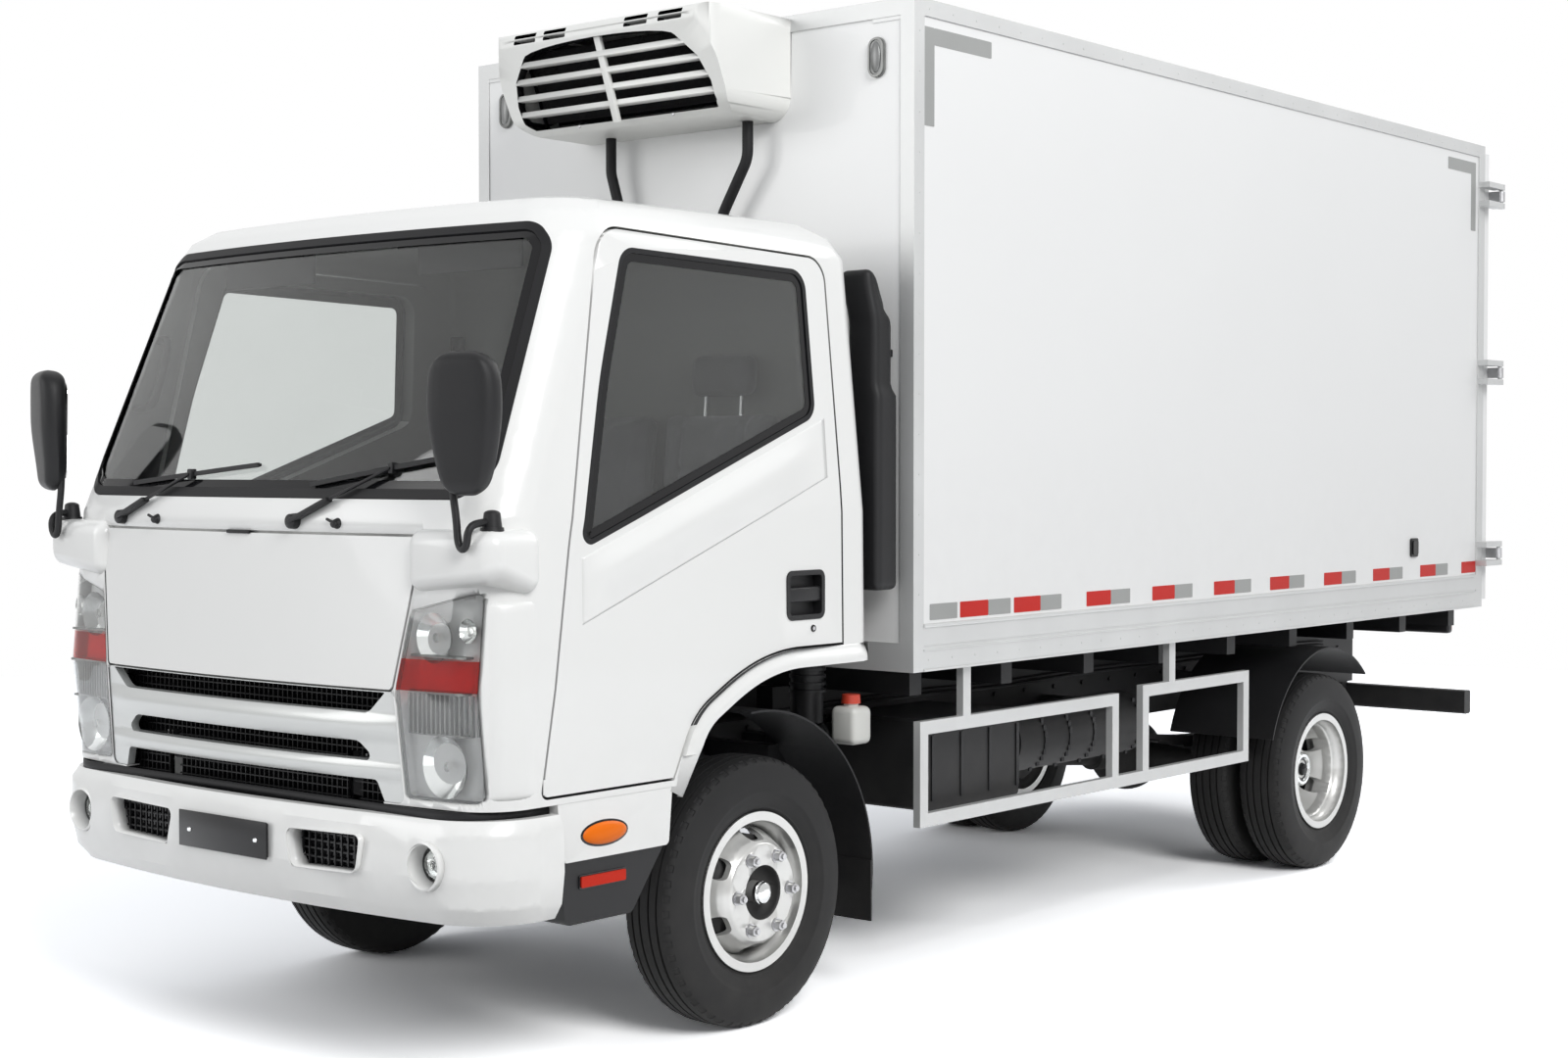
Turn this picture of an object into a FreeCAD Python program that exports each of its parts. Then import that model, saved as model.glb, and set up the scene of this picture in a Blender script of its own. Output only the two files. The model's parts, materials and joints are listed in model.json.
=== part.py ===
import FreeCAD, Part
import math
import os

# Refrigerated truck: light cab-over chassis, insulated box, nose-mounted refrigeration unit.
# Millimetres. +Z up, the truck faces -Y, +X is its left side. The origin is on the ground
# under the middle of the overall length.

V = FreeCAD.Vector

# ---------------------------------------------------------------- driving sizes
LENGTH = 5995.0
WHEELBASE = 3308.0
FRONT_OVERHANG = 1175.0
FRONT_Y = -LENGTH / 2
FRONT_AXLE_Y = FRONT_Y + FRONT_OVERHANG
REAR_AXLE_Y = FRONT_AXLE_Y + WHEELBASE

# wheels and tyres
TYRE_R = 377.5
TYRE_W = 185.0
BEAD_R = 204.0
FLANGE_R = 222.0
RIM_W = 140.0
RIM_T = 7.0
WHEEL_Z = TYRE_R
FRONT_WHEEL_X = 747.0
REAR_OUTER_X = 800.0
TWIN_SPACING = 216.0
DISC_T = 9.0
HUB_R = 62.0
DRUM_R = 160.0
HAND_HOLES = 6
HAND_HOLE = (30.0, 62.0)
HAND_HOLE_R = 158.0
WHEEL_NUTS = 6
NUT_PCD = 222.0

# steering
KINGPIN_X = 620.0
KINGPIN_R = 17.0
ARM_LENGTH = 170.0
ARM_INSET = 0.0
TIE_ROD_Z = 300.0
TIE_ROD_R = 14.0
RUN_GAP = 0.05

# chassis frame
RAIL_X = 360.0
RAIL_H = 180.0
RAIL_FLANGE = 65.0
RAIL_T = 6.0
RAIL_Z = 600.0
RAIL_FRONT = -985.0
RAIL_REAR = 4640.0
SPRING_X = 352.0
SPRING_W = 60.0
LEAF_T = 9.0

# cab: sections and openings, y from the front axle
CAB_REAR = 420.0
CAB_WALL = 42.0
CAB_SWEEP_DEG = 8.0
CAB_REAR_R = 60.0
CAB_FLOOR_Z = 850.0
CAB_FLOOR_T = 40.0
CAB_ARCH_Z = 1001.0
TUNNEL_X = 330.0
TUNNEL_Z = 1130.0
TUNNEL_FRONT = -850.0
DOOR_T = 54.0
DOOR_GAP = 7.0
GLASS_T = 5.0
GLASS_INSET = 5.0
LID_T = 18.0
LID_GAP = 7.0
TILT_Y = -1015.0
TILT_Z = 790.0
TILT_PIN_R = 14.0

# insulated box, y from the front axle
BOX_FRONT = 590.0
BOX_REAR = 4700.0
BOX_HALF_W = 925.0
BOX_TRIM = 5.0
BOX_WALL = 80.0
BOX_TOP = 2925.0
FLOOR_Z = 960.0
FLOOR_T = 120.0
SKIRT_Z = 950.0
SKIRT_H = 140.0
REAR_POST_W = 80.0
REAR_HEAD_H = 95.0
REAR_SILL_H = 95.0
LEAF_T_DOOR = 70.0
LEAF_GAP = 6.0
PLUG_T = 45.0
PLUG_INSET = 22.0
LOCK_ROD_R = 13.5
HINGE_PIN_R = 9.0
HINGE_X = 962.0
HINGE_BEHIND = 100.0
HINGE_ZS = (1180.0, 1960.0, 2720.0)

# refrigeration unit
UNIT_HALF_W = 462.0
UNIT_DEPTH = 385.0
UNIT_H = 306.0
UNIT_TOP = BOX_TOP - 7.0
UNIT_BOTTOM = UNIT_TOP - UNIT_H
SLOT_ROWS = 5


def fa(y):
    """Row y of a place measured rearward from the front axle."""
    return FRONT_AXLE_Y + y


# ---------------------------------------------------------------- shape helpers
def box(xs, ys, zs):
    return Part.makeBox(xs[1] - xs[0], ys[1] - ys[0], zs[1] - zs[0], V(xs[0], ys[0], zs[0]))


def rod(start, end, radius):
    direction = end.sub(start)
    return Part.makeCylinder(radius, direction.Length, start, direction)


def mirrored(shape):
    return shape.mirror(V(0, 0, 0), V(1, 0, 0))


def both(shape):
    return Part.makeCompound([shape, mirrored(shape)])


def joined(shapes):
    solid = shapes[0]
    if len(shapes) > 1:
        solid = shapes[0].fuse(shapes[1:])
    return solid.removeSplitter()


def rounded_wire(points, to_space):
    """Closed wire through (u, v, radius) corners, each corner rounded by an arc."""
    edges = []
    stops = []
    count = len(points)
    for i in range(count):
        u, v, radius = points[i]
        here = V(u, v, 0)
        before = V(points[i - 1][0], points[i - 1][1], 0)
        after = V(points[(i + 1) % count][0], points[(i + 1) % count][1], 0)
        to_before = before.sub(here).normalize()
        to_after = after.sub(here).normalize()
        if radius <= 0:
            stops.append((here, here, here))
            continue
        half = to_before.getAngle(to_after) / 2
        cut = radius / math.tan(half)
        middle = to_before.add(to_after).normalize()
        centre = here.add(middle * (radius / math.sin(half)))
        stops.append((here.add(to_before * cut), centre.sub(middle * radius), here.add(to_after * cut)))
    for i in range(count):
        start, mid, end = stops[i]
        if start.distanceToPoint(end) > 1e-6:
            edges.append(Part.Arc(to_space(start), to_space(mid), to_space(end)).toShape())
        following = stops[(i + 1) % count][0]
        if end.distanceToPoint(following) > 1e-6:
            edges.append(Part.makeLine(to_space(end), to_space(following)))
    return Part.Wire(edges)


def slab_x(points, xs, grow=0.0):
    """Outline of (y, z, radius) corners, extruded along X; grow widens the outline."""
    wire = rounded_wire(points, lambda p: V(xs[0], p.x, p.y))
    return extruded(wire, V(xs[1] - xs[0], 0, 0), grow)


def slab_y(points, ys, grow=0.0):
    """Outline of (x, z, radius) corners, extruded along Y."""
    wire = rounded_wire(points, lambda p: V(p.x, ys[0], p.y))
    return extruded(wire, V(0, ys[1] - ys[0], 0), grow)


def slab_z(points, zs, grow=0.0):
    """Outline of (x, y, radius) corners, extruded along Z."""
    wire = rounded_wire(points, lambda p: V(p.x, p.y, zs[0]))
    return extruded(wire, V(0, 0, zs[1] - zs[0]), grow)


def extruded(wire, along, grow):
    if grow:
        wire = wire.makeOffset2D(grow, 0, False, False)
        if wire.ShapeType != "Wire":
            wire = wire.Wires[0]
    return Part.Face(wire).extrude(along)


def mirror_x(points):
    """The other half of a symmetric outline: the same corners at -x, in reverse order."""
    return [(-x, z, radius) for x, z, radius in reversed(points)]


def spun_about_x(points, centre_x, y):
    """Ring from (x offset, radius) corners turned about the wheel's own axis."""
    corners = [V(centre_x + x, y, WHEEL_Z + radius) for x, radius in points]
    face = Part.Face(Part.makePolygon(corners + [corners[0]]))
    return face.revolve(V(centre_x, y, WHEEL_Z), V(1, 0, 0), 360)


def bent_tube(points, bend, radius):
    """Round tube along straight runs joined by tangent arcs of one bend radius."""
    edges = []
    last = points[0]
    for i in range(1, len(points) - 1):
        here = points[i]
        to_before = points[i - 1].sub(here).normalize()
        to_after = points[i + 1].sub(here).normalize()
        half = to_before.getAngle(to_after) / 2
        cut = bend / math.tan(half)
        middle = to_before.add(to_after).normalize()
        centre = here.add(middle * (bend / math.sin(half)))
        start = here.add(to_before * cut)
        edges.append(Part.makeLine(last, start))
        end = here.add(to_after * cut)
        edges.append(Part.Arc(start, centre.sub(middle * bend), end).toShape())
        last = end
    edges.append(Part.makeLine(last, points[-1]))
    path = Part.Wire(edges)
    ring = Part.Wire(Part.makeCircle(radius, points[0], points[1].sub(points[0])))
    return path.makePipeShell([ring], True, False)


# ---------------------------------------------------------------- wheels
# tyre half section: (x from the middle, radius)
TYRE_SECTION = (
    (62, BEAD_R),
    (RIM_W / 2, BEAD_R + 4),
    (RIM_W / 2, FLANGE_R + 2),
    (81, 245),
    (TYRE_W / 2, 288),
    (89, 330),
    (80, 358),
    (66, 370),
    (30, TYRE_R - 1),
)


def tyre(x, y):
    right = [(-u, r) for u, r in reversed(TYRE_SECTION)]
    return spun_about_x(list(TYRE_SECTION) + right, x, y)


def rim(x, y, face, disc_depth, bore_r):
    """Steel wheel: barrel, flanges and pressed disc. face is +1 where the disc bulges to +X."""
    half = RIM_W / 2
    barrel = [
        (half + 8, FLANGE_R),
        (half, FLANGE_R),
        (half, BEAD_R + 4),
        (62, BEAD_R),
        (38, BEAD_R - 16),
        (-38, BEAD_R - 16),
        (-62, BEAD_R),
        (-half, BEAD_R + 4),
        (-half, FLANGE_R),
        (-half - 8, FLANGE_R),
        (-half - 8, BEAD_R - RIM_T),
        (-62, BEAD_R - RIM_T),
        (-38, BEAD_R - 16 - RIM_T),
        (38, BEAD_R - 16 - RIM_T),
        (62, BEAD_R - RIM_T),
        (half + 8, BEAD_R - RIM_T),
    ]
    inner = BEAD_R - 16 - RIM_T
    depth = disc_depth
    disc = [
        (-30 * face, inner),
        (10 * face, inner),
        (30 * face, inner - 6),
        ((depth - 22) * face, 150),
        (depth * face, 132),
        (depth * face, bore_r),
        ((depth - DISC_T) * face, bore_r),
        ((depth - DISC_T) * face, 128),
        ((depth - 34) * face, 144),
        (16 * face, inner - 14),
        (0, inner - 8),
        (-30 * face, inner - 8),
    ]
    wheel = joined([spun_about_x(barrel, x, y), spun_about_x(disc, x, y)])
    for i in range(HAND_HOLES):
        angle = math.radians(360.0 * (i + 0.5) / HAND_HOLES)
        cy = y + HAND_HOLE_R * math.cos(angle)
        cz = WHEEL_Z + HAND_HOLE_R * math.sin(angle)
        end_r = HAND_HOLE[0] / 2
        reach = HAND_HOLE[1] / 2 - end_r
        hole = box((x - 130, x + 130), (cy - end_r, cy + end_r), (cz - reach, cz + reach))
        for end in (-reach, reach):
            hole = hole.fuse(rod(V(x - 130, cy, cz + end), V(x + 130, cy, cz + end), end_r))
        hole.rotate(V(x, cy, cz), V(1, 0, 0), math.degrees(angle))
        wheel = wheel.cut(hole)
    return wheel


def hub(x_seat, y, face, reach, cap_r):
    """Hub with flange, nuts and grease cap, outboard of the wheel disc at x_seat."""
    centre = V(x_seat, y, WHEEL_Z)
    shapes = [rod(centre, V(x_seat + face * reach, y, WHEEL_Z), cap_r)]
    shapes.append(rod(V(x_seat - face * 12, y, WHEEL_Z), V(x_seat + face * 0.0, y, WHEEL_Z), 128))
    for i in range(WHEEL_NUTS):
        angle = math.radians(360.0 * i / WHEEL_NUTS)
        cy = y + NUT_PCD / 2 * math.cos(angle)
        cz = WHEEL_Z + NUT_PCD / 2 * math.sin(angle)
        shapes.append(rod(V(x_seat - face * 4, cy, cz), V(x_seat + face * 30, cy, cz), 13))
    return joined(shapes)


SPINDLE_R = 22.0
AXLE_TUBE_R = 38.0
# the front hub lies in a deep recess inside the disc's bore, with a small grease cap in its middle
HUB_SLEEVE_R = 88.0
FRONT_BORE_R = 76.0
RECESS_R = FRONT_BORE_R - 2
RECESS_DEPTH = 40.0
GREASE_CAP_R = 30.0
GREASE_CAP_REACH = 5.0


def front_wheel_x(side):
    return side * FRONT_WHEEL_X


def front_rim(side):
    x = front_wheel_x(side)
    depth = 100.0
    seat = x + side * depth
    drum_in = x - side * 70
    shapes = [rim(x, FRONT_AXLE_Y, side, depth, FRONT_BORE_R)]
    shapes.append(hub(seat - side * DISC_T, FRONT_AXLE_Y, side, GREASE_CAP_REACH, GREASE_CAP_R))
    shapes.append(rod(V(drum_in, FRONT_AXLE_Y, WHEEL_Z), V(x + side * 42, FRONT_AXLE_Y, WHEEL_Z), DRUM_R - 5))
    shapes.append(rod(V(x, FRONT_AXLE_Y, WHEEL_Z), V(seat - side * 15, FRONT_AXLE_Y, WHEEL_Z), HUB_SLEEVE_R))
    recess = []
    for radius, beyond in ((RECESS_R, 0), (GREASE_CAP_R, 1)):
        floor = V(seat - side * (RECESS_DEPTH + beyond), FRONT_AXLE_Y, WHEEL_Z)
        recess.append(rod(floor, V(seat + side * (10 + beyond), FRONT_AXLE_Y, WHEEL_Z), radius))
    wheel = joined(shapes).cut(recess[0].cut(recess[1]))
    bore_end = seat - side * 10
    bore = rod(V(drum_in - side, FRONT_AXLE_Y, WHEEL_Z), V(bore_end, FRONT_AXLE_Y, WHEEL_Z), SPINDLE_R + RUN_GAP)
    return wheel.cut(bore)


def rear_rims(side):
    outer = side * REAR_OUTER_X
    inner = side * (REAR_OUTER_X - TWIN_SPACING)
    depth = TWIN_SPACING / 2
    seat = outer - side * depth
    drum_in = inner - side * 66
    y = REAR_AXLE_Y
    shapes = [rim(outer, y, -side, depth, HUB_R), rim(inner, y, side, depth, HUB_R)]
    shapes.append(hub(seat + side * DISC_T, y, side, 92, HUB_R))
    shapes.append(rod(V(drum_in, y, WHEEL_Z), V(inner + side * 40, y, WHEEL_Z), DRUM_R - 5))
    shapes.append(rod(V(inner, y, WHEEL_Z), V(seat, y, WHEEL_Z), HUB_SLEEVE_R))
    wheel = joined(shapes)
    bore = rod(V(drum_in - side, y, WHEEL_Z), V(inner + side * 60, y, WHEEL_Z), AXLE_TUBE_R + RUN_GAP)
    return wheel.cut(bore)


# ---------------------------------------------------------------- steering and axles
EAR_T = 25.0
BOSS_HALF = 33.0
BOSS_R = 30.0
EAR_GAP = 3.0
ARM_PIN_R = 10.0


def knuckle(side):
    """Steering knuckle: two ears on the kingpin, spindle, back plate and steering arm."""
    y = FRONT_AXLE_Y
    kx = side * KINGPIN_X
    web = kx + side * 38
    low = WHEEL_Z - BOSS_HALF - EAR_GAP - EAR_T
    high = WHEEL_Z + BOSS_HALF + EAR_GAP
    shapes = []
    for z in (low, high):
        shapes.append(rod(V(kx, y, z), V(kx, y, z + EAR_T), BOSS_R + 4))
        xs = sorted((kx, web))
        shapes.append(box(xs, (y - 30, y + 30), (z, z + EAR_T)))
    xs = sorted((web - side * 4, web + side * 8))
    shapes.append(box(xs, (y - 42, y + 42), (low, high + EAR_T)))
    plate_x = front_wheel_x(side) - side * 76
    shapes.append(rod(V(plate_x - side * 9, y, WHEEL_Z), V(plate_x, y, WHEEL_Z), DRUM_R - 5))
    tip = front_wheel_x(side) + side * 84
    shapes.append(rod(V(web, y, WHEEL_Z), V(tip, y, WHEEL_Z), SPINDLE_R))
    end_x = side * (KINGPIN_X - ARM_INSET)
    arm = slab_z(
        [
            (kx - side * 20, y + 8, 0),
            (kx + side * 20, y + 8, 0),
            (end_x + side * 16, y + ARM_LENGTH + 16, 14),
            (end_x - side * 16, y + ARM_LENGTH + 16, 14),
        ],
        (low, low + EAR_T),
    )
    shapes.append(arm)
    shapes.append(rod(V(end_x, y + ARM_LENGTH, low), V(end_x, y + ARM_LENGTH, TIE_ROD_Z - 22), ARM_PIN_R))
    knuckle_shape = joined(shapes)
    bore = rod(V(kx, y, low - 5), V(kx, y, high + EAR_T + 5), KINGPIN_R + RUN_GAP)
    return knuckle_shape.cut(bore)


def tie_rod():
    y = FRONT_AXLE_Y + ARM_LENGTH
    x = KINGPIN_X - ARM_INSET
    z = (TIE_ROD_Z - 17, TIE_ROD_Z + 6)
    shapes = [rod(V(-x + 18, y, TIE_ROD_Z - 5), V(x - 18, y, TIE_ROD_Z - 5), TIE_ROD_R - 3)]
    for side in (1, -1):
        shapes.append(rod(V(side * x, y, z[0]), V(side * x, y, z[1]), 22))
    shape = joined(shapes)
    for side, gap in ((1, RUN_GAP), (-1, 1.0)):
        shape = shape.cut(rod(V(side * x, y, z[0] - 5), V(side * x, y, z[1] + 5), ARM_PIN_R + gap))
    return shape


def front_axle():
    y = FRONT_AXLE_Y
    k = KINGPIN_X
    z = WHEEL_Z
    half = [
        (0, 285, 0),
        (470, 285, 60),
        (k - 60, z - BOSS_HALF, 40),
        (k, z - BOSS_HALF, 0),
        (k, z + BOSS_HALF, 0),
        (k - 75, z + BOSS_HALF, 30),
        (455, 360, 40),
        (0, 360, 0),
    ]
    beam = slab_y(half, (y - 32, y + 32))
    shapes = [beam, mirrored(beam)]
    for side in (1, -1):
        shapes.append(rod(V(side * k, y, z - BOSS_HALF), V(side * k, y, z + BOSS_HALF), BOSS_R))
        shapes.append(rod(V(side * k, y, z - 66), V(side * k, y, z + 66), KINGPIN_R))
        shapes.append(box((side * SPRING_X - 45, side * SPRING_X + 45), (y - 70, y + 70), (350, 400)))
    return joined(shapes)


def rear_axle():
    y = REAR_AXLE_Y
    inner = REAR_OUTER_X - TWIN_SPACING
    tube_end = inner - 66 - 10
    shapes = [rod(V(-tube_end, y, WHEEL_Z), V(tube_end, y, WHEEL_Z), 52)]
    for side in (1, -1):
        tip = inner + 55
        shapes.append(rod(V(side * (tube_end - 20), y, WHEEL_Z), V(side * tip, y, WHEEL_Z), AXLE_TUBE_R))
        shapes.append(box((side * REAR_SPRING_X - 42, side * REAR_SPRING_X + 42), (y - 70, y + 70), (400, REAR_SEAT_Z)))
    ball = Part.makeSphere(150, V(0, y, WHEEL_Z))
    shapes.append(ball.common(box((-125, 125), (y - 160, y + 160), (220, 540))))
    shapes.append(rod(V(0, y - 120, WHEEL_Z), V(0, y - 270, WHEEL_Z + 12), 55))
    shapes.append(rod(V(0, y - 265, WHEEL_Z + 12), V(0, fa(1330), GEARBOX_Z), 38))
    return joined(shapes)


REAR_SPRING_X = 400.0
REAR_SEAT_Z = 440.0
GEARBOX_Z = 560.0

# (axle y, x, seat z, half length, leaves, rise at the eyes)
SPRINGS = (
    (FRONT_AXLE_Y, SPRING_X, 400.0, 560.0, 4, 110.0),
    (REAR_AXLE_Y, REAR_SPRING_X, REAR_SEAT_Z, 640.0, 6, 62.0),
)


def leaf(x, y, bottom, inner_r, half_length):
    """One leaf: a strip between two arcs about a centre above the axle."""
    centre_z = bottom + inner_r + LEAF_T
    reach = math.asin(half_length / inner_r)

    def at(radius, angle):
        return V(x - SPRING_W / 2, y + radius * math.sin(angle), centre_z - radius * math.cos(angle))

    outer_r = inner_r + LEAF_T
    edges = [
        Part.Arc(at(inner_r, -reach), at(inner_r, 0), at(inner_r, reach)).toShape(),
        Part.makeLine(at(inner_r, reach), at(outer_r, reach)),
        Part.Arc(at(outer_r, reach), at(outer_r, 0), at(outer_r, -reach)).toShape(),
        Part.makeLine(at(outer_r, -reach), at(inner_r, -reach)),
    ]
    return Part.Face(Part.Wire(edges)).extrude(V(SPRING_W, 0, 0))


def leaf_springs():
    packs = []
    for y, x, seat, half, leaves, rise in SPRINGS:
        top = seat + leaves * LEAF_T
        main_r = (half * half + rise * rise) / (2 * rise)
        shapes = []
        for i in range(leaves):
            length = half * (1 - 0.14 * i)
            shapes.append(leaf(x, y, top - (i + 1) * LEAF_T, main_r + i * LEAF_T, length))
        for end in (-1, 1):
            eye = V(x - SPRING_W / 2, y + end * half, top + rise)
            shapes.append(rod(eye, eye.add(V(SPRING_W, 0, 0)), 22))
            ys = (y + end * half - 28, y + end * half + 28)
            hanger_in = min(x - SPRING_W / 2 + 6, RAIL_X - 20)
            shapes.append(box((hanger_in, x + SPRING_W / 2 - 6), ys, (top + rise, RAIL_Z)))
        shapes.append(box((x - SPRING_W / 2 - 8, x + SPRING_W / 2 + 8), (y - 60, y + 60), (top - 4, top + 16)))
        pack = joined(shapes)
        packs += [pack, mirrored(pack)]
    return Part.makeCompound(packs)


# ---------------------------------------------------------------- chassis frame
# (y from the front axle, what crosses there: depth along Y)
CROSS_MEMBERS = ((-960, 60), (1100, 60), (1500, 60), (2500, 60), (3900, 60), (4560, 60))
BRACKET_X = (366.0, 396.0)
LUG_X = (404.0, 434.0)
LUG_R = 34.0
# beam behind the bumper: front and rear y
BEAM_Y = (-1108.0, -1078.0)


def chassis_frame():
    ys = (fa(RAIL_FRONT), fa(RAIL_REAR))
    zs = (RAIL_Z, RAIL_Z + RAIL_H)
    rail = box((RAIL_X - RAIL_FLANGE, RAIL_X), ys, zs)
    hollow = box((RAIL_X - RAIL_FLANGE - 1, RAIL_X - RAIL_T), (ys[0] - 1, ys[1] + 1), (zs[0] + RAIL_T, zs[1] - RAIL_T))
    rail = rail.cut(hollow)
    shapes = [rail, mirrored(rail)]
    for y, depth in CROSS_MEMBERS:
        shapes.append(box((-RAIL_X + RAIL_T, RAIL_X - RAIL_T), (fa(y), fa(y) + depth), (zs[0] + 20, zs[0] + 90)))
    for side in (1, -1):
        xs = sorted((side * BRACKET_X[0], side * BRACKET_X[1]))
        inner = sorted((side * (RAIL_X - RAIL_T), side * BRACKET_X[1]))
        foot = box(inner, (fa(RAIL_FRONT), fa(-880)), (zs[0] + 60, zs[1] - 20))
        ear = slab_x(
            [
                (fa(TILT_Y) - LUG_R, TILT_Z + LUG_R, LUG_R * 0.98),
                (fa(TILT_Y) - LUG_R, TILT_Z - LUG_R, 20),
                (fa(TILT_Y) + 15, TILT_Z - 45, 5),
                (fa(TILT_Y) + 30, TILT_Z - 100, 5),
                (fa(-880), zs[0] + 60, 10),
                (fa(-880), zs[1] - 20, 10),
                (fa(TILT_Y) + LUG_R, TILT_Z + LUG_R, LUG_R * 0.98),
            ],
            xs,
        )
        pin = rod(V(side * BRACKET_X[0], fa(TILT_Y), TILT_Z), V(side * (LUG_X[1] + 6), fa(TILT_Y), TILT_Z), TILT_PIN_R)
        shapes += [foot, ear, pin]
        arm = sorted((side * 300, side * 352))
        shapes.append(box(arm, (fa(BEAM_Y[1]), fa(RAIL_FRONT) + 30), (zs[0] - 60, zs[0] + 40)))
        pad = box(sorted((side * 160, side * 225)), (fa(-1200), fa(BEAM_Y[0])), (zs[0] - 25, zs[0] + 25))
        shapes.append(pad.common(bumper_form(BUMPER_T, 439, 694)))
    shapes.append(box((-520, 520), (fa(BEAM_Y[0]), fa(BEAM_Y[1])), (zs[0] - 40, zs[0] + 40)))
    return joined(shapes)


def engine():
    """Plain blocks at the real places: engine, radiator and gearbox."""
    block = box((-260, 260), (fa(-340), fa(430)), (500, 1070))
    gearbox = box((-150, 150), (fa(430), fa(1020)), (470, 740))
    neck = rod(V(0, fa(1015), GEARBOX_Z), V(0, fa(1300), GEARBOX_Z), 54)
    radiator = box((-290, 290), (fa(-760), fa(-690)), (560, 1060))
    shroud = box((-200, 200), (fa(-692), fa(-338)), (640, 980))
    return joined([block, gearbox, neck, radiator, shroud])


def fuel_tank():
    tank = slab_y([(-790, 790, 50), (-420, 790, 50), (-420, 420, 50), (-790, 420, 50)], (fa(760), fa(1760)))
    straps = []
    for y in (900, 1600):
        straps.append(box((-420, -RAIL_X), (fa(y), fa(y) + 60), (610, 770)))
    return joined([tank] + straps)


def battery_box():
    case = slab_x([(fa(820), 500, 15), (fa(1330), 500, 15), (fa(1330), 780, 15), (fa(820), 780, 15)], (440, 800))
    arms = [box((RAIL_X, 440), (fa(y), fa(y) + 50), (640, 740)) for y in (880, 1220)]
    tank_z = 640
    tank = rod(V(600, fa(1480), tank_z), V(600, fa(2280), tank_z), 110)
    tank_arms = [box((RAIL_X, 600), (fa(y), fa(y) + 40), (650, 730)) for y in (1580, 2120)]
    return joined([case] + arms + [tank] + tank_arms)


def exhaust():
    silencer = rod(V(-560, fa(1950), 560), V(-560, fa(2650), 560), 95)
    arms = [box((-560, -RAIL_X), (fa(y), fa(y) + 40), (620, 700)) for y in (2050, 2500)]
    tail = bent_tube(
        [V(-560, fa(2600), 560), V(-560, fa(2735), 560), V(-640, fa(2790), 470)], 60, 30
    )
    return joined([silencer, tail] + arms)


GUARD_X = 900.0
GUARD_T = 40.0
# side guard frames: (front y, rear y, bottom z, top z)
GUARD_FRAMES = ((660, 1780, 480, 797), (1935, 2680, 480, 812))
GUARD_HANGERS = (880, 2110)


def side_guards():
    """Square-tube frames under the box sides, hung from the box floor."""
    xs = (GUARD_X - 25, GUARD_X)
    shapes = []
    for front, rear, bottom, top in GUARD_FRAMES:
        outer = box(xs, (fa(front), fa(rear)), (bottom, top))
        hole = box((xs[0] - 5, xs[1] + 5), (fa(front) + GUARD_T, fa(rear) - GUARD_T), (bottom + GUARD_T, top - GUARD_T))
        shapes.append(outer.cut(hole))
    ends = (fa(GUARD_FRAMES[0][1]), fa(GUARD_FRAMES[1][0]))
    shapes.append(box(xs, (ends[0] - 5, ends[1] + 5), (GUARD_FRAMES[0][2], GUARD_FRAMES[0][2] + GUARD_T)))
    for y, (_, _, _, top) in zip(GUARD_HANGERS, GUARD_FRAMES):
        shapes.append(box(xs, (fa(y), fa(y) + GUARD_T), (top - 20, FLOOR_Z)))
    return both(joined(shapes))


def curved_guard(xs, y, radius, start_deg, end_deg, thick):
    """Sheet bent about a wheel axis between two angles measured from straight behind."""
    centre = (y, WHEEL_Z)

    def at(r, angle):
        turn = math.radians(angle)
        return V(xs[0], centre[0] + r * math.cos(turn), centre[1] + r * math.sin(turn))

    middle = (start_deg + end_deg) / 2
    outer = radius + thick
    edges = [
        Part.Arc(at(radius, start_deg), at(radius, middle), at(radius, end_deg)).toShape(),
        Part.makeLine(at(radius, end_deg), at(outer, end_deg)),
        Part.Arc(at(outer, end_deg), at(outer, middle), at(outer, start_deg)).toShape(),
        Part.makeLine(at(outer, start_deg), at(radius, start_deg)),
    ]
    return Part.Face(Part.Wire(edges)).extrude(V(xs[1] - xs[0], 0, 0))


def front_mudguards():
    sheet = curved_guard((600, 842), FRONT_AXLE_Y, 500, -8, 95, 6)
    flap_y = FRONT_AXLE_Y + 500 * math.cos(math.radians(8))
    flap = box((600, 842), (flap_y, flap_y + 6), (220, 400))
    arm = box((RAIL_X, 612), (fa(300), fa(350)), (690, 740))
    return both(joined([sheet, flap, arm]))


GUARD_ARC_R = 475.0
# where the rear mudguard ends behind the wheel, in degrees up from level with the axle
REAR_GUARD_END = 48.0


def rear_mudguards():
    sheet = curved_guard((470, 905), REAR_AXLE_Y, GUARD_ARC_R, REAR_GUARD_END, 160, 6)
    arms = [box((RAIL_X, 480), (REAR_AXLE_Y + y - 20, REAR_AXLE_Y + y + 20), (700, 760)) for y in (-290, 290)]
    return both(joined([sheet] + arms))


def rear_underrun():
    bar = slab_x([(fa(4600), 490, 12), (fa(4660), 490, 12), (fa(4660), 590, 12), (fa(4600), 590, 12)], (-900, 900))
    posts = []
    for side in (1, -1):
        xs = sorted((side * (RAIL_X - 50), side * (RAIL_X - 10)))
        posts.append(box(xs, (fa(4560), fa(4610)), (500, RAIL_Z)))
    return joined([bar] + posts)


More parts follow.
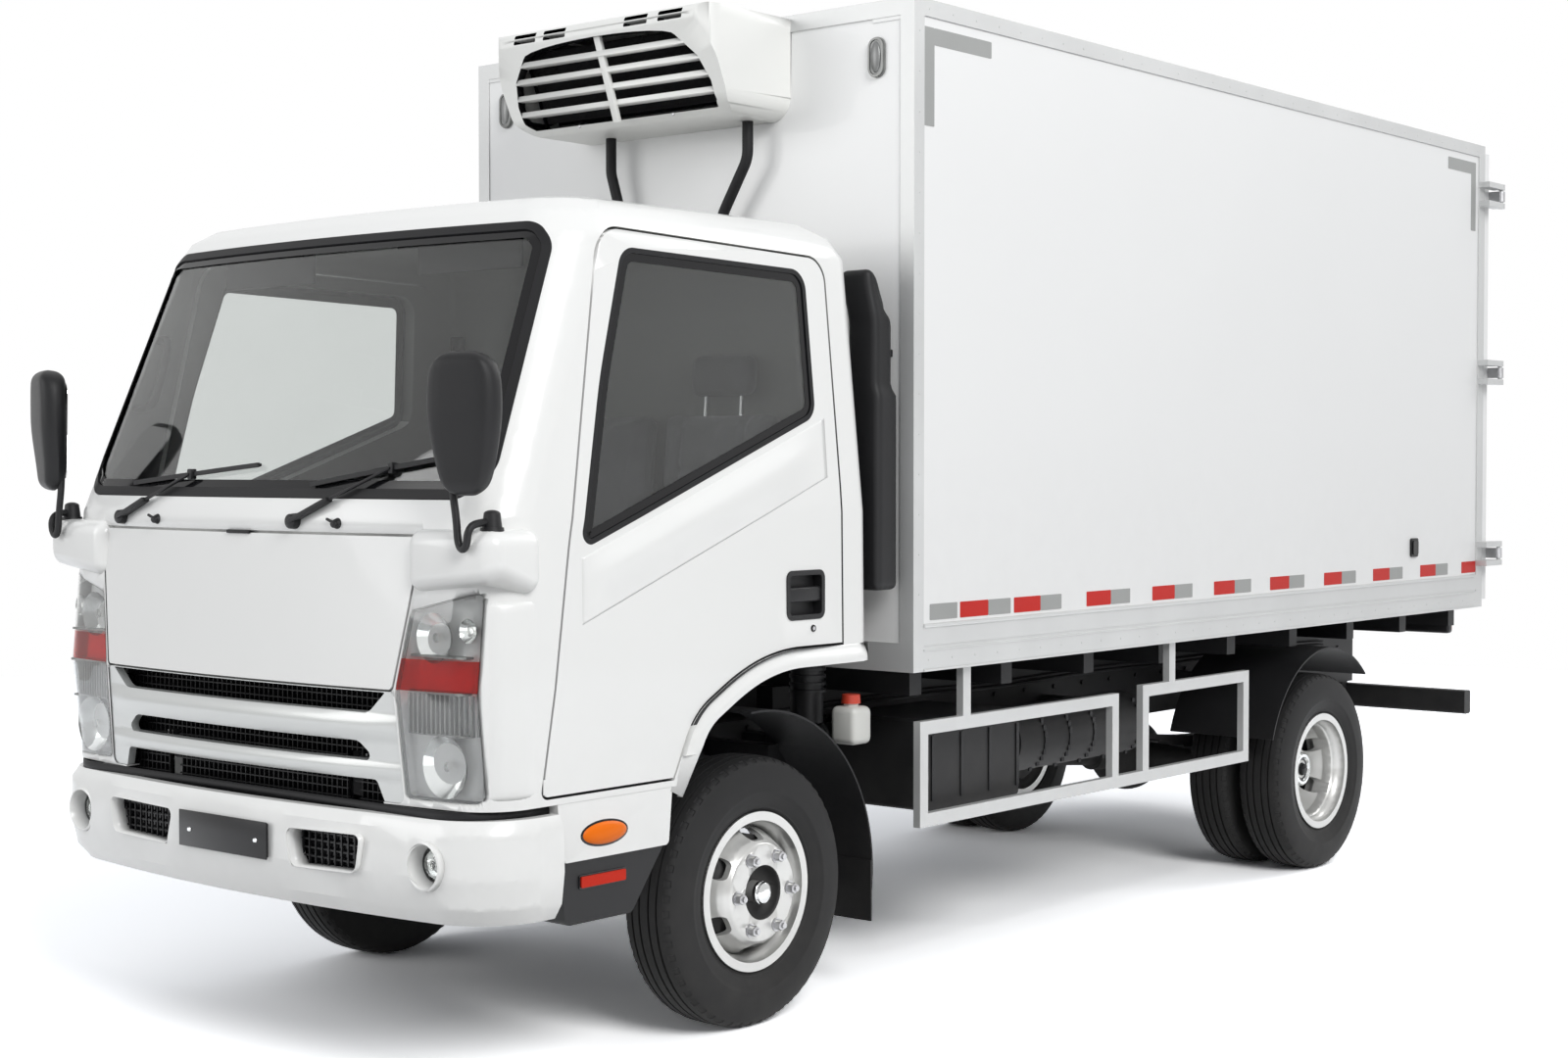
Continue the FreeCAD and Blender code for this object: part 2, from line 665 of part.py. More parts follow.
# ---------------------------------------------------------------- plan sections of cab and bumper
def plan_wire(z, half, front, radius, rear, rear_r, inset):
    """Plan outline: bowed front, rounded front corners, straight sides, rounded rear corners."""
    sweep = math.radians(CAB_SWEEP_DEG)
    w = half - inset
    f = fa(front) + inset
    r = max(radius - inset, 8.0)
    back = fa(rear) - inset
    q = max(rear_r - inset, 4.0)
    join_x = w - r + r * math.sin(sweep)
    bow = join_x * math.tan(sweep / 2)
    join_y = f + bow
    centre_y = join_y + r * math.cos(sweep)
    centre_x = w - r
    half_turn = (math.pi / 2 - sweep) / 2 + sweep
    mid = V(centre_x + r * math.sin(half_turn), centre_y - r * math.cos(half_turn), z)
    side = V(w, centre_y, z)
    join = V(join_x, join_y, z)
    front_mid = V(0, f, z)
    back_side = V(w, back - q, z)
    back_end = V(w - q, back, z)
    back_mid = V(w - q + q * math.sqrt(0.5), back - q + q * math.sqrt(0.5), z)

    def other(p):
        return V(-p.x, p.y, p.z)

    edges = [
        Part.Arc(other(join), front_mid, join).toShape(),
        Part.Arc(join, mid, side).toShape(),
        Part.makeLine(side, back_side),
        Part.Arc(back_side, back_mid, back_end).toShape(),
        Part.makeLine(back_end, other(back_end)),
        Part.Arc(other(back_end), other(back_mid), other(back_side)).toShape(),
        Part.makeLine(other(back_side), other(side)),
        Part.Arc(other(side), other(mid), other(join)).toShape(),
    ]
    return Part.Wire(edges)


# cab sections: (z, half width, front y, front corner radius, rear y)
CAB_SECTIONS = (
    (722, 895, -1125, 130, 420),
    (1010, 905, -1150, 140, 420),
    (1430, 900, -1118, 150, 420),
    (2150, 845, -832, 160, 395),
    (2210, 815, -795, 150, 360),
    (2246, 765, -735, 130, 300),
    (2262, 690, -650, 110, 210),
)


def cab_form(inset, drop=0.0):
    wires = []
    last = len(CAB_SECTIONS) - 1
    for i, (z, half, front, radius, rear) in enumerate(CAB_SECTIONS):
        height = z
        if i == last:
            height = z - drop
        elif i > 2:
            height = z - drop * (i - 2) / (last - 2)
        wires.append(plan_wire(height, half, front, radius, rear, CAB_REAR_R, inset))
    return Part.makeLoft(wires, True, True)


# outlines on the cab: (x or y, z, corner radius); y from the front axle
ARCH = ((-382, 690, 0), (-300, 870, 150), (-60, CAB_ARCH_Z, 600), (CAB_REAR + 30, CAB_ARCH_Z, 0), (CAB_REAR + 30, 690, 0))
DOOR = (
    (-892, 745, 15),
    (280, 745, 0),
    (280, 1500, 300),
    (262, 2143, 70),
    (-640, 2168, 95),
    (-800, 1367, 900),
)
LID_TOP = 1385.0
DOOR_WINDOW = ((-768, 1345, 30), (190, 1698, 60), (178, 2108, 60), (-560, 2122, 60), (-668, 1780, 1500))
WINDSCREEN = ((838, 1476, 95), (790, 2176, 90))
LID = ((597, 1009, 12), (652, 1290, 60), (676, 1345, 20), (678, LID_TOP, 8))
GRILLE = ((616, 726, 20), (604, 1003, 10))
GRILLE_SLOTS = (
    ((512, 947, 42), (574, 1001, 2)),
    ((532, 826, 14), (470, 875, 40)),
    ((558, 700, 0), (524, 780, 16)),
)
# the lowest slot runs on down through the shell's front edge
GRILLE_OPEN_FOOT = ((557, 700, 0), (545, 727, 0))
HEADLAMP = ((624, 742, 16), (852, 742, 22), (852, 1256, 14), (649, 1206, 14), (612, 1005, 300))


def symmetric(half):
    return list(half) + mirror_x(half)


def at_axle(points):
    return [(fa(y), z, radius) for y, z, radius in points]


def front_prism(points, depth_to, grow=0.0):
    """Outline seen from the front, run rearward from ahead of the cab to a place behind it."""
    return slab_y(points, (fa(-1400), fa(depth_to)), grow)


OUTSIDE = 1100.0
FLARE = 13.0
FLARE_H = 50.0


def side_prism(points, side, inner=0.0, grow=0.0):
    xs = sorted((side * inner, side * OUTSIDE))
    return slab_x(at_axle(points), xs, grow)


def cab_outer():
    """Outer form with the raised lip round each wheel arch."""
    form = cab_form(0)
    arch = slab_x(at_axle(ARCH), (-OUTSIDE, OUTSIDE))
    lip = cab_form(-FLARE).cut(arch)
    band = slab_x(at_axle(ARCH), (-OUTSIDE, OUTSIDE), FLARE_H)
    lip = lip.common(band).common(box((-OUTSIDE, OUTSIDE), (fa(-440), fa(CAB_REAR)), (800, 1100)))
    return form.cut(arch).fuse(lip)


CAB_OUTER = cab_outer()


def shell_layer(inset, depth):
    """Layer of the cab form between two depths below its surface."""
    return cab_form(inset, inset).cut(cab_form(inset + depth, inset + depth))


SEAT_STEP_Z = CAB_ARCH_Z + CAB_FLOOR_T
PLENUM_BACK = -960.0


def cab_cavity():
    inner = cab_form(CAB_WALL, CAB_WALL)
    floor = CAB_FLOOR_Z + CAB_FLOOR_T
    room = slab_x(
        at_axle(
            [
                (-1300, floor, 0),
                (-440, floor, 0),
                (-310, SEAT_STEP_Z, 0),
                (600, SEAT_STEP_Z, 0),
                (600, 2400, 0),
                (-1300, 2400, 0),
            ]
        ),
        (-OUTSIDE, OUTSIDE),
    )
    wall = CAB_WALL
    tunnel = box((-TUNNEL_X - wall, TUNNEL_X + wall), (fa(TUNNEL_FRONT) - wall, fa(600)), (700, TUNNEL_Z + wall))
    plenum = box((-680, 680), (fa(-1300), fa(PLENUM_BACK)), (700, 1045))
    return inner.common(room).cut(tunnel).cut(plenum)


def between_doors(depth):
    """Block between the two doors' inner faces, a given depth inside the sides of the cab."""
    half = [(sections[1] - depth, sections[0], 0) for sections in CAB_SECTIONS[1:4]]
    half = [(half[0][0], 600, 0)] + half + [(half[-1][0] - 30, 2300, 0)]
    return slab_y(symmetric(half), (fa(-1400), fa(CAB_REAR + 100)))


def door_outline(side, grow):
    """Door seen from its side, above the flare of the wheel arch."""
    flare = slab_x(at_axle(ARCH), (-OUTSIDE, OUTSIDE), FLARE_H + DOOR_GAP - grow)
    return side_prism(DOOR, side, 600, grow).cut(flare)


def door_opening(side):
    return door_outline(side, DOOR_GAP).cut(between_doors(DOOR_T + 6))


def cab_shell():
    inner = cab_form(CAB_WALL, CAB_WALL)
    under = inner.common(box((-OUTSIDE, OUTSIDE), (fa(-1300), fa(CAB_REAR)), (700, CAB_FLOOR_Z)))
    tunnel = box((-TUNNEL_X, TUNNEL_X), (fa(TUNNEL_FRONT), fa(CAB_REAR + 30)), (700, TUNNEL_Z))
    shell = CAB_OUTER.cut(cab_cavity()).cut(under).cut(tunnel)
    shell = shell.cut(front_prism(symmetric(WINDSCREEN), -520))
    for outline in (GRILLE, GRILLE_OPEN_FOOT):
        shell = shell.cut(front_prism(symmetric(outline), PLENUM_BACK - 35))
    lid_recess = CAB_OUTER.cut(cab_form(LID_T, LID_T)).common(front_prism(symmetric(LID), -950, LID_GAP))
    shell = shell.cut(lid_recess)
    for side in (1, -1):
        shell = shell.cut(door_opening(side)).cut(headlamp(side))
    shapes = [shell]
    for side in (1, -1):
        xs = sorted((side * LUG_X[0], side * LUG_X[1]))
        lug = slab_x(
            [
                (fa(TILT_Y) - 30, CAB_FLOOR_Z + 5, 0),
                (fa(TILT_Y) - LUG_R, TILT_Z - LUG_R, LUG_R * 0.98),
                (fa(TILT_Y) + LUG_R, TILT_Z - LUG_R, LUG_R * 0.98),
                (fa(TILT_Y) + 120, CAB_FLOOR_Z + 5, 0),
            ],
            xs,
        )
        pin = rod(V(xs[0] - 5, fa(TILT_Y), TILT_Z), V(xs[1] + 5, fa(TILT_Y), TILT_Z), TILT_PIN_R + RUN_GAP)
        shapes.append(lug.cut(pin))
        shapes.append(mirror_pod(side))
    return joined(shapes)


# mirror base on the cab corner: x from-to, y from-to, z from-to
POD_X = (690.0, 928.0)
POD_Y = (-1100.0, -935.0)
POD_Z = (1266.0, 1400.0)


def mirror_pod(side):
    outline = [
        (side * POD_X[0], fa(POD_Y[0]) + 60, 20),
        (side * (POD_X[1] - 60), fa(POD_Y[0]), 40),
        (side * POD_X[1], fa(POD_Y[0]) + 45, 40),
        (side * POD_X[1], fa(POD_Y[1]), 20),
        (side * POD_X[0], fa(POD_Y[1]), 5),
    ]
    profile = [
        (side * (POD_X[0] - 5), POD_Z[1] - 14, 0),
        (side * (POD_X[0] + 60), POD_Z[1], 10),
        (side * (POD_X[1] + 5), POD_Z[1], 18),
        (side * (POD_X[1] + 5), POD_Z[0] + 40, 30),
        (side * (POD_X[1] - 120), POD_Z[0], 40),
        (side * (POD_X[0] - 5), POD_Z[0] + 10, 0),
    ]
    pod = slab_z(outline, (POD_Z[0], POD_Z[1])).common(slab_y(profile, (fa(POD_Y[0]), fa(POD_Y[1]))))
    return pod.cut(cab_form(CAB_WALL / 2))


def headlamp(side):
    points = [(side * x, z, radius) for x, z, radius in HEADLAMP]
    depth = CAB_WALL - 4
    return cab_form(0).cut(cab_form(depth)).common(front_prism(points, -930))


def cab_glass():
    return shell_layer(GLASS_INSET, GLASS_T).common(front_prism(symmetric(WINDSCREEN), -520))


def grille():
    panel = cab_form(3).cut(cab_form(28)).common(front_prism(symmetric(GRILLE), -900))
    for slot in GRILLE_SLOTS:
        panel = panel.cut(front_prism(symmetric(slot), -900))
    return panel


LID_HINGE_Y = -1121.5
LID_BARREL_R = 3.3


def front_lid():
    panel = cab_form(0).cut(cab_form(LID_T - 6)).common(front_prism(symmetric(LID), -950))
    barrel_z = LID_TOP + LID_BARREL_R - 0.5
    barrel = rod(V(-45, fa(LID_HINGE_Y), barrel_z), V(45, fa(LID_HINGE_Y), barrel_z), LID_BARREL_R)
    return joined([panel, barrel])


# hinge axis of the cab door: x, y from the front axle, and its barrel, which runs clear of the opening's front edge
DOOR_AXIS = (897.0, -888.0)
DOOR_BARREL_R = 4.2
DOOR_BARREL_Z = (752.0, 790.0)


def cab_door(side):
    door = CAB_OUTER.common(door_outline(1, 0)).cut(between_doors(DOOR_T))
    door = door.cut(side_prism(DOOR_WINDOW, 1, 600))
    cup = box((872, 1000), (fa(45), fa(190)), (1140, 1260))
    grip = box((880, 897), (fa(40), fa(195)), (1188, 1212))
    low, high = [V(DOOR_AXIS[0], fa(DOOR_AXIS[1]), z) for z in DOOR_BARREL_Z]
    barrel = rod(low, high, DOOR_BARREL_R)
    door = joined([door.cut(cup), grip, barrel])
    return door if side > 0 else mirrored(door)


def door_glass(side):
    glass = shell_layer(GLASS_INSET, GLASS_T).common(side_prism(DOOR_WINDOW, 1, 600))
    return glass if side > 0 else mirrored(glass)


# ---------------------------------------------------------------- cab fittings
MIRROR_AT = V(872, 0, 1660)
MIRROR_Y = -1118.0
MIRROR_TURN = 20.0


def mirror(side):
    """Mirror head, its bent arm and the pivot on the pod."""
    y = fa(MIRROR_Y)
    head = slab_y(
        [
            (-88, -163, 24),
            (88, -163, 24),
            (92, 90, 60),
            (58, 163, 40),
            (-58, 163, 40),
            (-92, 90, 60),
        ],
        (-42, 30),
    )
    head.rotate(V(0, 0, 0), V(0, 0, 1), side * MIRROR_TURN)
    head.translate(V(side * MIRROR_AT.x, y, MIRROR_AT.z))
    knob = V(side * 884, fa(-1046), POD_Z[1])
    arm = bent_tube(
        [
            V(side * 812, y, 1530),
            V(side * 842, y, 1364),
            V(side * 876, y, 1364),
            V(side * 876, y, 1425),
            V(side * 876, fa(-1046), 1425),
        ],
        15,
        9,
    )
    pivot = rod(knob, knob.add(V(0, 0, 42)), 22)
    return joined([head, arm, pivot])


def mirrors():
    return Part.makeCompound([mirror(1), mirror(-1)])


# wiper pivots: (x, blade centre x, blade centre z)
WIPERS = ((225, 470, 1560), (-560, -290, 1545))


def cab_front_y(x, z):
    """Row y of the cab's front surface at a place on the windscreen side of the belt."""
    line = Part.makeLine(V(x, fa(-1400), z), V(x, fa(-300), z))
    cut = line.common(cab_form(0))
    return min(p.Point.y for p in cut.Vertexes)


def wipers():
    sets = []
    for pivot_x, blade_x, blade_z in WIPERS:
        pivot_z = 1428
        base = V(pivot_x, cab_front_y(pivot_x, pivot_z) + 4, pivot_z)
        knuckle_end = base.add(V(0, -38, 8))
        middle = V(blade_x, cab_front_y(blade_x, blade_z) - 26, blade_z)
        low = V(blade_x - 215, cab_front_y(blade_x - 215, blade_z - 42) - 14, blade_z - 42)
        high = V(blade_x + 215, cab_front_y(blade_x + 215, blade_z + 42) - 14, blade_z + 42)
        shapes = [rod(base, knuckle_end, 13), rod(knuckle_end.add(V(0, 4, 0)), middle, 6)]
        shapes.append(rod(low, middle.add(V(0, 8, 0)), 6))
        shapes.append(rod(middle.add(V(0, 8, 0)), high, 6))
        sets.append(joined(shapes).cut(cab_form(0)))
    return Part.makeCompound(sets)


# seats: (x centre, width, base top z, cushion top z)
SEATS = ((430, 470, 1120, 1250), (0, 340, 1172, 1262), (-430, 470, 1120, 1250))


def seats():
    shapes = []
    for x, width, base, top in SEATS:
        xs = (x - width / 2, x + width / 2)
        cushion = slab_x(at_axle([(-190, base, 20), (300, base, 20), (300, top - 20, 30), (-190, top, 50)]), xs)
        back = slab_x(at_axle([(215, top + 4, 30), (325, top + 4, 30), (356, 1740, 40), (256, 1740, 40)]), xs)
        shapes += [cushion, back]
        if width > 400:
            head = slab_x(
                at_axle([(264, 1744, 20), (350, 1744, 20), (350, 1900, 40), (270, 1900, 40)]), (x - 130, x + 130)
            )
            foot = box(xs, (fa(-120), fa(280)), (SEAT_STEP_Z, base))
            shapes += [head, foot]
    half = TUNNEL_X + CAB_WALL
    return joined(shapes).cut(box((-half, half), (fa(-400), fa(400)), (1000, TUNNEL_Z + CAB_WALL)))


def dashboard():
    profile = [
        (-1030, 1180, 20),
        (-800, 1140, 60),
        (-730, 1260, 50),
        (-760, 1400, 60),
        (-930, 1420, 20),
        (-1030, 1400, 5),
    ]
    dash = slab_x(at_axle(profile), (-830, 830)).common(cab_form(CAB_WALL))
    foot = box((-120, 120), (fa(-1000), fa(-850)), (TUNNEL_Z + CAB_WALL, 1200))
    half = TUNNEL_X + CAB_WALL
    tunnel = box((-half, half), (fa(TUNNEL_FRONT) - CAB_WALL, fa(-600)), (1000, TUNNEL_Z + CAB_WALL))
    return joined([dash.cut(tunnel), foot])


STEER_X = 400.0
STEER_CENTRE = (-545.0, 1335.0)


def steering_wheel():
    centre = V(STEER_X, fa(STEER_CENTRE[0]), STEER_CENTRE[1])
    lean = V(0, 0.62, 0.78).normalize()
    ring = Part.makeTorus(205, 15, centre, lean)
    hub_disc = rod(centre.sub(lean * 30), centre.add(lean * 8), 62)
    shapes = [ring, hub_disc]
    across = V(1, 0, 0)
    down = lean.cross(across)
    for angle in (0, 180, 250, 290):
        turn = math.radians(angle)
        direction = across * math.cos(turn) + down * math.sin(turn)
        shapes.append(rod(centre.add(direction * 40), centre.add(direction * 200), 11))
    shapes.append(rod(centre.sub(lean * 25), centre.sub(lean * 610), 24))
    floor = CAB_FLOOR_Z + CAB_FLOOR_T
    return joined(shapes).cut(box((0, 800), (fa(-1200), fa(-600)), (floor - 200, floor)))


# step panels beside the footwell: white upper panel and dark lower step
STEP_X = (785.0, 893.0)
STEP_FRONT = -838.0


def step_panels():
    outline = [(STEP_FRONT, 722, 3), (-420, 722, 3), (-434, 572, 12), (STEP_FRONT + 12, 572, 22)]
    panel = slab_x(at_axle(outline), STEP_X)
    panel = panel.cut(box((STEP_X[0] - 5, 840), (fa(-800), fa(-470)), (560, 700)))
    return both(panel)


def step_treads():
    outline = [(STEP_FRONT + 14, 572, 4), (-446, 572, 4), (-566, 412, 26), (STEP_FRONT + 34, 412, 18)]
    tread = slab_x(at_axle(outline), (STEP_X[0], STEP_X[1] - 8))
    return both(tread)


# ---------------------------------------------------------------- bumper and lamps
# bumper sections: (z, half width, front y, corner radius)
BUMPER_SECTIONS = (
    (440, 890, -1128, 190),
    (480, 915, -1158, 200),
    (560, 925, -1175, 205),
    (672, 922, -1170, 200),
    (700, 908, -1150, 190),
)
BUMPER_T = 6.0
BUMPER_REAR = -846.0
FOG_AT = (722.0, 588.0)
FOG_R = 52.0
BUMPER_VENTS = ((262, 543, 14), (514, 552, 30), (531, 650, 22), (240, 641, 22))
PLATE_HOLES = (140.0, 598.0, 3.5)
BUMPER_LIP = 28.0


def bumper_form(inset, low, high):
    wires = []
    last = len(BUMPER_SECTIONS) - 1
    for i, (z, half, front, radius) in enumerate(BUMPER_SECTIONS):
        height = low if i == 0 and low is not None else z
        if i == last and high is not None:
            height = high
        wires.append(plan_wire(height, half, front, radius, BUMPER_REAR + 200, 5, inset))
    return Part.makeLoft(wires, True, True)


def front_bumper():
    top = BUMPER_SECTIONS[-1][0]
    outer = bumper_form(0, None, None)
    inner = bumper_form(BUMPER_T, 439, top - BUMPER_T)
    lip_hole = plan_wire(top - 60, BUMPER_SECTIONS[-1][1], BUMPER_SECTIONS[-1][2], 190, BUMPER_REAR + 200, 5, BUMPER_LIP)
    lip_hole = Part.Face(lip_hole).extrude(V(0, 0, 80))
    bumper = outer.cut(inner).cut(lip_hole).cut(box((-OUTSIDE, OUTSIDE), (fa(BUMPER_REAR), fa(0)), (400, 760)))
    vents = list(BUMPER_VENTS)
    for points in (vents, mirror_x(vents)):
        bumper = bumper.cut(slab_y(points, (fa(-1300), fa(-900))))
    for side in (1, -1):
        fog = rod(V(side * FOG_AT[0], fa(-1300), FOG_AT[1]), V(side * FOG_AT[0], fa(-900), FOG_AT[1]), FOG_R)
        hole = V(side * PLATE_HOLES[0], fa(-1300), PLATE_HOLES[1])
        bumper = bumper.cut(fog).cut(rod(hole, hole.add(V(0, 300, 0)), PLATE_HOLES[2]))
    return bumper.removeSplitter()


def oval_y(x, z, width, height, ys):
    points = [
        (x - width / 2, z - height / 2, width * 0.49),
        (x + width / 2, z - height / 2, width * 0.49),
        (x + width / 2, z + height / 2, width * 0.49),
        (x - width / 2, z + height / 2, width * 0.49),
    ]
    return slab_y(points, ys)


MARKER_AT = (792.0, BOX_TOP - 160.0)


def chassis_lamps():
    shapes = []
    for side in (1, -1):
        x = side * FOG_AT[0]
        front = fa(-1132)
        fog = rod(V(x, front, FOG_AT[1]), V(x, fa(-1040), FOG_AT[1]), FOG_R)
        shapes.append(fog)
        shapes.append(oval_y(side * MARKER_AT[0], MARKER_AT[1], 52, 112, (fa(BOX_FRONT) - 14, fa(BOX_FRONT))))
        xs = sorted((side * 545, side * 805))
        lamp = slab_y([(xs[0], 830, 12), (xs[1], 830, 12), (xs[1], 940, 12), (xs[0], 940, 12)], (fa(4645), fa(4705)))
        hanger = box(sorted((side * 640, side * 700)), (fa(4650), fa(4690)), (935, SKIRT_Z))
        shapes.append(joined([lamp, hanger]))
    return Part.makeCompound(shapes)


def intake_snorkel():
    duct = slab_y([(780, 1100, 20), (900, 1100, 20), (900, 2120, 30), (780, 2120, 30)], (fa(455), fa(555)))
    lower = box((700, 880), (fa(465), fa(545)), (800, 1110))
    cleaner = rod(V(560, fa(450), 720), V(560, fa(560), 720), 95)
    link = box((560, 880), (fa(470), fa(540)), (780, 840))
    arm = box((RAIL_X, 500), (fa(470), fa(540)), (690, 750))
    return joined([duct, lower, cleaner, link, arm])


# ---------------------------------------------------------------- insulated box
FRAME_DEPTH = 60.0
BEARERS = 9
BEARER_T = 60.0
BEARER_H = 90.0
EDGE_W = 46.0


def box_floor():
    half = BOX_HALF_W - BOX_WALL
    return box((-half, half), (fa(BOX_FRONT) + BOX_WALL, fa(BOX_REAR) - FRAME_DEPTH), (FLOOR_Z, FLOOR_Z + FLOOR_T))


def box_runners():
    """Longitudinal packing between the rails and the bearers."""
    xs = (RAIL_X - RAIL_FLANGE, RAIL_X)
    return both(box(xs, (fa(BOX_FRONT) + 30, fa(RAIL_REAR)), (RAIL_Z + RAIL_H, FLOOR_Z - BEARER_H)))


def box_bearers():
    """Cross bearers under the floor, evenly spaced."""
    start = fa(BOX_FRONT) + 90
    pitch = (fa(BOX_REAR) - FRAME_DEPTH - 90 - start) / (BEARERS - 1)
    half = BOX_HALF_W - BOX_WALL
    bearers = []
    for i in range(BEARERS):
        y = start + i * pitch
        bearers.append(box((-half, half), (y, y + BEARER_T), (FLOOR_Z - BEARER_H, FLOOR_Z)))
    return Part.makeCompound(bearers)


def box_front_wall():
    ys = (fa(BOX_FRONT), fa(BOX_FRONT) + BOX_WALL)
    return box((-BOX_HALF_W, BOX_HALF_W), ys, (FLOOR_Z, BOX_TOP))


def box_side_walls():
    ys = (fa(BOX_FRONT) + BOX_WALL, fa(BOX_REAR) - FRAME_DEPTH)
    wall = box((BOX_HALF_W - BOX_WALL, BOX_HALF_W), ys, (FLOOR_Z, BOX_TOP - BOX_WALL))
    return both(wall)


def box_roof():
    ys = (fa(BOX_FRONT) + BOX_WALL, fa(BOX_REAR) - FRAME_DEPTH)
    return box((-BOX_HALF_W, BOX_HALF_W), ys, (BOX_TOP - BOX_WALL, BOX_TOP))


def box_frame():
    """Edge profiles, skirt rails and rear door frame with the hinge brackets."""
    t = BOX_TRIM
    half = BOX_HALF_W
    ys = (fa(BOX_FRONT), fa(BOX_REAR))
    outer = box((-half - t, half + t), (ys[0] - t, ys[1]), (SKIRT_Z, BOX_TOP + t))
    core = box((-half, half), (ys[0], ys[1] + 1), (SKIRT_Z - 1, BOX_TOP))
    shell = outer.cut(core)
    e = EDGE_W
    side_open = box((-2000, 2000), (ys[0] + e, ys[1] - FRAME_DEPTH), (SKIRT_Z + SKIRT_H, BOX_TOP - e))
    roof_open = box((-half + e, half - e), (ys[0] + e, ys[1] - FRAME_DEPTH), (BOX_TOP - 1, BOX_TOP + 50))
    front_open = box((-half + e, half - e), (ys[0] - 50, ys[0] + 1), (SKIRT_Z + e + 40, BOX_TOP - e))
    shell = shell.cut(side_open).cut(roof_open).cut(front_open)
    groove = box((-2000, 2000), (ys[0] + e, ys[1] - FRAME_DEPTH), (SKIRT_Z + 68, SKIRT_Z + 76))
    groove = groove.cut(box((-half - t / 2, half + t / 2), (ys[0], ys[1]), (0, 3000)))
    shell = shell.cut(groove)
    ring = box((-half, half), (ys[1] - FRAME_DEPTH, ys[1]), (SKIRT_Z, BOX_TOP))
    doorway = box((-half + REAR_POST_W, half - REAR_POST_W), (ys[0], ys[1] + 1), (doorway_low(), doorway_high()))
    shapes = [shell, ring.cut(doorway)]
    pin_y = fa(BOX_REAR) + HINGE_BEHIND
    for side in (1, -1):
        for z in HINGE_ZS:
            xs = sorted((side * (half + t), side * (HINGE_X + 14)))
            for z0 in (z - 52, z + 28):
                arm = box(xs, (ys[1] - 60, pin_y - 12), (z0, z0 + 24))
                eye = rod(V(side * HINGE_X, pin_y, z0), V(side * HINGE_X, pin_y, z0 + 24), 15)
                shapes += [arm, eye]
            shapes.append(rod(V(side * HINGE_X, pin_y, z - 52), V(side * HINGE_X, pin_y, z + 52), HINGE_PIN_R))
    return joined(shapes)


def doorway_low():
    return SKIRT_Z + REAR_SILL_H


def doorway_high():
    return BOX_TOP - REAR_HEAD_H


DOOR_LOW = SKIRT_Z + 30
DOOR_HIGH = BOX_TOP - 22
DOOR_EDGE = BOX_HALF_W - 10


def cargo_door(side):
    y = fa(BOX_REAR) + LEAF_GAP - 1
    leaf_xs = sorted((side * LEAF_GAP, side * DOOR_EDGE))
    leaf_plate = box(leaf_xs, (y, y + LEAF_T_DOOR), (DOOR_LOW, DOOR_HIGH))
    plug_xs = sorted((side * PLUG_INSET, side * (BOX_HALF_W - REAR_POST_W - PLUG_INSET)))
    plug = box(plug_xs, (y - PLUG_T, y), (doorway_low() + PLUG_INSET, doorway_high() - PLUG_INSET))
    return joined([leaf_plate, plug])


# lock rods on each door: x of the rod
ROD_XS = (240.0, 620.0)
ROD_OFF = 20.0


def door_gear(side):
    """Lock rods with their guides and handles, and the hinge straps."""
    face = fa(BOX_REAR) + LEAF_GAP - 1 + LEAF_T_DOOR
    shapes = []
    for i, rod_x in enumerate(ROD_XS):
        x = side * rod_x
        y = face + ROD_OFF
        shapes.append(rod(V(x, y, DOOR_LOW + 15), V(x, y, DOOR_HIGH - 15), LOCK_ROD_R))
        for z in (DOOR_LOW + 25, 1450, 2100, DOOR_HIGH - 65):
            shapes.append(box((x - 38, x + 38), (face, y + 12), (z, z + 40)))
        grip = box(sorted((x, x + side * (190 if i == 0 else -150))), (y - 4, y + 14), (1290 + i * 90, 1320 + i * 90))
        shapes.append(grip)
        end = x + side * (176 if i == 0 else -136)
        shapes.append(box((end - 14, end + 14), (face, y - 4), (1286 + i * 90, 1324 + i * 90)))
    pin_y = fa(BOX_REAR) + HINGE_BEHIND
    gear = [joined(shapes)]
    for z in HINGE_ZS:
        strap = box(sorted((side * (DOOR_EDGE - 130), side * (HINGE_X - 6))), (face, face + 9), (z - 22, z + 22))
        wrap = box(sorted((side * (HINGE_X - 14), side * (HINGE_X + 2))), (face, pin_y), (z - 22, z + 22))
        eye = rod(V(side * HINGE_X, pin_y, z - 22), V(side * HINGE_X, pin_y, z + 22), 15)
        strap = joined([strap, wrap, eye])
        strap = strap.cut(rod(V(side * HINGE_X, pin_y, z - 30), V(side * HINGE_X, pin_y, z + 30), HINGE_PIN_R + RUN_GAP))
        gear.append(strap)
    return Part.makeCompound(gear)


# ---------------------------------------------------------------- refrigeration unit
# louvred window in the nose of the unit
LOUVRE_TOP = UNIT_TOP - 66.0
LOUVRE_LOW = UNIT_BOTTOM + 38.0


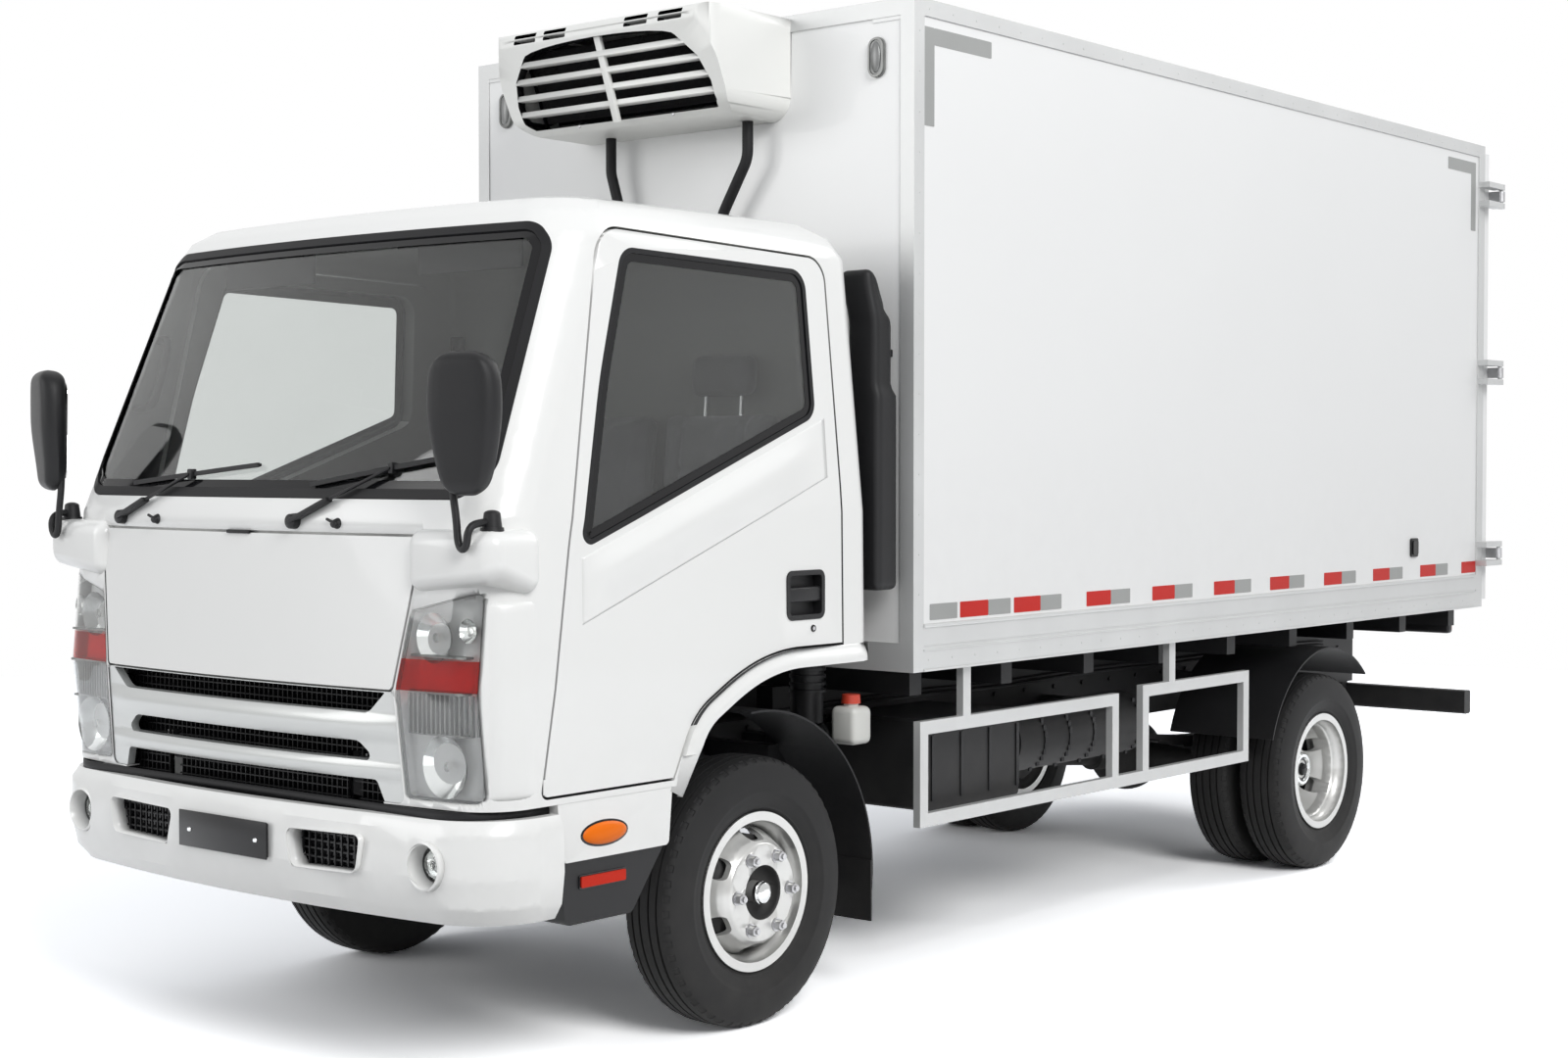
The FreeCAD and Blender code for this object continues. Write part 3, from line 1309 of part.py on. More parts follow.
def unit_form(inset):
    """Housing: leaning front, rounded lower nose, rounded upright corners."""
    rear = BOX_FRONT
    front = BOX_FRONT - UNIT_DEPTH
    profile = at_axle(
        [
            (rear, UNIT_BOTTOM, 0),
            (rear, UNIT_TOP, 0),
            (front, UNIT_TOP, 26),
            (front - 8, UNIT_TOP - 42, 20),
            (front + 98, UNIT_BOTTOM + 34, 60),
            (front + 170, UNIT_BOTTOM, 50),
        ]
    )
    if inset:
        wire = rounded_wire(profile, lambda p: V(-UNIT_HALF_W + inset, p.x, p.y)).makeOffset2D(-inset, 0, False, False)
        body = Part.Face(wire).extrude(V(2 * (UNIT_HALF_W - inset), 0, 0))
    else:
        body = slab_x(profile, (-UNIT_HALF_W, UNIT_HALF_W))
    half = UNIT_HALF_W - inset
    plan = slab_z(
        [
            (half, fa(rear) + 60, 0),
            (-half, fa(rear) + 60, 0),
            (-half, fa(front) - 12 + inset, 85),
            (half, fa(front) - 12 + inset, 85),
        ],
        (UNIT_BOTTOM - 20, UNIT_TOP + 20),
    )
    low = UNIT_BOTTOM + inset
    face = slab_y(
        [(half, UNIT_TOP + 50, 0), (-half, UNIT_TOP + 50, 0), (-half + 6, low, 70), (half - 6, low, 70)],
        (fa(front) - 60, fa(rear) + 60),
    )
    return body.common(plan).common(face)


def reefer_housing():
    housing = unit_form(0).cut(unit_form(28))
    pitch = (LOUVRE_TOP - LOUVRE_LOW) / SLOT_ROWS
    front = fa(BOX_FRONT - UNIT_DEPTH)
    low, high = LOUVRE_LOW - 10, LOUVRE_TOP + 18
    window = slab_y([(-385, low, 60), (385, low, 60), (300, high, 60), (-300, high, 60)], (front - 50, front + 220))
    for row in range(SLOT_ROWS):
        z = LOUVRE_LOW + row * pitch
        for xs in ((-400, -14), (14, 400)):
            slot = box(xs, (front - 50, front + 200), (z + 9, z + pitch - 9))
            housing = housing.cut(slot.common(window))
    for x in (-345, -215, 130, 270):
        for z in (UNIT_TOP - 34, UNIT_TOP - 20):
            housing = housing.cut(box((x, x + 90), (front - 50, front + 60), (z, z + 8)))
    edge = box((-500, 500), (fa(BOX_FRONT - BOX_TRIM), fa(BOX_FRONT) + 1), (BOX_TOP - EDGE_W, BOX_TOP + 50))
    return housing.cut(edge)


def reefer_condenser():
    front = BOX_FRONT - UNIT_DEPTH
    low, high = LOUVRE_LOW + 6, LOUVRE_TOP + 18
    coil = slab_x(
        at_axle([(front + 64, high, 0), (front + 155, low, 0), (front + 215, low, 0), (front + 124, high, 0)]),
        (-370, 370),
    )
    mount_ys = (fa(front) + 190, fa(BOX_FRONT) - 28)
    feet = [box((x, x + 40), mount_ys, (low - 1, low + 34)) for x in (-300, 260)]
    return joined([coil] + feet)


def reefer_evaporator():
    """Evaporator under the roof inside the box, against the front wall."""
    rear = BOX_FRONT + BOX_WALL
    top = BOX_TOP - BOX_WALL
    profile = at_axle([(rear, top - 210, 20), (rear + 120, top - 210, 20), (rear + 430, top - 60, 20), (rear + 430, top, 0), (rear, top, 0)])
    case = slab_x(profile, (-520, 520))
    for x in (-350, -115, 115, 350):
        fan = rod(V(x, fa(rear) + 250, top - 170), V(x, fa(rear) + 460, top - 130), 55)
        case = case.cut(fan)
    return case


HOSE_R = 17.0


def reefer_hoses():
    hoses = []
    for x, shift in ((-235, 45), (345, -115)):
        points = [
            V(x, fa(520), UNIT_BOTTOM),
            V(x, fa(520), UNIT_BOTTOM - 112),
            V(x + shift, fa(530), UNIT_BOTTOM - 282),
            V(x + shift, fa(530), 900),
            V(x + shift, fa(430), 900),
        ]
        hoses.append(bent_tube(points, 90, HOSE_R))
    return Part.makeCompound(hoses)


# ---------------------------------------------------------------- export
def save(name, shape):
    shape.exportStep(os.path.join("parts", name + ".step"))
    print("%-22s %2d solids  %8.2f litres  valid %s" % (name, len(shape.Solids), shape.Volume / 1e6, shape.isValid()))


def main():
    os.makedirs("parts", exist_ok=True)
    plain = {
        "chassis_frame": chassis_frame,
        "front_axle": front_axle,
        "rear_axle": rear_axle,
        "leaf_springs": leaf_springs,
        "engine": engine,
        "fuel_tank": fuel_tank,
        "battery_box": battery_box,
        "exhaust": exhaust,
        "side_guards": side_guards,
        "front_mudguards": front_mudguards,
        "rear_mudguards": rear_mudguards,
        "front_bumper": front_bumper,
        "rear_underrun": rear_underrun,
        "chassis_lamps": chassis_lamps,
        "intake_snorkel": intake_snorkel,
        "box_runners": box_runners,
        "box_bearers": box_bearers,
        "box_floor": box_floor,
        "box_front_wall": box_front_wall,
        "box_side_walls": box_side_walls,
        "box_roof": box_roof,
        "box_frame": box_frame,
        "reefer_housing": reefer_housing,
        "reefer_condenser": reefer_condenser,
        "reefer_evaporator": reefer_evaporator,
        "reefer_hoses": reefer_hoses,
        "cab_shell": cab_shell,
        "cab_glass": cab_glass,
        "cab_grille": grille,
        "mirrors": mirrors,
        "wipers": wipers,
        "seats": seats,
        "dashboard": dashboard,
        "steering_wheel": steering_wheel,
        "step_panels": step_panels,
        "step_treads": step_treads,
        "front_lid": front_lid,
        "tie_rod": tie_rod,
    }
    for name, build in plain.items():
        save(name, build())
    save("headlamps", Part.makeCompound([headlamp(1), headlamp(-1)]))
    for name, side in (("left", 1), ("right", -1)):
        save("cab_door_" + name, cab_door(side))
        save("door_glass_" + name, door_glass(side))
        save("cargo_door_" + name, cargo_door(side))
        save("door_gear_" + name, door_gear(side))
        save("knuckle_" + name, knuckle(side))
        save("front_%s_tyre" % name, tyre(front_wheel_x(side), FRONT_AXLE_Y))
        save("front_%s_rim" % name, front_rim(side))
        outer = tyre(side * REAR_OUTER_X, REAR_AXLE_Y)
        inner = tyre(side * (REAR_OUTER_X - TWIN_SPACING), REAR_AXLE_Y)
        save("rear_%s_tyres" % name, Part.makeCompound([outer, inner]))
        save("rear_%s_rims" % name, rear_rims(side))


main()
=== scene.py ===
import json
import math

import bmesh
import bpy
from mathutils import Matrix, Vector
from mathutils.bvhtree import BVHTree


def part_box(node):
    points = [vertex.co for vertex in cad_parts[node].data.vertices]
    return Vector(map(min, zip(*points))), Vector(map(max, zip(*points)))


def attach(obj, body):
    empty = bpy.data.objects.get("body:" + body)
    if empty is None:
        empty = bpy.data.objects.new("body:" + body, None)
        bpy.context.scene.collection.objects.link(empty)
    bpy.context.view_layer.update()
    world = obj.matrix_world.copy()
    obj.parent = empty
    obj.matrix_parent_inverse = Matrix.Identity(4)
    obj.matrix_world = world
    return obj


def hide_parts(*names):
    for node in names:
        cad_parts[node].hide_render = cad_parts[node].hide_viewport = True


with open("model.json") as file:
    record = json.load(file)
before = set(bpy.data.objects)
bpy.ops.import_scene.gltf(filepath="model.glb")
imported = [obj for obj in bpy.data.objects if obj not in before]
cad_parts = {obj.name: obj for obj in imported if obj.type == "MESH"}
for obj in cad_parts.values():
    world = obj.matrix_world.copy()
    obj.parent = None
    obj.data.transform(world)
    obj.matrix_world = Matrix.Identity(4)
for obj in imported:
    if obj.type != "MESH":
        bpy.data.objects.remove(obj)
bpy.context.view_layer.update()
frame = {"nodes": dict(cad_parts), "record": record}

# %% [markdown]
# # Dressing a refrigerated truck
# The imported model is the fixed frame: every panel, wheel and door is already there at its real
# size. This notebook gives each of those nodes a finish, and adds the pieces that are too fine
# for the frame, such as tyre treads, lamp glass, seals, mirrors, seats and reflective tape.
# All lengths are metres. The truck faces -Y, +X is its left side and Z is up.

X, Y, Z = Vector((1, 0, 0)), Vector((0, 1, 0)), Vector((0, 0, 1))
nodes = frame["nodes"]
body_of = {node: body for body, members in frame["record"]["behaviour"]["bodies"].items()
           for node in members}

# %% [markdown]
# ## Places worked out from the frame
# Lengths along the truck are easiest to read from the front axle, as on a chassis drawing.
# So `back(y)` turns a distance behind the front axle into the frame's own Y. The axle itself
# is the middle of the front tyre's box.

# %% Axles and wheels
tyre_low, tyre_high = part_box("front_left_tyre")
FRONT_AXLE = (tyre_low.y + tyre_high.y) / 2
TYRE_R = (tyre_high.z - tyre_low.z) / 2
TYRE_W = tyre_high.x - tyre_low.x
rear_low, rear_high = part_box("rear_left_tyres")
REAR_AXLE = (rear_low.y + rear_high.y) / 2
SIDES = (("left", 1), ("right", -1))


def back(y):
    return FRONT_AXLE + y


print("front axle y %.3f, tyre %.3f across" % (FRONT_AXLE, 2 * TYRE_R))
print("wheelbase %.3f" % (REAR_AXLE - FRONT_AXLE))

# %% [markdown]
# ## A finish is a small shader
# Real paint, plastic and metal are never one flat colour. Each finish below starts from the
# same recipe: a Principled shader whose colour and roughness wander a little with a soft
# noise, and whose surface has a very small bump. The pattern reads Object coordinates, so it
# stays on the piece in every pose. Numbers that are the same all over are set straight on the
# shader's own sockets.


# %% The recipe every finish starts from
def pattern(tree, kind, scale, place=None):
    """Texture of one kind on the piece's own coordinates."""
    texture = tree.nodes.new("ShaderNodeTex" + kind)
    texture.inputs["Scale"].default_value = scale
    if place is None:
        place = tree.nodes.new("ShaderNodeTexCoord").outputs["Object"]
    tree.links.new(place, texture.inputs["Vector"])
    return texture


def finish(name, colour, rough, metal=0.0, coat=0.0, wander=0.03, wander_scale=3.0, bump=0.02,
           bump_scale=400.0, gloss=0.15,
           shine_level=0.5):
    material = bpy.data.materials.new(name)
    material.use_nodes = True
    tree = material.node_tree
    shader = tree.nodes["Principled BSDF"]
    shader.inputs["Metallic"].default_value = metal
    shader.inputs["Coat Weight"].default_value = coat
    shader.inputs["Coat Roughness"].default_value = 0.06
    shader.inputs["Specular IOR Level"].default_value = shine_level
    soft = pattern(tree, "Noise", wander_scale)
    soft.inputs["Detail"].default_value = 5.0
    tint = tree.nodes.new("ShaderNodeValToRGB")
    tint.name = "tint"
    tint.color_ramp.elements[0].position = 0.3
    tint.color_ramp.elements[1].position = 0.7
    tint.color_ramp.elements[0].color = [c * (1 - wander) for c in colour] + [1]
    tint.color_ramp.elements[1].color = [min(1, c * (1 + wander)) for c in colour] + [1]
    tree.links.new(soft.outputs["Fac"], tint.inputs["Fac"])
    tree.links.new(tint.outputs["Color"], shader.inputs["Base Color"])
    shine = tree.nodes.new("ShaderNodeMapRange")
    shine.inputs["To Min"].default_value = rough * (1 - gloss)
    shine.inputs["To Max"].default_value = min(1, rough * (1 + gloss))
    tree.links.new(soft.outputs["Fac"], shine.inputs["Value"])
    tree.links.new(shine.outputs["Result"], shader.inputs["Roughness"])
    grain = pattern(tree, "Noise", bump_scale)
    relief = tree.nodes.new("ShaderNodeBump")
    relief.name = "relief"
    relief.inputs["Strength"].default_value = bump
    relief.inputs["Distance"].default_value = 0.001
    tree.links.new(grain.outputs["Fac"], relief.inputs["Height"])
    tree.links.new(relief.outputs["Normal"], shader.inputs["Normal"])
    return material


def parts_of(material):
    tree = material.node_tree
    return tree, tree.nodes["Principled BSDF"], tree.nodes["tint"], tree.nodes["relief"]


def math_node(tree, operation, a, b=None, clamp=False):
    node = tree.nodes.new("ShaderNodeMath")
    node.operation = operation
    node.use_clamp = clamp
    for socket, value in zip(node.inputs, (a, b)):
        if value is None:
            continue
        if isinstance(value, (int, float)):
            socket.default_value = value
        else:
            tree.links.new(value, socket)
    return node.outputs[0]


def mixed(tree, share, first, second):
    mix = tree.nodes.new("ShaderNodeMix")
    mix.data_type = "RGBA"
    tree.links.new(share, mix.inputs["Factor"])
    for socket, value in (("A", first), ("B", second)):
        target = [i for i in mix.inputs if i.name == socket and i.type == "RGBA"][0]
        if isinstance(value, tuple):
            target.default_value = value + (1,)
        else:
            tree.links.new(value, target)
    return [o for o in mix.outputs if o.type == "RGBA"][0]


# %% [markdown]
# ## Road dust
# A working truck is cleanest at the top. A thin veil of grey dust lies on the lowest half
# metre and thins out upwards. It is mixed into a finish by height, broken up with noise.


# %% Dust that fades with height
DUST, SPECK_SCALE = (0.33, 0.31, 0.28), 14.0


def by_height(tree, low, high, at_low, at_high):
    """Share that runs from one value to another between two heights."""
    split = tree.nodes.new("ShaderNodeSeparateXYZ")
    tree.links.new(tree.nodes.new("ShaderNodeTexCoord").outputs["Object"], split.inputs["Vector"])
    fade = tree.nodes.new("ShaderNodeMapRange")
    for socket, value in (("From Min", low), ("From Max", high), ("To Min", at_low), ("To Max", at_high)):
        fade.inputs[socket].default_value = value
    tree.links.new(split.outputs["Z"], fade.inputs["Value"])
    return fade.outputs["Result"]


def add_dust(material, low, high, amount):
    tree, shader, tint, _ = parts_of(material)
    speck = pattern(tree, "Noise", SPECK_SCALE)
    speck.inputs["Detail"].default_value = 8.0
    share = math_node(tree, "MULTIPLY", by_height(tree, low, high, amount, 0.0), speck.outputs["Fac"],
                      clamp=True)
    tree.links.new(mixed(tree, share, tint.outputs["Color"], DUST), shader.inputs["Base Color"])


# %% [markdown]
# ## The paints
# The cab is sprayed steel under a clear coat: glossy, with a faint orange peel. The box is a
# white gel coat over foam panels, duller and slightly wavy over long distances. The chassis
# gets a thick semi-matt black. The wheels are silver.

# %% Paints and gel coat
cab_white = finish("cab_white", (0.86, 0.86, 0.84), 0.30, coat=0.35, wander=0.005, bump=0.02,
                   bump_scale=900, gloss=0.03)
add_dust(cab_white, 0.35, 1.0, 0.16)
box_white = finish(
    "box_white", (0.87, 0.87, 0.86), 0.36, coat=0.2, wander=0.006, wander_scale=1.2, bump=0.05,
    bump_scale=9, gloss=0.05)
add_dust(box_white, 0.9, 1.7, 0.12)
unit_white = finish("unit_white", (0.85, 0.85, 0.82), 0.38, wander=0.008, bump=0.06, bump_scale=1200,
                    gloss=0.05)
frame_black = finish("frame_black", (0.014, 0.014, 0.015), 0.48, wander=0.25, bump=0.12, bump_scale=300,
                     shine_level=0.22)
add_dust(frame_black, 0.2, 0.9, 0.12)
wheel_silver = finish("wheel_silver", (0.60, 0.60, 0.585), 0.3, metal=0.55, coat=0.4, wander=0.05,
                      bump=0.06, bump_scale=700)
add_dust(wheel_silver, 0.0, 0.8, 0.3)
grille_silver = finish("grille_silver", (0.52, 0.53, 0.52), 0.32, metal=0.35, coat=0.5, wander=0.02,
                       bump=0.03, bump_scale=900)
print("paints made:", len(bpy.data.materials))

# %% [markdown]
# ## Metals
# Extruded aluminium shows fine lines along its length, so its noise is stretched with a
# Mapping node. Castings are rough and dark. Zinc-plated steel is brighter, with soft clouds.


# %% Aluminium, castings and plated steel
LINE_SCALE = 600.0


def drawn(material, along, strength):
    """Lines along one axis, as an extrusion or a brushed sheet has."""
    tree, _, _, relief = parts_of(material)
    place = tree.nodes.new("ShaderNodeTexCoord")
    stretch = tree.nodes.new("ShaderNodeMapping")
    stretch.inputs["Scale"].default_value = [0.02 if axis == along else 1.0 for axis in "xyz"]
    tree.links.new(place.outputs["Object"], stretch.inputs["Vector"])
    lines = pattern(tree, "Noise", LINE_SCALE, stretch.outputs["Vector"])
    tree.links.new(lines.outputs["Fac"], relief.inputs["Height"])
    relief.inputs["Strength"].default_value = strength
    return material


trim_alloy = drawn(finish("trim_alloy", (0.60, 0.605, 0.60), 0.42, metal=0.4, wander=0.04), "y", 0.1)
add_dust(trim_alloy, 0.4, 1.2, 0.2)
alloy_tank = drawn(finish("alloy_tank", (0.55, 0.56, 0.57), 0.34, metal=0.9, wander=0.06), "y", 0.15)
plain_steel = finish("plain_steel", (0.46, 0.46, 0.47), 0.36, metal=0.9, wander=0.12, wander_scale=14,
                     bump=0.1)
cast_dark = finish("cast_dark", (0.032, 0.032, 0.033), 0.62, metal=0.25, wander=0.25, bump=0.4,
                   bump_scale=220, shine_level=0.3)
add_dust(cast_dark, 0.1, 0.9, 0.16)
chrome = finish("chrome", (0.60, 0.61, 0.61), 0.14, metal=1.0, wander=0.03, wander_scale=30, bump=0.0)

# %% [markdown]
# ## Plastics and rubber
# Moulded plastic has a leathery grain, which a Voronoi pattern gives better than noise.
# Rubber is almost black, with a chalky bloom where it ages. The cab's lining is dark below the
# windows and runs into a pale headliner above.


# %% Grained plastics, rubber and tyre compound
def grained(material, scale, strength):
    tree, _, _, relief = parts_of(material)
    tree.links.new(pattern(tree, "Voronoi", scale).outputs["Distance"], relief.inputs["Height"])
    relief.inputs["Strength"].default_value = strength
    return material


black_plastic = grained(finish("black_plastic", (0.012, 0.012, 0.013), 0.42, wander=0.12, shine_level=0.25),
                        700, 0.25)
gloss_black = finish("gloss_black", (0.006, 0.006, 0.007), 0.12, wander=0.1, bump=0.01, shine_level=0.3)
grey_plastic = grained(finish("grey_plastic", (0.055, 0.055, 0.057), 0.6, wander=0.08, shine_level=0.25),
                       520, 0.10)
cab_lining = grained(finish("cab_lining", (0.055, 0.055, 0.057), 0.6, wander=0.08, shine_level=0.25), 520,
                     0.08)
tree, shader, tint, _ = parts_of(cab_lining)
WINDOW_FOOT_Z, HEADLINER_Z, HEADLINER = 1.50, 2.00, (0.40, 0.40, 0.385)
paler = by_height(tree, WINDOW_FOOT_Z, HEADLINER_Z, 0.0, 1.0)
tree.links.new(mixed(tree, paler, tint.outputs["Color"], HEADLINER), shader.inputs["Base Color"])
hose_rubber = finish("hose_rubber", (0.012, 0.012, 0.013), 0.55, wander=0.2, bump=0.15, shine_level=0.22)
seal_rubber = finish("seal_rubber", (0.008, 0.008, 0.009), 0.5, wander=0.2, bump=0.1, shine_level=0.22)
tyre_black = finish("tyre_black", (0.015, 0.015, 0.0155), 0.62, wander=0.18, wander_scale=9, bump=0.25,
                    bump_scale=500, shine_level=0.2)
add_dust(tyre_black, 0.0, 0.8, 0.08)
flap_black = grained(finish("flap_black", (0.010, 0.010, 0.011), 0.5, wander=0.2, shine_level=0.22), 160,
                     0.3)
add_dust(flap_black, 0.1, 0.7, 0.10)

# %% [markdown]
# ## Glass and lenses
# Glass bends and passes light, so its shader has full transmission. The windows are lightly
# tinted. Lamp lenses are clear or red plastic, which is a little rougher.


# %% Clear and coloured glass
def see_through(name, colour, rough=0.0, bump=0.0, bump_scale=60.0):
    material = finish(name, colour, max(rough, 0.001), wander=0.01, bump=bump, bump_scale=bump_scale)
    shader = material.node_tree.nodes["Principled BSDF"]
    shader.inputs["Transmission Weight"].default_value = 1.0
    shader.inputs["IOR"].default_value = 1.45
    return material


window_glass = see_through("window_glass", (0.78, 0.80, 0.79))
lens_clear = see_through("lens_clear", (0.92, 0.93, 0.93), 0.02)
lens_red = see_through("lens_red", (0.86, 0.035, 0.018), 0.08, bump=0.3)
mirror_face = finish("mirror_face", (0.9, 0.9, 0.9), 0.02, metal=1.0, wander=0.0, bump=0.0)
tape_red = finish("tape_red", (0.56, 0.016, 0.010), 0.45, wander=0.04, bump=0.3, bump_scale=260,
                  shine_level=0.2)
tape_grey = finish("tape_grey", (0.36, 0.365, 0.355), 0.45, wander=0.04, bump=0.3, bump_scale=260,
                   shine_level=0.3)
plate_black = finish("plate_black", (0.008, 0.008, 0.009), 0.3, wander=0.1, bump=0.02, shine_level=0.3)
marker_amber = finish("marker_amber", (0.86, 0.17, 0.004), 0.3, shine_level=0.15, wander=0.05, bump=0.6,
                      bump_scale=300)
marker_red = finish("marker_red", (0.55, 0.025, 0.010), 0.35, shine_level=0.12, wander=0.05, bump=0.6,
                    bump_scale=300)
print("finishes so far:", len(bpy.data.materials))

# %% [markdown]
# ## Seat cloth
# The seats are covered in a grey woven cloth. Two crossed wave patterns make the over and
# under of the yarn, about one and a half millimetres apart, and a soft noise makes it fuzzy.

# %% Woven cloth
seat_cloth = finish("seat_cloth", (0.11, 0.11, 0.12), 0.85, wander=0.12, wander_scale=20)
YARN_SCALE = 210.0
tree, shader, _, relief = parts_of(seat_cloth)
shader.inputs["Sheen Weight"].default_value = 0.35
weaves = []
for direction in ("X", "Z"):
    wave = pattern(tree, "Wave", YARN_SCALE)
    wave.bands_direction = direction
    wave.inputs["Distortion"].default_value = 0.6
    weaves.append(wave.outputs["Fac"])
tree.links.new(math_node(tree, "MULTIPLY", *weaves), relief.inputs["Height"])
relief.inputs["Strength"].default_value = 0.6
print("seat cloth yarn every %.1f mm" % (1000 / YARN_SCALE / math.pi))

# %% [markdown]
# ## Giving the frame its finishes
# Most nodes keep their own shape and only need the right finish. A CAD node's mesh is never
# changed: its material slots are.

# %% Finish for each node that keeps its shape
node_finish = {
    cab_white: "cab_shell front_lid front_bumper step_panels cab_door_left cab_door_right",
    box_white: "box_floor box_front_wall box_side_walls box_roof cargo_door_left cargo_door_right",
    trim_alloy: "box_frame side_guards",
    unit_white: "reefer_housing reefer_evaporator",
    frame_black: "chassis_frame leaf_springs battery_box rear_underrun box_runners box_bearers",
    cast_dark: "front_axle rear_axle engine tie_rod knuckle_left knuckle_right",
    alloy_tank: "fuel_tank",
    plain_steel: "exhaust door_gear_left door_gear_right",
    black_plastic: "intake_snorkel step_treads steering_wheel mirrors wipers reefer_condenser",
    flap_black: "front_mudguards rear_mudguards",
    grey_plastic: "dashboard",
    hose_rubber: "reefer_hoses",
    grille_silver: "cab_grille",
    wheel_silver: "front_left_rim front_right_rim rear_left_rims rear_right_rims",
    tyre_black: "front_left_tyre front_right_tyre rear_left_tyres rear_right_tyres",
    window_glass: "cab_glass door_glass_left door_glass_right",
    seat_cloth: "seats",
    lens_clear: "headlamps chassis_lamps",
}
dressed = 0
for material, names in node_finish.items():
    for name in names.split():
        nodes[name].data.materials.clear()
        nodes[name].data.materials.append(material)
        dressed += 1
print("nodes dressed: %d of %d" % (dressed, len(nodes)))
assert dressed == len(nodes)

# %% [markdown]
# ## Making pieces
# A new piece is built as a bmesh and handed to `piece`, which gives it its finish and its body
# to ride on. `block`, `tube`, `between` and `spun` are the starting shapes used most: a box with
# rounded edges, a round bar, a flat bar between two points, and a section turned once round an axis.


# %% Helpers for new pieces
def linked(name, data):
    """New object in the scene."""
    made = bpy.data.objects.new(name, data)
    bpy.context.scene.collection.objects.link(made)
    return made


def mesh_from(name, bm, *materials):
    mesh = bpy.data.meshes.new(name)
    bm.to_mesh(mesh)
    bm.free()
    for material in materials:
        mesh.materials.append(material)
    return mesh


def shown_smooth(mesh, fold):
    """Smooth shading, with an edge kept sharp where it folds by more than this many degrees."""
    mesh.shade_smooth()
    mesh.set_sharp_from_angle(angle=math.radians(fold))


def softened(made, width, segments, fold=30, label="soften"):
    """Bevel on the edges that fold by more than this many degrees."""
    bevel = made.modifiers.new(label, "BEVEL")
    bevel.width = width
    bevel.segments = segments
    bevel.limit_method = "ANGLE"
    bevel.angle_limit = math.radians(fold)


def walled(made, thickness, offset=-1.0):
    """Give a piece made of single faces a wall; an offset of -1 lays it all on the inside."""
    wall = made.modifiers.new("wall", "SOLIDIFY")
    wall.thickness = thickness
    wall.offset = offset


def piece(name, bm, material, body, smooth=True, edge=None):
    bmesh.ops.recalc_face_normals(bm, faces=bm.faces)
    mesh = mesh_from(name, bm, *(material if isinstance(material, list) else [material]))
    if smooth:
        shown_smooth(mesh, 35)
    made = linked(name, mesh)
    if edge:
        softened(made, edge, 2, label="edge")
    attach(made, body)
    return made


def rounded(bm, edges, width, segments=3):
    if width > 0:
        bmesh.ops.bevel(bm, geom=edges, offset=width, segments=segments, profile=0.5, affect="EDGES",
                        material=-1)


def block(bm, low, high, radius=0.0, segments=2, material=0):
    """Box between two corners, with its edges rounded."""
    low, high = Vector(low), Vector(high)
    made = bmesh.ops.create_cube(bm, size=1.0)["verts"]
    faces = set(f for v in made for f in v.link_faces)
    for f in faces:
        f.material_index = material
    bmesh.ops.scale(bm, verts=made, vec=high - low)
    bmesh.ops.translate(bm, verts=made, vec=(low + high) / 2)
    rounded(bm, list(set(e for f in faces for e in f.edges)), radius, segments)
    return made


def laid(start, end):
    """Place for a shape that stands along Z: its middle between two points, its Z along them."""
    turn = (end - start).to_track_quat("Z", "Y").to_matrix().to_4x4()
    return Matrix.Translation((start + end) / 2) @ turn


def painted(verts, material):
    for v in verts:
        for f in v.link_faces:
            f.material_index = material


def tube(bm, start, end, radius, end_radius=None, segments=20, material=0):
    """Round bar or cone between two points."""
    start, end = Vector(start), Vector(end)
    made = bmesh.ops.create_cone(
        bm, cap_ends=True, segments=segments, radius1=radius,
        radius2=radius if end_radius is None else end_radius,
        depth=(end - start).length, matrix=laid(start, end))["verts"]
    painted(made, material)
    return made


def between(bm, start, end, width, height, radius=0.0, material=0):
    """Flat bar between two points, width across and height along the bar's own up."""
    start, end = Vector(start), Vector(end)
    made = bmesh.ops.create_cube(bm, size=1.0)["verts"]
    painted(made, material)
    edges = list(set(e for v in made for e in v.link_edges))
    bmesh.ops.scale(bm, verts=made, vec=(width, height, (end - start).length))
    bmesh.ops.transform(bm, verts=made, matrix=laid(start, end))
    rounded(bm, edges, radius, 2)


def side_block(bm, side, xs, ys, zs, radius=0.0, segments=2, material=0):
    """Block on one side of the truck: x from its middle, y behind the front axle."""
    low_x, high_x = sorted((side * xs[0], side * xs[1]))
    block(bm, (low_x, back(ys[0]), zs[0]), (high_x, back(ys[1]), zs[1]), radius, segments, material)


def moved_part(grown):
    """The points of what an extrusion made."""
    return [g for g in grown if isinstance(g, bmesh.types.BMVert)]


def spun(bm, section, centre, axis, steps, material=0):
    """Turn a chain of (place along the axis, radius) points once round it."""
    verts = [bm.verts.new(centre + axis * along + Z * radius) for along, radius in section]
    edges = [bm.edges.new(pair) for pair in zip(verts, verts[1:])]
    before = set(bm.faces)
    bmesh.ops.spin(
        bm, geom=verts + edges, cent=centre, axis=axis, angle=2 * math.pi, steps=steps, use_merge=True,
        use_duplicate=False)
    made = [f for f in bm.faces if f not in before]
    for f in made:
        f.material_index = material
    return made


# %% [markdown]
# ## Reading the frame's surfaces
# Seals, borders and lamp glass must lie exactly on curved panels. Rather than guess those
# curves, a copy of the node's mesh is merged into a clean bmesh, and only the faces that look
# outwards are kept. `surface_y` finds the skin at a place by casting a ray from ahead.


# %% Copies of the frame's surfaces
def clean_copy(node, keep):
    """Merged copy of a node's mesh with only the faces that keep() accepts."""
    bm = bmesh.new()
    bm.from_mesh(nodes[node].data)
    bmesh.ops.remove_doubles(bm, verts=bm.verts, dist=1e-5)
    bmesh.ops.delete(bm, geom=[f for f in bm.faces if not keep(f)], context="FACES")
    return bm


skins = {}


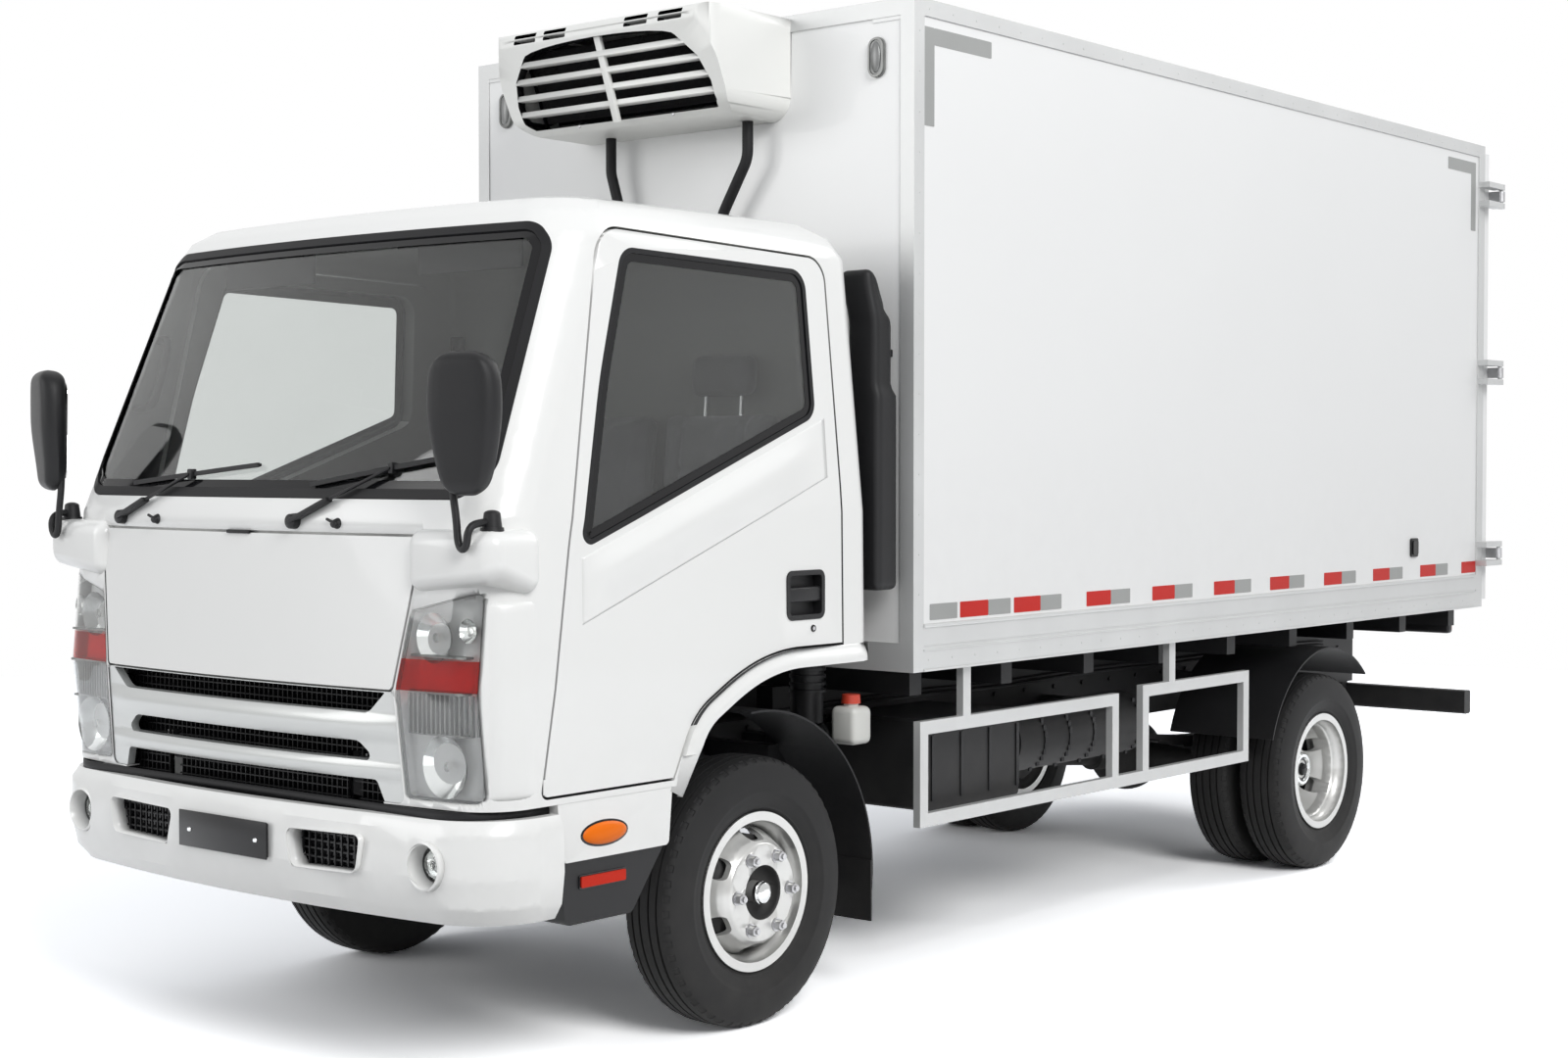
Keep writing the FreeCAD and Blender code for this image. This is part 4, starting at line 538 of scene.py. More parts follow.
def skin(node):
    """Search tree of a node's surface, made once and kept."""
    if node not in skins:
        bm = bmesh.new()
        bm.from_mesh(nodes[node].data)
        skins[node] = BVHTree.FromBMesh(bm)
        bm.free()
    return skins[node]


def surface_y(node, x, z, start=-4.0):
    """Y of the first surface met when looking rearward from ahead of the truck."""
    place = skin(node).ray_cast(Vector((x, start, z)), Y)[0]
    return place.y if place else None


def surface_x(node, side, y, z):
    """X of the first surface met when looking inward from one side."""
    place = skin(node).ray_cast(Vector((side * 3, y, z)), -side * X)[0]
    return place.x if place else None


print("lid surface at its middle: y %.3f" % surface_y("front_lid", 0.0, 1.2))

# %% [markdown]
# ## Smooth panels
# Pressed and moulded panels flow without a break where the frame's exact sections meet. A copy
# of each painted panel is merged and shaded smooth up to a fold of 32 degrees. Its normals are
# weighted by area, so that broad faces stay flat and the narrow ones turn the light.


# %% Painted panels, shaded smooth
def on_mirror_pod(face):
    """The frame's plain mirror pods, which moulded ones take the place of further on."""
    middle = face.calc_center_median()
    inside = (0.70 < abs(middle.x) < 0.935 and back(-1.105) < middle.y < back(-0.93)
              and 1.262 < middle.z < 1.404)
    return inside and not 0.005 < abs(face.normal.z) < 0.4


# the wheel arch edge, as (distance behind the axle, height)
ARCH_FOOT, ARCH_KNEE = (-0.382, 0.690), (-0.300, 0.870)
ARCH_SHOULDER, ARCH_REAR = (-0.060, 1.001), (0.452, 1.001)


def on_flare(face):
    """Outer faces of the frame's plain wheel arch flare, which a rolled one takes the place of."""
    middle = face.calc_center_median()
    y, z = middle.y - FRONT_AXLE, middle.z
    if not (0.79 < z < 1.056 and -0.43 < y < 0.46 and abs(middle.x) > 0.86):
        return False
    door = [surface_x("cab_door_left", 1, back(at_y), at_z) for at_y, at_z in ((-0.36, 1.08), (0.1, 1.10))]
    return abs(middle.x) > max(door) + 0.004


CAB_MIDDLE = Vector((0.0, back(-0.30), 1.55))


def looks_inward(face):
    """A face on the inner side of the cab's walls, which the trim and the lining cover."""
    to_middle = CAB_MIDDLE - face.calc_center_median()
    return face.normal.dot(to_middle.normalized()) > 0.3


def sleek(node, material, keep=lambda f: True, lining=None, inside=looks_inward):
    """Smooth copy of a painted node that takes its place; faces that inside() accepts get the lining."""
    bm = clean_copy(node, keep)
    if lining:
        for f in bm.faces:
            f.material_index = int(inside(f))
    mesh = mesh_from(node + "_panel", bm, *([material, lining] if lining else [material]))
    shown_smooth(mesh, 32)
    panel = linked(node + "_panel", mesh)
    weigh = panel.modifiers.new("even", "WEIGHTED_NORMAL")
    weigh.keep_sharp = True
    weigh.weight = 60
    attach(panel, body_of[node])
    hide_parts(node)
    return panel


def outer_skin(face):
    return not on_mirror_pod(face) and not on_flare(face)


sleek("cab_shell", cab_white, keep=outer_skin, lining=cab_lining)
for door in ("cab_door_left", "cab_door_right"):
    sleek(door, cab_white, lining=cab_lining)
for node in ("front_bumper", "front_lid", "step_panels"):
    sleek(node, cab_white)
unit_panel = sleek("reefer_housing", unit_white)
print("panels smoothed: 7")

# %% [markdown]
# ## Tyres
# A truck tyre is a smooth body of revolution: rounded sidewalls with a raised ring that guards
# the rim, and a crown with four grooves round it. One half section is spun once round the
# axle, so the sidewall stays truly smooth. Then every second patch of the shoulders is pressed
# in, which gives the row of notches. The frame's plain tyres stay underneath for the physics.

# %% Tyre section and spin
# from the middle outwards: offset across, radius, as parts of a 185 by 755 mm tyre
tyre_section = (
    (0.000, 0.3771), (0.0125, 0.3770), (0.0135, 0.3690), (0.0190, 0.3690), (0.0200, 0.3768),
    (0.0400, 0.3760), (0.0410, 0.3680), (0.0465, 0.3678), (0.0475, 0.3752), (0.0640, 0.3716),
    (0.0740, 0.3670), (0.0800, 0.3600), (0.0835, 0.3520), (0.0865, 0.3400), (0.0895, 0.3240),
    (0.0912, 0.3060), (0.0918, 0.2900), (0.0922, 0.2810), (0.0922, 0.2770), (0.0905, 0.2740),
    (0.0880, 0.2620), (0.0840, 0.2500), (0.0800, 0.2400), (0.0785, 0.2370), (0.0785, 0.2340),
    (0.0745, 0.2300), (0.0700, 0.2250), (0.0690, 0.2080), (0.0620, 0.2040),
)
NOTCH_STEPS = 112


def add_tyre(bm, centre):
    whole = [(-across, radius) for across, radius in reversed(tyre_section)] + list(tyre_section[1:])
    made = spun(bm, whole, centre, X, NOTCH_STEPS)
    bmesh.ops.recalc_face_normals(bm, faces=made)
    notches = []
    for f in made:
        middle = f.calc_center_median() - centre
        radius = math.hypot(middle.y, middle.z)
        step = int((math.atan2(middle.y, middle.z) + math.pi) / (2 * math.pi) * NOTCH_STEPS)
        if 0.359 < radius < 0.372 and abs(middle.x) > 0.06 and step % 2:
            notches.append(f)
    bmesh.ops.inset_region(bm, faces=notches, thickness=0.002, depth=-0.0022, use_boundary=True,
                           use_even_offset=True)


for node, body, places in (
        ("front_left_tyre", "wheel_front_left", 1), ("front_right_tyre", "wheel_front_right", 1),
        ("rear_left_tyres", "wheels_rear_left", 2), ("rear_right_tyres", "wheels_rear_right", 2)):
    low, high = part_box(node)
    bm = bmesh.new()
    for i in range(places):
        across = (low.x + high.x) / 2 if places == 1 else (low.x + TYRE_W / 2 if i else high.x - TYRE_W / 2)
        add_tyre(bm, Vector((across, (low.y + high.y) / 2, TYRE_R)))
    tyre = piece(node.replace("tyre", "tread"), bm, tyre_black, body)
    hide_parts(node)
    print(node, "became", len(tyre.data.polygons), "faces")

# %% [markdown]
# ## Rims
# A pressed steel rim is smooth, and its hand holes look dark because the brake drum is behind
# them, in the shade inside the wheel. The rims are smoothed like the cab's panels, and the drum's
# faces and the recess round the front hub are painted dark: partly their own dark iron, partly
# painted shade.

# %% Smooth rims with a dark drum behind, painted dark partly as shade
DRUM_REACH, DRUM_R = 0.046, 0.157
RECESS_R, RECESS_FROM = 0.0775, 0.052
for side_name, side in SIDES:
    for node, across, recess in (("front_%s_rim" % side_name, 0.747, True),
                                 ("rear_%s_rims" % side_name, 0.584, False)):
        low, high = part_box(node)
        axle_y = (low.y + high.y) / 2

        # faces painted dark: the drum's and hub's own dark iron, and painted shade inside the wheel
        def in_shade(face, side=side, across=across, axle_y=axle_y, recess=recess):
            middle = face.calc_center_median()
            reach = middle.x * side - across
            radius = math.hypot(middle.y - axle_y, middle.z - TYRE_R)
            in_recess = recess and 0.032 < radius < RECESS_R and RECESS_FROM < reach < 0.098
            return in_recess or (radius < DRUM_R and reach < DRUM_REACH)

        sleek(node, wheel_silver, lining=cast_dark, inside=in_shade)
print("rims smoothed: 4")

# %% [markdown]
# ## Wheel trim
# What catches the eye on the real wheel is a ring of nuts on their washers and a hub cap: a small
# grease cap in the front wheel's recess, and a stepped cap with a dark middle at the rear.


# %% Nuts and caps
NUT_CIRCLE_R, NUTS = 0.111, 6


def wheel_trim(name, body, centre, face, nut_seat, nut_height, profile, dark_r):
    bm = bmesh.new()
    for i in range(NUTS):
        place = centre + Matrix.Rotation(2 * math.pi * i / NUTS, 4, "X") @ Vector((0, NUT_CIRCLE_R, 0))
        out = Vector((face, 0, 0))
        tube(bm, place + out * (nut_seat - 0.001), place + out * (nut_seat + 0.004), 0.019, segments=24)
        nut = tube(bm, place + out * nut_seat, place + out * (nut_seat + nut_height), 0.0155, segments=6)
        rounded(bm, list(set(e for v in nut for e in v.link_edges)), 0.0015, 2)
        tube(bm, place + out * nut_seat, place + out * (nut_seat + nut_height + 0.008), 0.008, segments=14)
    piece(name + "_nuts", bm, plain_steel, body)
    bm = bmesh.new()
    spun(bm, [(face * a, r) for a, r in profile], centre, X, 64)
    bmesh.ops.remove_doubles(bm, verts=bm.verts, dist=1e-5)
    for f in bm.faces:
        middle = f.calc_center_median() - centre
        if math.hypot(middle.y, middle.z) < dark_r:
            f.material_index = 1
    piece(name + "_cap", bm, [chrome, gloss_black], body)
    print(name, "trimmed")


# cap profiles from the rim inwards: reach out from the wheel's middle, radius
grease_cap = ((0.088, 0.032), (0.098, 0.032), (0.100, 0.030), (0.106, 0.028), (0.111, 0.020),
              (0.1125, 0.010), (0.113, 0.0))
drive_cap = ((0.088, 0.064), (0.104, 0.064), (0.110, 0.058), (0.110, 0.048), (0.102, 0.044), (0.100, 0.026),
             (0.114, 0.021), (0.118, 0.014), (0.1185, 0.0))
front_x = (tyre_low.x + tyre_high.x) / 2
rear_x = (rear_low.x + rear_high.x) / 2
for side_name, side in SIDES:
    wheel_trim("front_" + side_name, "wheel_front_" + side_name,
               Vector((side * front_x, FRONT_AXLE, TYRE_R)), side, 0.100, 0.025, grease_cap, 0.0)
    wheel_trim("rear_" + side_name, "wheels_rear_" + side_name,
               Vector((side * rear_x, REAR_AXLE, TYRE_R)), side, 0.009, 0.034, drive_cap, 0.044)
print("wheel middles at x %.3f and %.3f" % (front_x, rear_x))

# %% [markdown]
# ## Window borders and seals
# A cab's glass is set in a black rubber seal, and just inside it runs a painted black border
# that hides the glue. Both follow the outline of the glass, so they are cut from a copy of the
# glass itself: its outer skin is inset by the width wanted, the middle is thrown away, and the
# ring that is left gets a thickness. The seal is the narrow outer ring and stands proud.


# %% Rings cut from the glass
def ring(name, node, keep, width, lift, thick, material, body, slot):
    """Band that follows the edge of a node's outer skin, this wide inside it."""
    bm = clean_copy(node, keep)
    bmesh.ops.dissolve_limit(bm, angle_limit=math.radians(0.4), verts=bm.verts, edges=bm.edges)
    band = bmesh.ops.inset_region(bm, faces=bm.faces, thickness=width, use_boundary=True,
                                  use_even_offset=True)["faces"]
    kept = set(band)
    bmesh.ops.delete(bm, geom=[f for f in bm.faces if f not in kept], context="FACES")
    bm.normal_update()
    for v in bm.verts:
        v.co += v.normal * lift
    bmesh.ops.solidify(bm, geom=bm.faces, thickness=thick)
    made = piece(name, bm, material, body, edge=0.0006)
    print(name, "faces", len(made.data.polygons))
    return made


def looks_ahead(face):
    return face.normal.y < -0.25


ring("screen_border", "cab_glass", looks_ahead, 0.050, 0.0008, 0.0006, gloss_black, "cab", "black_plastic")
ring("screen_seal", "cab_glass", looks_ahead, 0.026, 0.006, 0.006, seal_rubber, "cab", "hose_rubber")
for side_name, side in SIDES:
    def looks_out(face, side=side):
        return face.normal.x * side > 0.5
    glass = "door_glass_" + side_name
    door = "cab_door_" + side_name
    ring(glass + "_border", glass, looks_out, 0.036, 0.0008, 0.0006, gloss_black, door, "black_plastic")
    ring(glass + "_seal", glass, looks_out, 0.014, 0.005, 0.005, seal_rubber, door, "hose_rubber")

# %% [markdown]
# ## Headlamps
# Each headlamp is a tall moulded housing behind a clear lens that follows the cab's corner. In
# it, from the top: a bright reflector for the side light, a red band, a ribbed grey part and the
# main beam's reflector bowl with its bulb. The lens is cut from the lamp's own front skin. The
# housing is that same skin pushed back, so the two fit at every edge. The frame's solid lamp is
# then hidden behind the finished pieces.

# %% Lamp finishes
reflector = finish("reflector", (0.86, 0.87, 0.86), 0.14, metal=1.0, wander=0.02, bump=0.0)
# a darker copy of the reflector: painted shade and painted reflection for the part of a bowl that would
# mirror dark things
reflector_painted_shade = finish("reflector_painted_shade", (0.26, 0.265, 0.26), 0.22, metal=0.9, wander=0.25,
                         wander_scale=40, bump=0.0)
lamp_shell = finish("lamp_shell", (0.21, 0.213, 0.21), 0.34, metal=0.35, wander=0.25, wander_scale=14,
                    shine_level=0.3)
band_red = finish("band_red", (0.50, 0.016, 0.008), 0.5, wander=0.10, wander_scale=60, shine_level=0.1)
lamp_grey = finish("lamp_grey", (0.24, 0.243, 0.235), 0.35, metal=0.3, wander=0.15, wander_scale=30,
                   shine_level=0.3)
bulb_glass = see_through("bulb_glass", (0.95, 0.95, 0.93), 0.01)

# %% Lens, housing and band
BAND = (1.011, 1.088)
RIBS_FROM = 0.90


def lamp_skin(side):
    """Outer skin of one lamp: the faces that look ahead and lie on the cab's surface."""
    def keep(face):
        middle = face.calc_center_median()
        nearest = surface_y("headlamps", middle.x, middle.z)
        return middle.x * side > 0 and face.normal.y < -0.3 and abs(nearest - middle.y) < 0.004
    return clean_copy("headlamps", keep)


def slice_z(bm, z):
    bmesh.ops.bisect_plane(bm, geom=bm.verts[:] + bm.edges[:] + bm.faces[:], dist=1e-6, plane_co=(0, 0, z),
                           plane_no=(0, 0, 1))


def bowl(bm, centre, radius, depth):
    """Parabolic dish that opens forwards; its upper and outer part is painted dark as painted shade and
    painted reflection.
    """
    rings = [(depth * (1 - (k / 10) ** 2), radius * k / 10) for k in range(11)]
    for f in spun(bm, rings, centre, Y, 64):
        off = f.calc_center_median() - centre
        # faces outside the lit part get the darker copy: painted shade
        lit = off.z < 0.25 * radius and off.x * centre.x < 0.35 * radius * abs(centre.x)
        f.material_index = 0 if lit or off.length > radius * 0.97 else 3


for side_name, side in SIDES:
    bm = lamp_skin(side)
    for z in BAND:
        slice_z(bm, z)
    for f in bm.faces:
        f.material_index = 1 if BAND[0] < f.calc_center_median().z < BAND[1] else 0
    bm.normal_update()
    for v in bm.verts:
        v.co += v.normal * 0.001
    bmesh.ops.solidify(bm, geom=bm.faces, thickness=0.0025)
    lens_piece = piece("headlamp_lens_" + side_name, bm, [lens_clear, lens_red], "cab")

    bm = lamp_skin(side)
    bmesh.ops.translate(bm, verts=bm.verts, vec=(0, 0.003, 0))
    first = bm.faces[:]
    grown = bmesh.ops.extrude_face_region(bm, geom=first)["geom"]
    bmesh.ops.translate(bm, verts=moved_part(grown), vec=(-side * 0.010, 0.060, 0))
    bmesh.ops.delete(bm, geom=[f for f in first if f.is_valid], context="FACES_ONLY")
    for z in (RIBS_FROM,) + BAND:
        slice_z(bm, z)
    for f in bm.faces:
        z = f.calc_center_median().z
        f.material_index = 1 if BAND[0] < z < BAND[1] else (2 if RIBS_FROM < z < BAND[0] else 0)
    housing = piece("headlamp_housing_" + side_name, bm, [lamp_shell, band_red, lamp_grey], "cab")
    walled(housing, 0.002)

    bm = bmesh.new()
    for x, z, radius, depth in ((0.742, 0.826, 0.078, 0.045), (0.715, 1.140, 0.062, 0.042),
                                (0.815, 1.160, 0.030, 0.025)):
        near = surface_y("headlamps", side * x, z)
        bowl(bm, Vector((side * x, near + 0.012, z)), radius, depth)
        tube(bm, (side * x, near + 0.020, z), (side * x, near + 0.05, z), 0.012, 0.009, 20, material=1)
    for k in range(15):
        x = 0.640 + k * 0.0145
        near = surface_y("headlamps", side * x, 0.95)
        if near is not None:
            block(bm, (side * x - 0.0022, near + 0.010, 0.905), (side * x + 0.0022, near + 0.022, 1.004),
                  0.001, 1, material=2)
    for z, height in ((0.902, 0.006), (1.004, 0.007), (1.092, 0.006)):
        near = surface_y("headlamps", side * 0.73, z)
        block(bm, (side * 0.73 - 0.095, near + 0.010, z), (side * 0.73 + 0.095, near + 0.045, z + height),
              0.001, 1, material=2)
    finishes = [reflector, bulb_glass, lamp_grey, reflector_painted_shade]
    optics = piece("headlamp_optics_" + side_name, bm, finishes, "cab")
    print("headlamp", side_name, "faces", [len(p.data.polygons) for p in (lens_piece, housing, optics)])
    if side == 1:
        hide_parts("headlamps")

# %% [markdown]
# ## Bumper fittings
# The bumper carries two fog lamps in round funnels, two air openings with a deep lip and a
# black mesh behind, and a number plate, which stays blank here. Each opening's lip is a tub:
# one face, its corners bevelled, is extruded rearward and given a wall.


# %% Tubs, bezels and the plate
def tub(bm, corners, y_front, depth, corner_r, shrink):
    """Rounded outline of (x, z) corners run rearward as an open tube."""
    def at_front():
        return [f for f in bm.faces if all(abs(v.co.y - y_front) < 1e-6 for v in f.verts)]

    verts = [bm.verts.new((x, y_front, z)) for x, z in corners]
    bm.faces.new(verts)
    bmesh.ops.bevel(bm, geom=verts, offset=corner_r, segments=5, profile=0.5, affect="VERTICES",
                    material=-1)
    grown = bmesh.ops.extrude_face_region(bm, geom=at_front()[-1:])["geom"]
    moved = moved_part(grown)
    bmesh.ops.translate(bm, verts=moved, vec=(0, depth, 0))
    middle = sum((v.co for v in moved), Vector()) / len(moved)
    bmesh.ops.scale(bm, verts=moved, vec=(1 - shrink, 1, 1 - shrink), space=Matrix.Translation(-middle))
    ends = [g for g in grown if isinstance(g, bmesh.types.BMFace)]
    bmesh.ops.delete(bm, geom=at_front() + ends, context="FACES_ONLY")


opening = ((0.262, 0.543), (0.514, 0.552), (0.531, 0.650), (0.240, 0.641))
for side_name, side in SIDES:
    corners = [(side * x, z) for x, z in opening]
    front = surface_y("front_bumper", side * 0.22, 0.6)
    bm = bmesh.new()
    tub(bm, corners, front + 0.004, 0.045, 0.022, 0.06)
    walled(piece("bumper_opening_" + side_name, bm, cab_white, "chassis"), 0.003, offset=0.0)
    bm = bmesh.new()
    for k in range(13):
        x = side * (0.235 + 0.0255 * k)
        block(bm, (min(x, x + side * 0.004), front + 0.042, 0.535),
              (max(x, x + side * 0.004), front + 0.048, 0.66))
    for k in range(6):
        z = 0.545 + 0.021 * k
        block(bm, (min(side * 0.23, side * 0.545), front + 0.044, z),
              (max(side * 0.23, side * 0.545), front + 0.050, z + 0.004))
    # glossy black panel behind the mesh: painted shade for the dark space behind the opening
    block(bm, (min(side * 0.225, side * 0.55), front + 0.060, 0.53),
          (max(side * 0.225, side * 0.55), front + 0.064, 0.665), material=1)
    piece("bumper_mesh_" + side_name, bm, [black_plastic, gloss_black], "chassis",
          smooth=False)
print("bumper front at the openings %.3f" % front)

# %% Number plate
plate_y = surface_y("front_bumper", 0.0, 0.6)
PLATE_X, PLATE_Z = (-0.186, 0.186), (0.552, 0.648)
HOLDER_X, HOLDER_Z = (-0.180, 0.180), (0.556, 0.644)
SCREW_X, PLATE_SCREW_Z = (-0.14, 0.14), 0.598
bm = bmesh.new()
for xs, zs, y_from, y_to in ((PLATE_X, PLATE_Z, -0.010, -0.006), (HOLDER_X, HOLDER_Z, -0.006, 0.002)):
    block(bm, (xs[0], plate_y + y_from, zs[0]), (xs[1], plate_y + y_to, zs[1]), 0.0015, 2)
piece("number_plate_blank", bm, plate_black, "chassis")
bm = bmesh.new()
for x in SCREW_X:
    foot, head = [(x, plate_y - proud, PLATE_SCREW_Z) for proud in (0.010, 0.0135)]
    tube(bm, foot, head, 0.0065, 0.0045, 20)
piece("plate_screws", bm, chrome, "chassis")

# %% [markdown]
# ## Fog lamps
# A fog lamp is a small dish behind a clear disc, set deep in a white funnel. All three are
# turned round the lamp's axis.

# %% Fog lamps
fog_x, fog_z = 0.722, 0.588
for side_name, side in SIDES:
    centre = Vector((side * fog_x, surface_y("front_bumper", side * (fog_x - 0.075), fog_z), fog_z))

    def turned(bm, section, material=0, steps=48):
        spun(bm, [(depth, radius) for radius, depth in section], centre, Y, steps, material)

    bm = bmesh.new()
    turned(bm, ((0.064, 0.020), (0.061, 0.006), (0.056, 0.004), (0.052, 0.012), (0.044, 0.052),
                (0.044, 0.060)))
    walled(piece("fog_bezel_" + side_name, bm, cab_white, "chassis"), 0.002)
    bm = bmesh.new()
    turned(bm, ((0.043, 0.050), (0.030, 0.042), (0.015, 0.038), (0.0, 0.037)))
    walled(piece("fog_lens_" + side_name, bm, lens_clear, "chassis"), 0.002)
    bm = bmesh.new()
    turned(bm, ((0.043, 0.055), (0.038, 0.072), (0.028, 0.086), (0.012, 0.094), (0.0, 0.095)))
    turned(bm, ((0.010, 0.094), (0.010, 0.066), (0.006, 0.060), (0.0, 0.058)), material=1, steps=20)
    turned(bm, ((0.0445, 0.046), (0.0445, 0.062), (0.042, 0.062), (0.042, 0.046)), material=2)
    piece("fog_dish_" + side_name, bm, [reflector, bulb_glass, lamp_grey], "chassis")
print("fog lamps at x %.3f" % fog_x)

# %% [markdown]
# ## Dark gap between cab and bumper
# The cab rides on its own springs above the bumper, and the gap between them lies in shade. A thin sheet in
# black seal rubber fills the gap as painted shade.
# It is a block whose two front corners are bevelled to the cab's own radius.

# %% Gap strip
# black sheet in the gap: painted shade
bm = bmesh.new()
block(bm, (-0.872, back(-1.100), 0.692), (0.872, back(-0.846), 0.721))
corners = [e for e in bm.edges if abs(e.verts[0].co.z - e.verts[1].co.z) > 0.02
           and e.verts[0].co.y < back(-1.0)]
rounded(bm, corners, 0.165, 12)
bmesh.ops.delete(bm, geom=[f for f in bm.faces if abs(f.normal.z) > 0.9 or f.normal.y > 0.9],
                 context="FACES_ONLY")
walled(piece("cab_gap_strip", bm, seal_rubber, "chassis"), 0.006)

# %% [markdown]
# ## Grille
# The grille is a satin silver moulding with two slots and an open lower edge. Its frame plate is
# exact, but the real bars are softly rounded, so a copy of its front skin is merged, bulged,
# given the same thickness and all its edges are bevelled. A black mesh lies on a glossy black
# panel, which stands in for the dark space behind the grille: the radiator there and painted shade.

# %% Rounded bars and mesh
grille_front = surface_y("cab_grille", 0.0, 0.9)
bm = clean_copy("cab_grille", lambda f: (f.normal.y < -0.6
                                         and f.calc_center_median().y < grille_front + 0.06))
bmesh.ops.dissolve_limit(bm, angle_limit=math.radians(1.0), verts=bm.verts, edges=bm.edges)
for k in range(36):
    slice_z(bm, 0.73 + 0.0076 * k)
bulges = ((0.911, 0.036, 0.014), (0.803, 0.023, 0.010))
for v in bm.verts:
    for middle, half, rise in bulges:
        share = max(0.0, 1 - ((v.co.z - middle) / half) ** 2)
        ends = min(1.0, max(0.0, (0.590 - abs(v.co.x)) / 0.08))
        v.co.y -= rise * share * ends
bmesh.ops.solidify(bm, geom=bm.faces, thickness=0.022)
bars = piece("grille_bars", bm, grille_silver, "cab")
softened(bars, 0.006, 3, fold=40)
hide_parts("cab_grille")
# the mesh is notched round the two brackets that the cab tilts on, which stay on the frame
NOTCH, NOTCH_TOP, MESH_HALF = (0.358, 0.404), 0.836, 0.62
WHOLE = ((-MESH_HALF, MESH_HALF),)
NOTCHED = ((-MESH_HALF, -NOTCH[1]), (-NOTCH[0], NOTCH[0]), (NOTCH[1], MESH_HALF))
bm = bmesh.new()
# glossy black panel behind the mesh: painted shade for the space behind the grille
block(bm, (-MESH_HALF, back(-1.046), NOTCH_TOP), (MESH_HALF, back(-1.040), 1.005), material=1)
for x_from, x_to in NOTCHED:
    block(bm, (x_from, back(-1.046), 0.665), (x_to, back(-1.040), NOTCH_TOP), material=1)
for k in range(62):
    x = -0.61 + 0.02 * k
    notched = NOTCH[0] - 0.003 < abs(x) < NOTCH[1]
    block(bm, (x, back(-1.054), NOTCH_TOP if notched else 0.67), (x + 0.003, back(-1.046), 1.0))
for k in range(16):
    z = 0.672 + 0.0215 * k
    for x_from, x_to in WHOLE if z > NOTCH_TOP else NOTCHED:
        block(bm, (x_from, back(-1.056), z), (x_to, back(-1.048), z + 0.003))
piece("grille_mesh", bm, [black_plastic, gloss_black], "cab", smooth=False)
print("grille front y %.3f" % grille_front)

# %% [markdown]
# ## Pieces draped on a panel
# Pressed ridges are too shallow for the frame, but they catch the light. Each is a grid laid on
# the panel by casting rays at it, and lifted off it by a small amount that falls to nothing at
# the edges, so the ridge grows out of the panel.


# %% Draping a grid, and flat rounded plates
def draped(node, corners, direction, columns, rows, lift):
    """Grid between four corner points, dropped along a direction onto a node and lifted."""
    bm = bmesh.new()
    grid = bmesh.ops.create_grid(bm, x_segments=columns, y_segments=rows, size=1.0)["verts"]
    a, b, c, d = [Vector(p) for p in corners]
    for v in grid:
        u, w = (v.co.x + 1) / 2, (v.co.y + 1) / 2
        start = a.lerp(b, u).lerp(d.lerp(c, u), w)
        place, normal, _, _ = skin(node).ray_cast(start, Vector(direction))
        v.co = place + normal * (lift(u, w) - 0.0012)
    return bm


def ease(t):
    t = min(1.0, max(0.0, t))
    return t * t * (3 - 2 * t)


def draped_piece(name, bm, material, body, thick=0.0016):
    walled(piece(name, bm, material, body), thick)


def slab(bm, corners, corner_r, along, ring=None, material=0, segments=6):
    """Flat plate with rounded corners and a thickness; ring leaves only a frame that wide."""
    before = set(bm.faces)
    verts = [bm.verts.new(c) for c in corners]
    bm.faces.new(verts)
    bmesh.ops.bevel(bm, geom=verts, offset=corner_r, segments=segments, profile=0.5, affect="VERTICES",
                    material=-1)
    faces = [f for f in bm.faces if f not in before]
    if ring:
        inner = faces[:]
        faces = bmesh.ops.inset_region(bm, faces=inner, thickness=ring, use_boundary=True,
                                       use_even_offset=True)["faces"]
        bmesh.ops.delete(bm, geom=inner, context="FACES")
    grown = bmesh.ops.extrude_face_region(bm, geom=faces)["geom"]
    bmesh.ops.translate(bm, verts=moved_part(grown), vec=along)
    for f in bm.faces:
        if f not in before:
            f.material_index = material


def side_rect(side, x, y_from, y_to, z_from, z_to):
    return [(side * x, back(y_from), z_from), (side * x, back(y_to), z_from),
            (side * x, back(y_to), z_to), (side * x, back(y_from), z_to)]


# %% [markdown]
# ## Door pressings, handle and lock
# A wide ledge runs under the slanted edge of the door window. The handle is a black cup with a
# bar across it, let into the panel, with the lock just below.

# %% Door ledge, handle and lock
# the slanted lower edge of the door window, as (distance behind the axle, height)
SILL_FRONT, SILL_REAR = (-0.768, 1.345), (0.190, 1.698)
SILL_SLOPE = (SILL_REAR[1] - SILL_FRONT[1]) / (SILL_REAR[0] - SILL_FRONT[0])
LEDGE_Y, LEDGE_DROP, LEDGE_PROUD = (-0.760, 0.228), (0.018, 0.185), 0.0150
# parts of the handle's cup: from and to behind the axle, then from and to in height
CUP_RIM, CUP_WALL = (0.034, 0.201, 1.131, 1.269), (0.0455, 0.1895, 1.1405, 1.2595)
CUP_FLOOR, CUP_FLOOR_X, CUP_WALL_X = (0.045, 0.19, 1.14, 1.26), 0.8725, 0.8735
LOCK_Y, LOCK_Z = 0.15, 1.105


def ledge(u, w):
    """Height of the ledge: a steep rise from its upper edge, a long fall to its lower one."""
    rise = ease(w / 0.36) if w < 0.36 else ease((1 - w) / 0.64) ** 0.8
    rim = 0.0012 * min(1.0, 12 * min(w, 1 - w, u, 1 - u))
    return rim + LEDGE_PROUD * rise * ease(u / 0.10) * ease((1 - u) / 0.24)


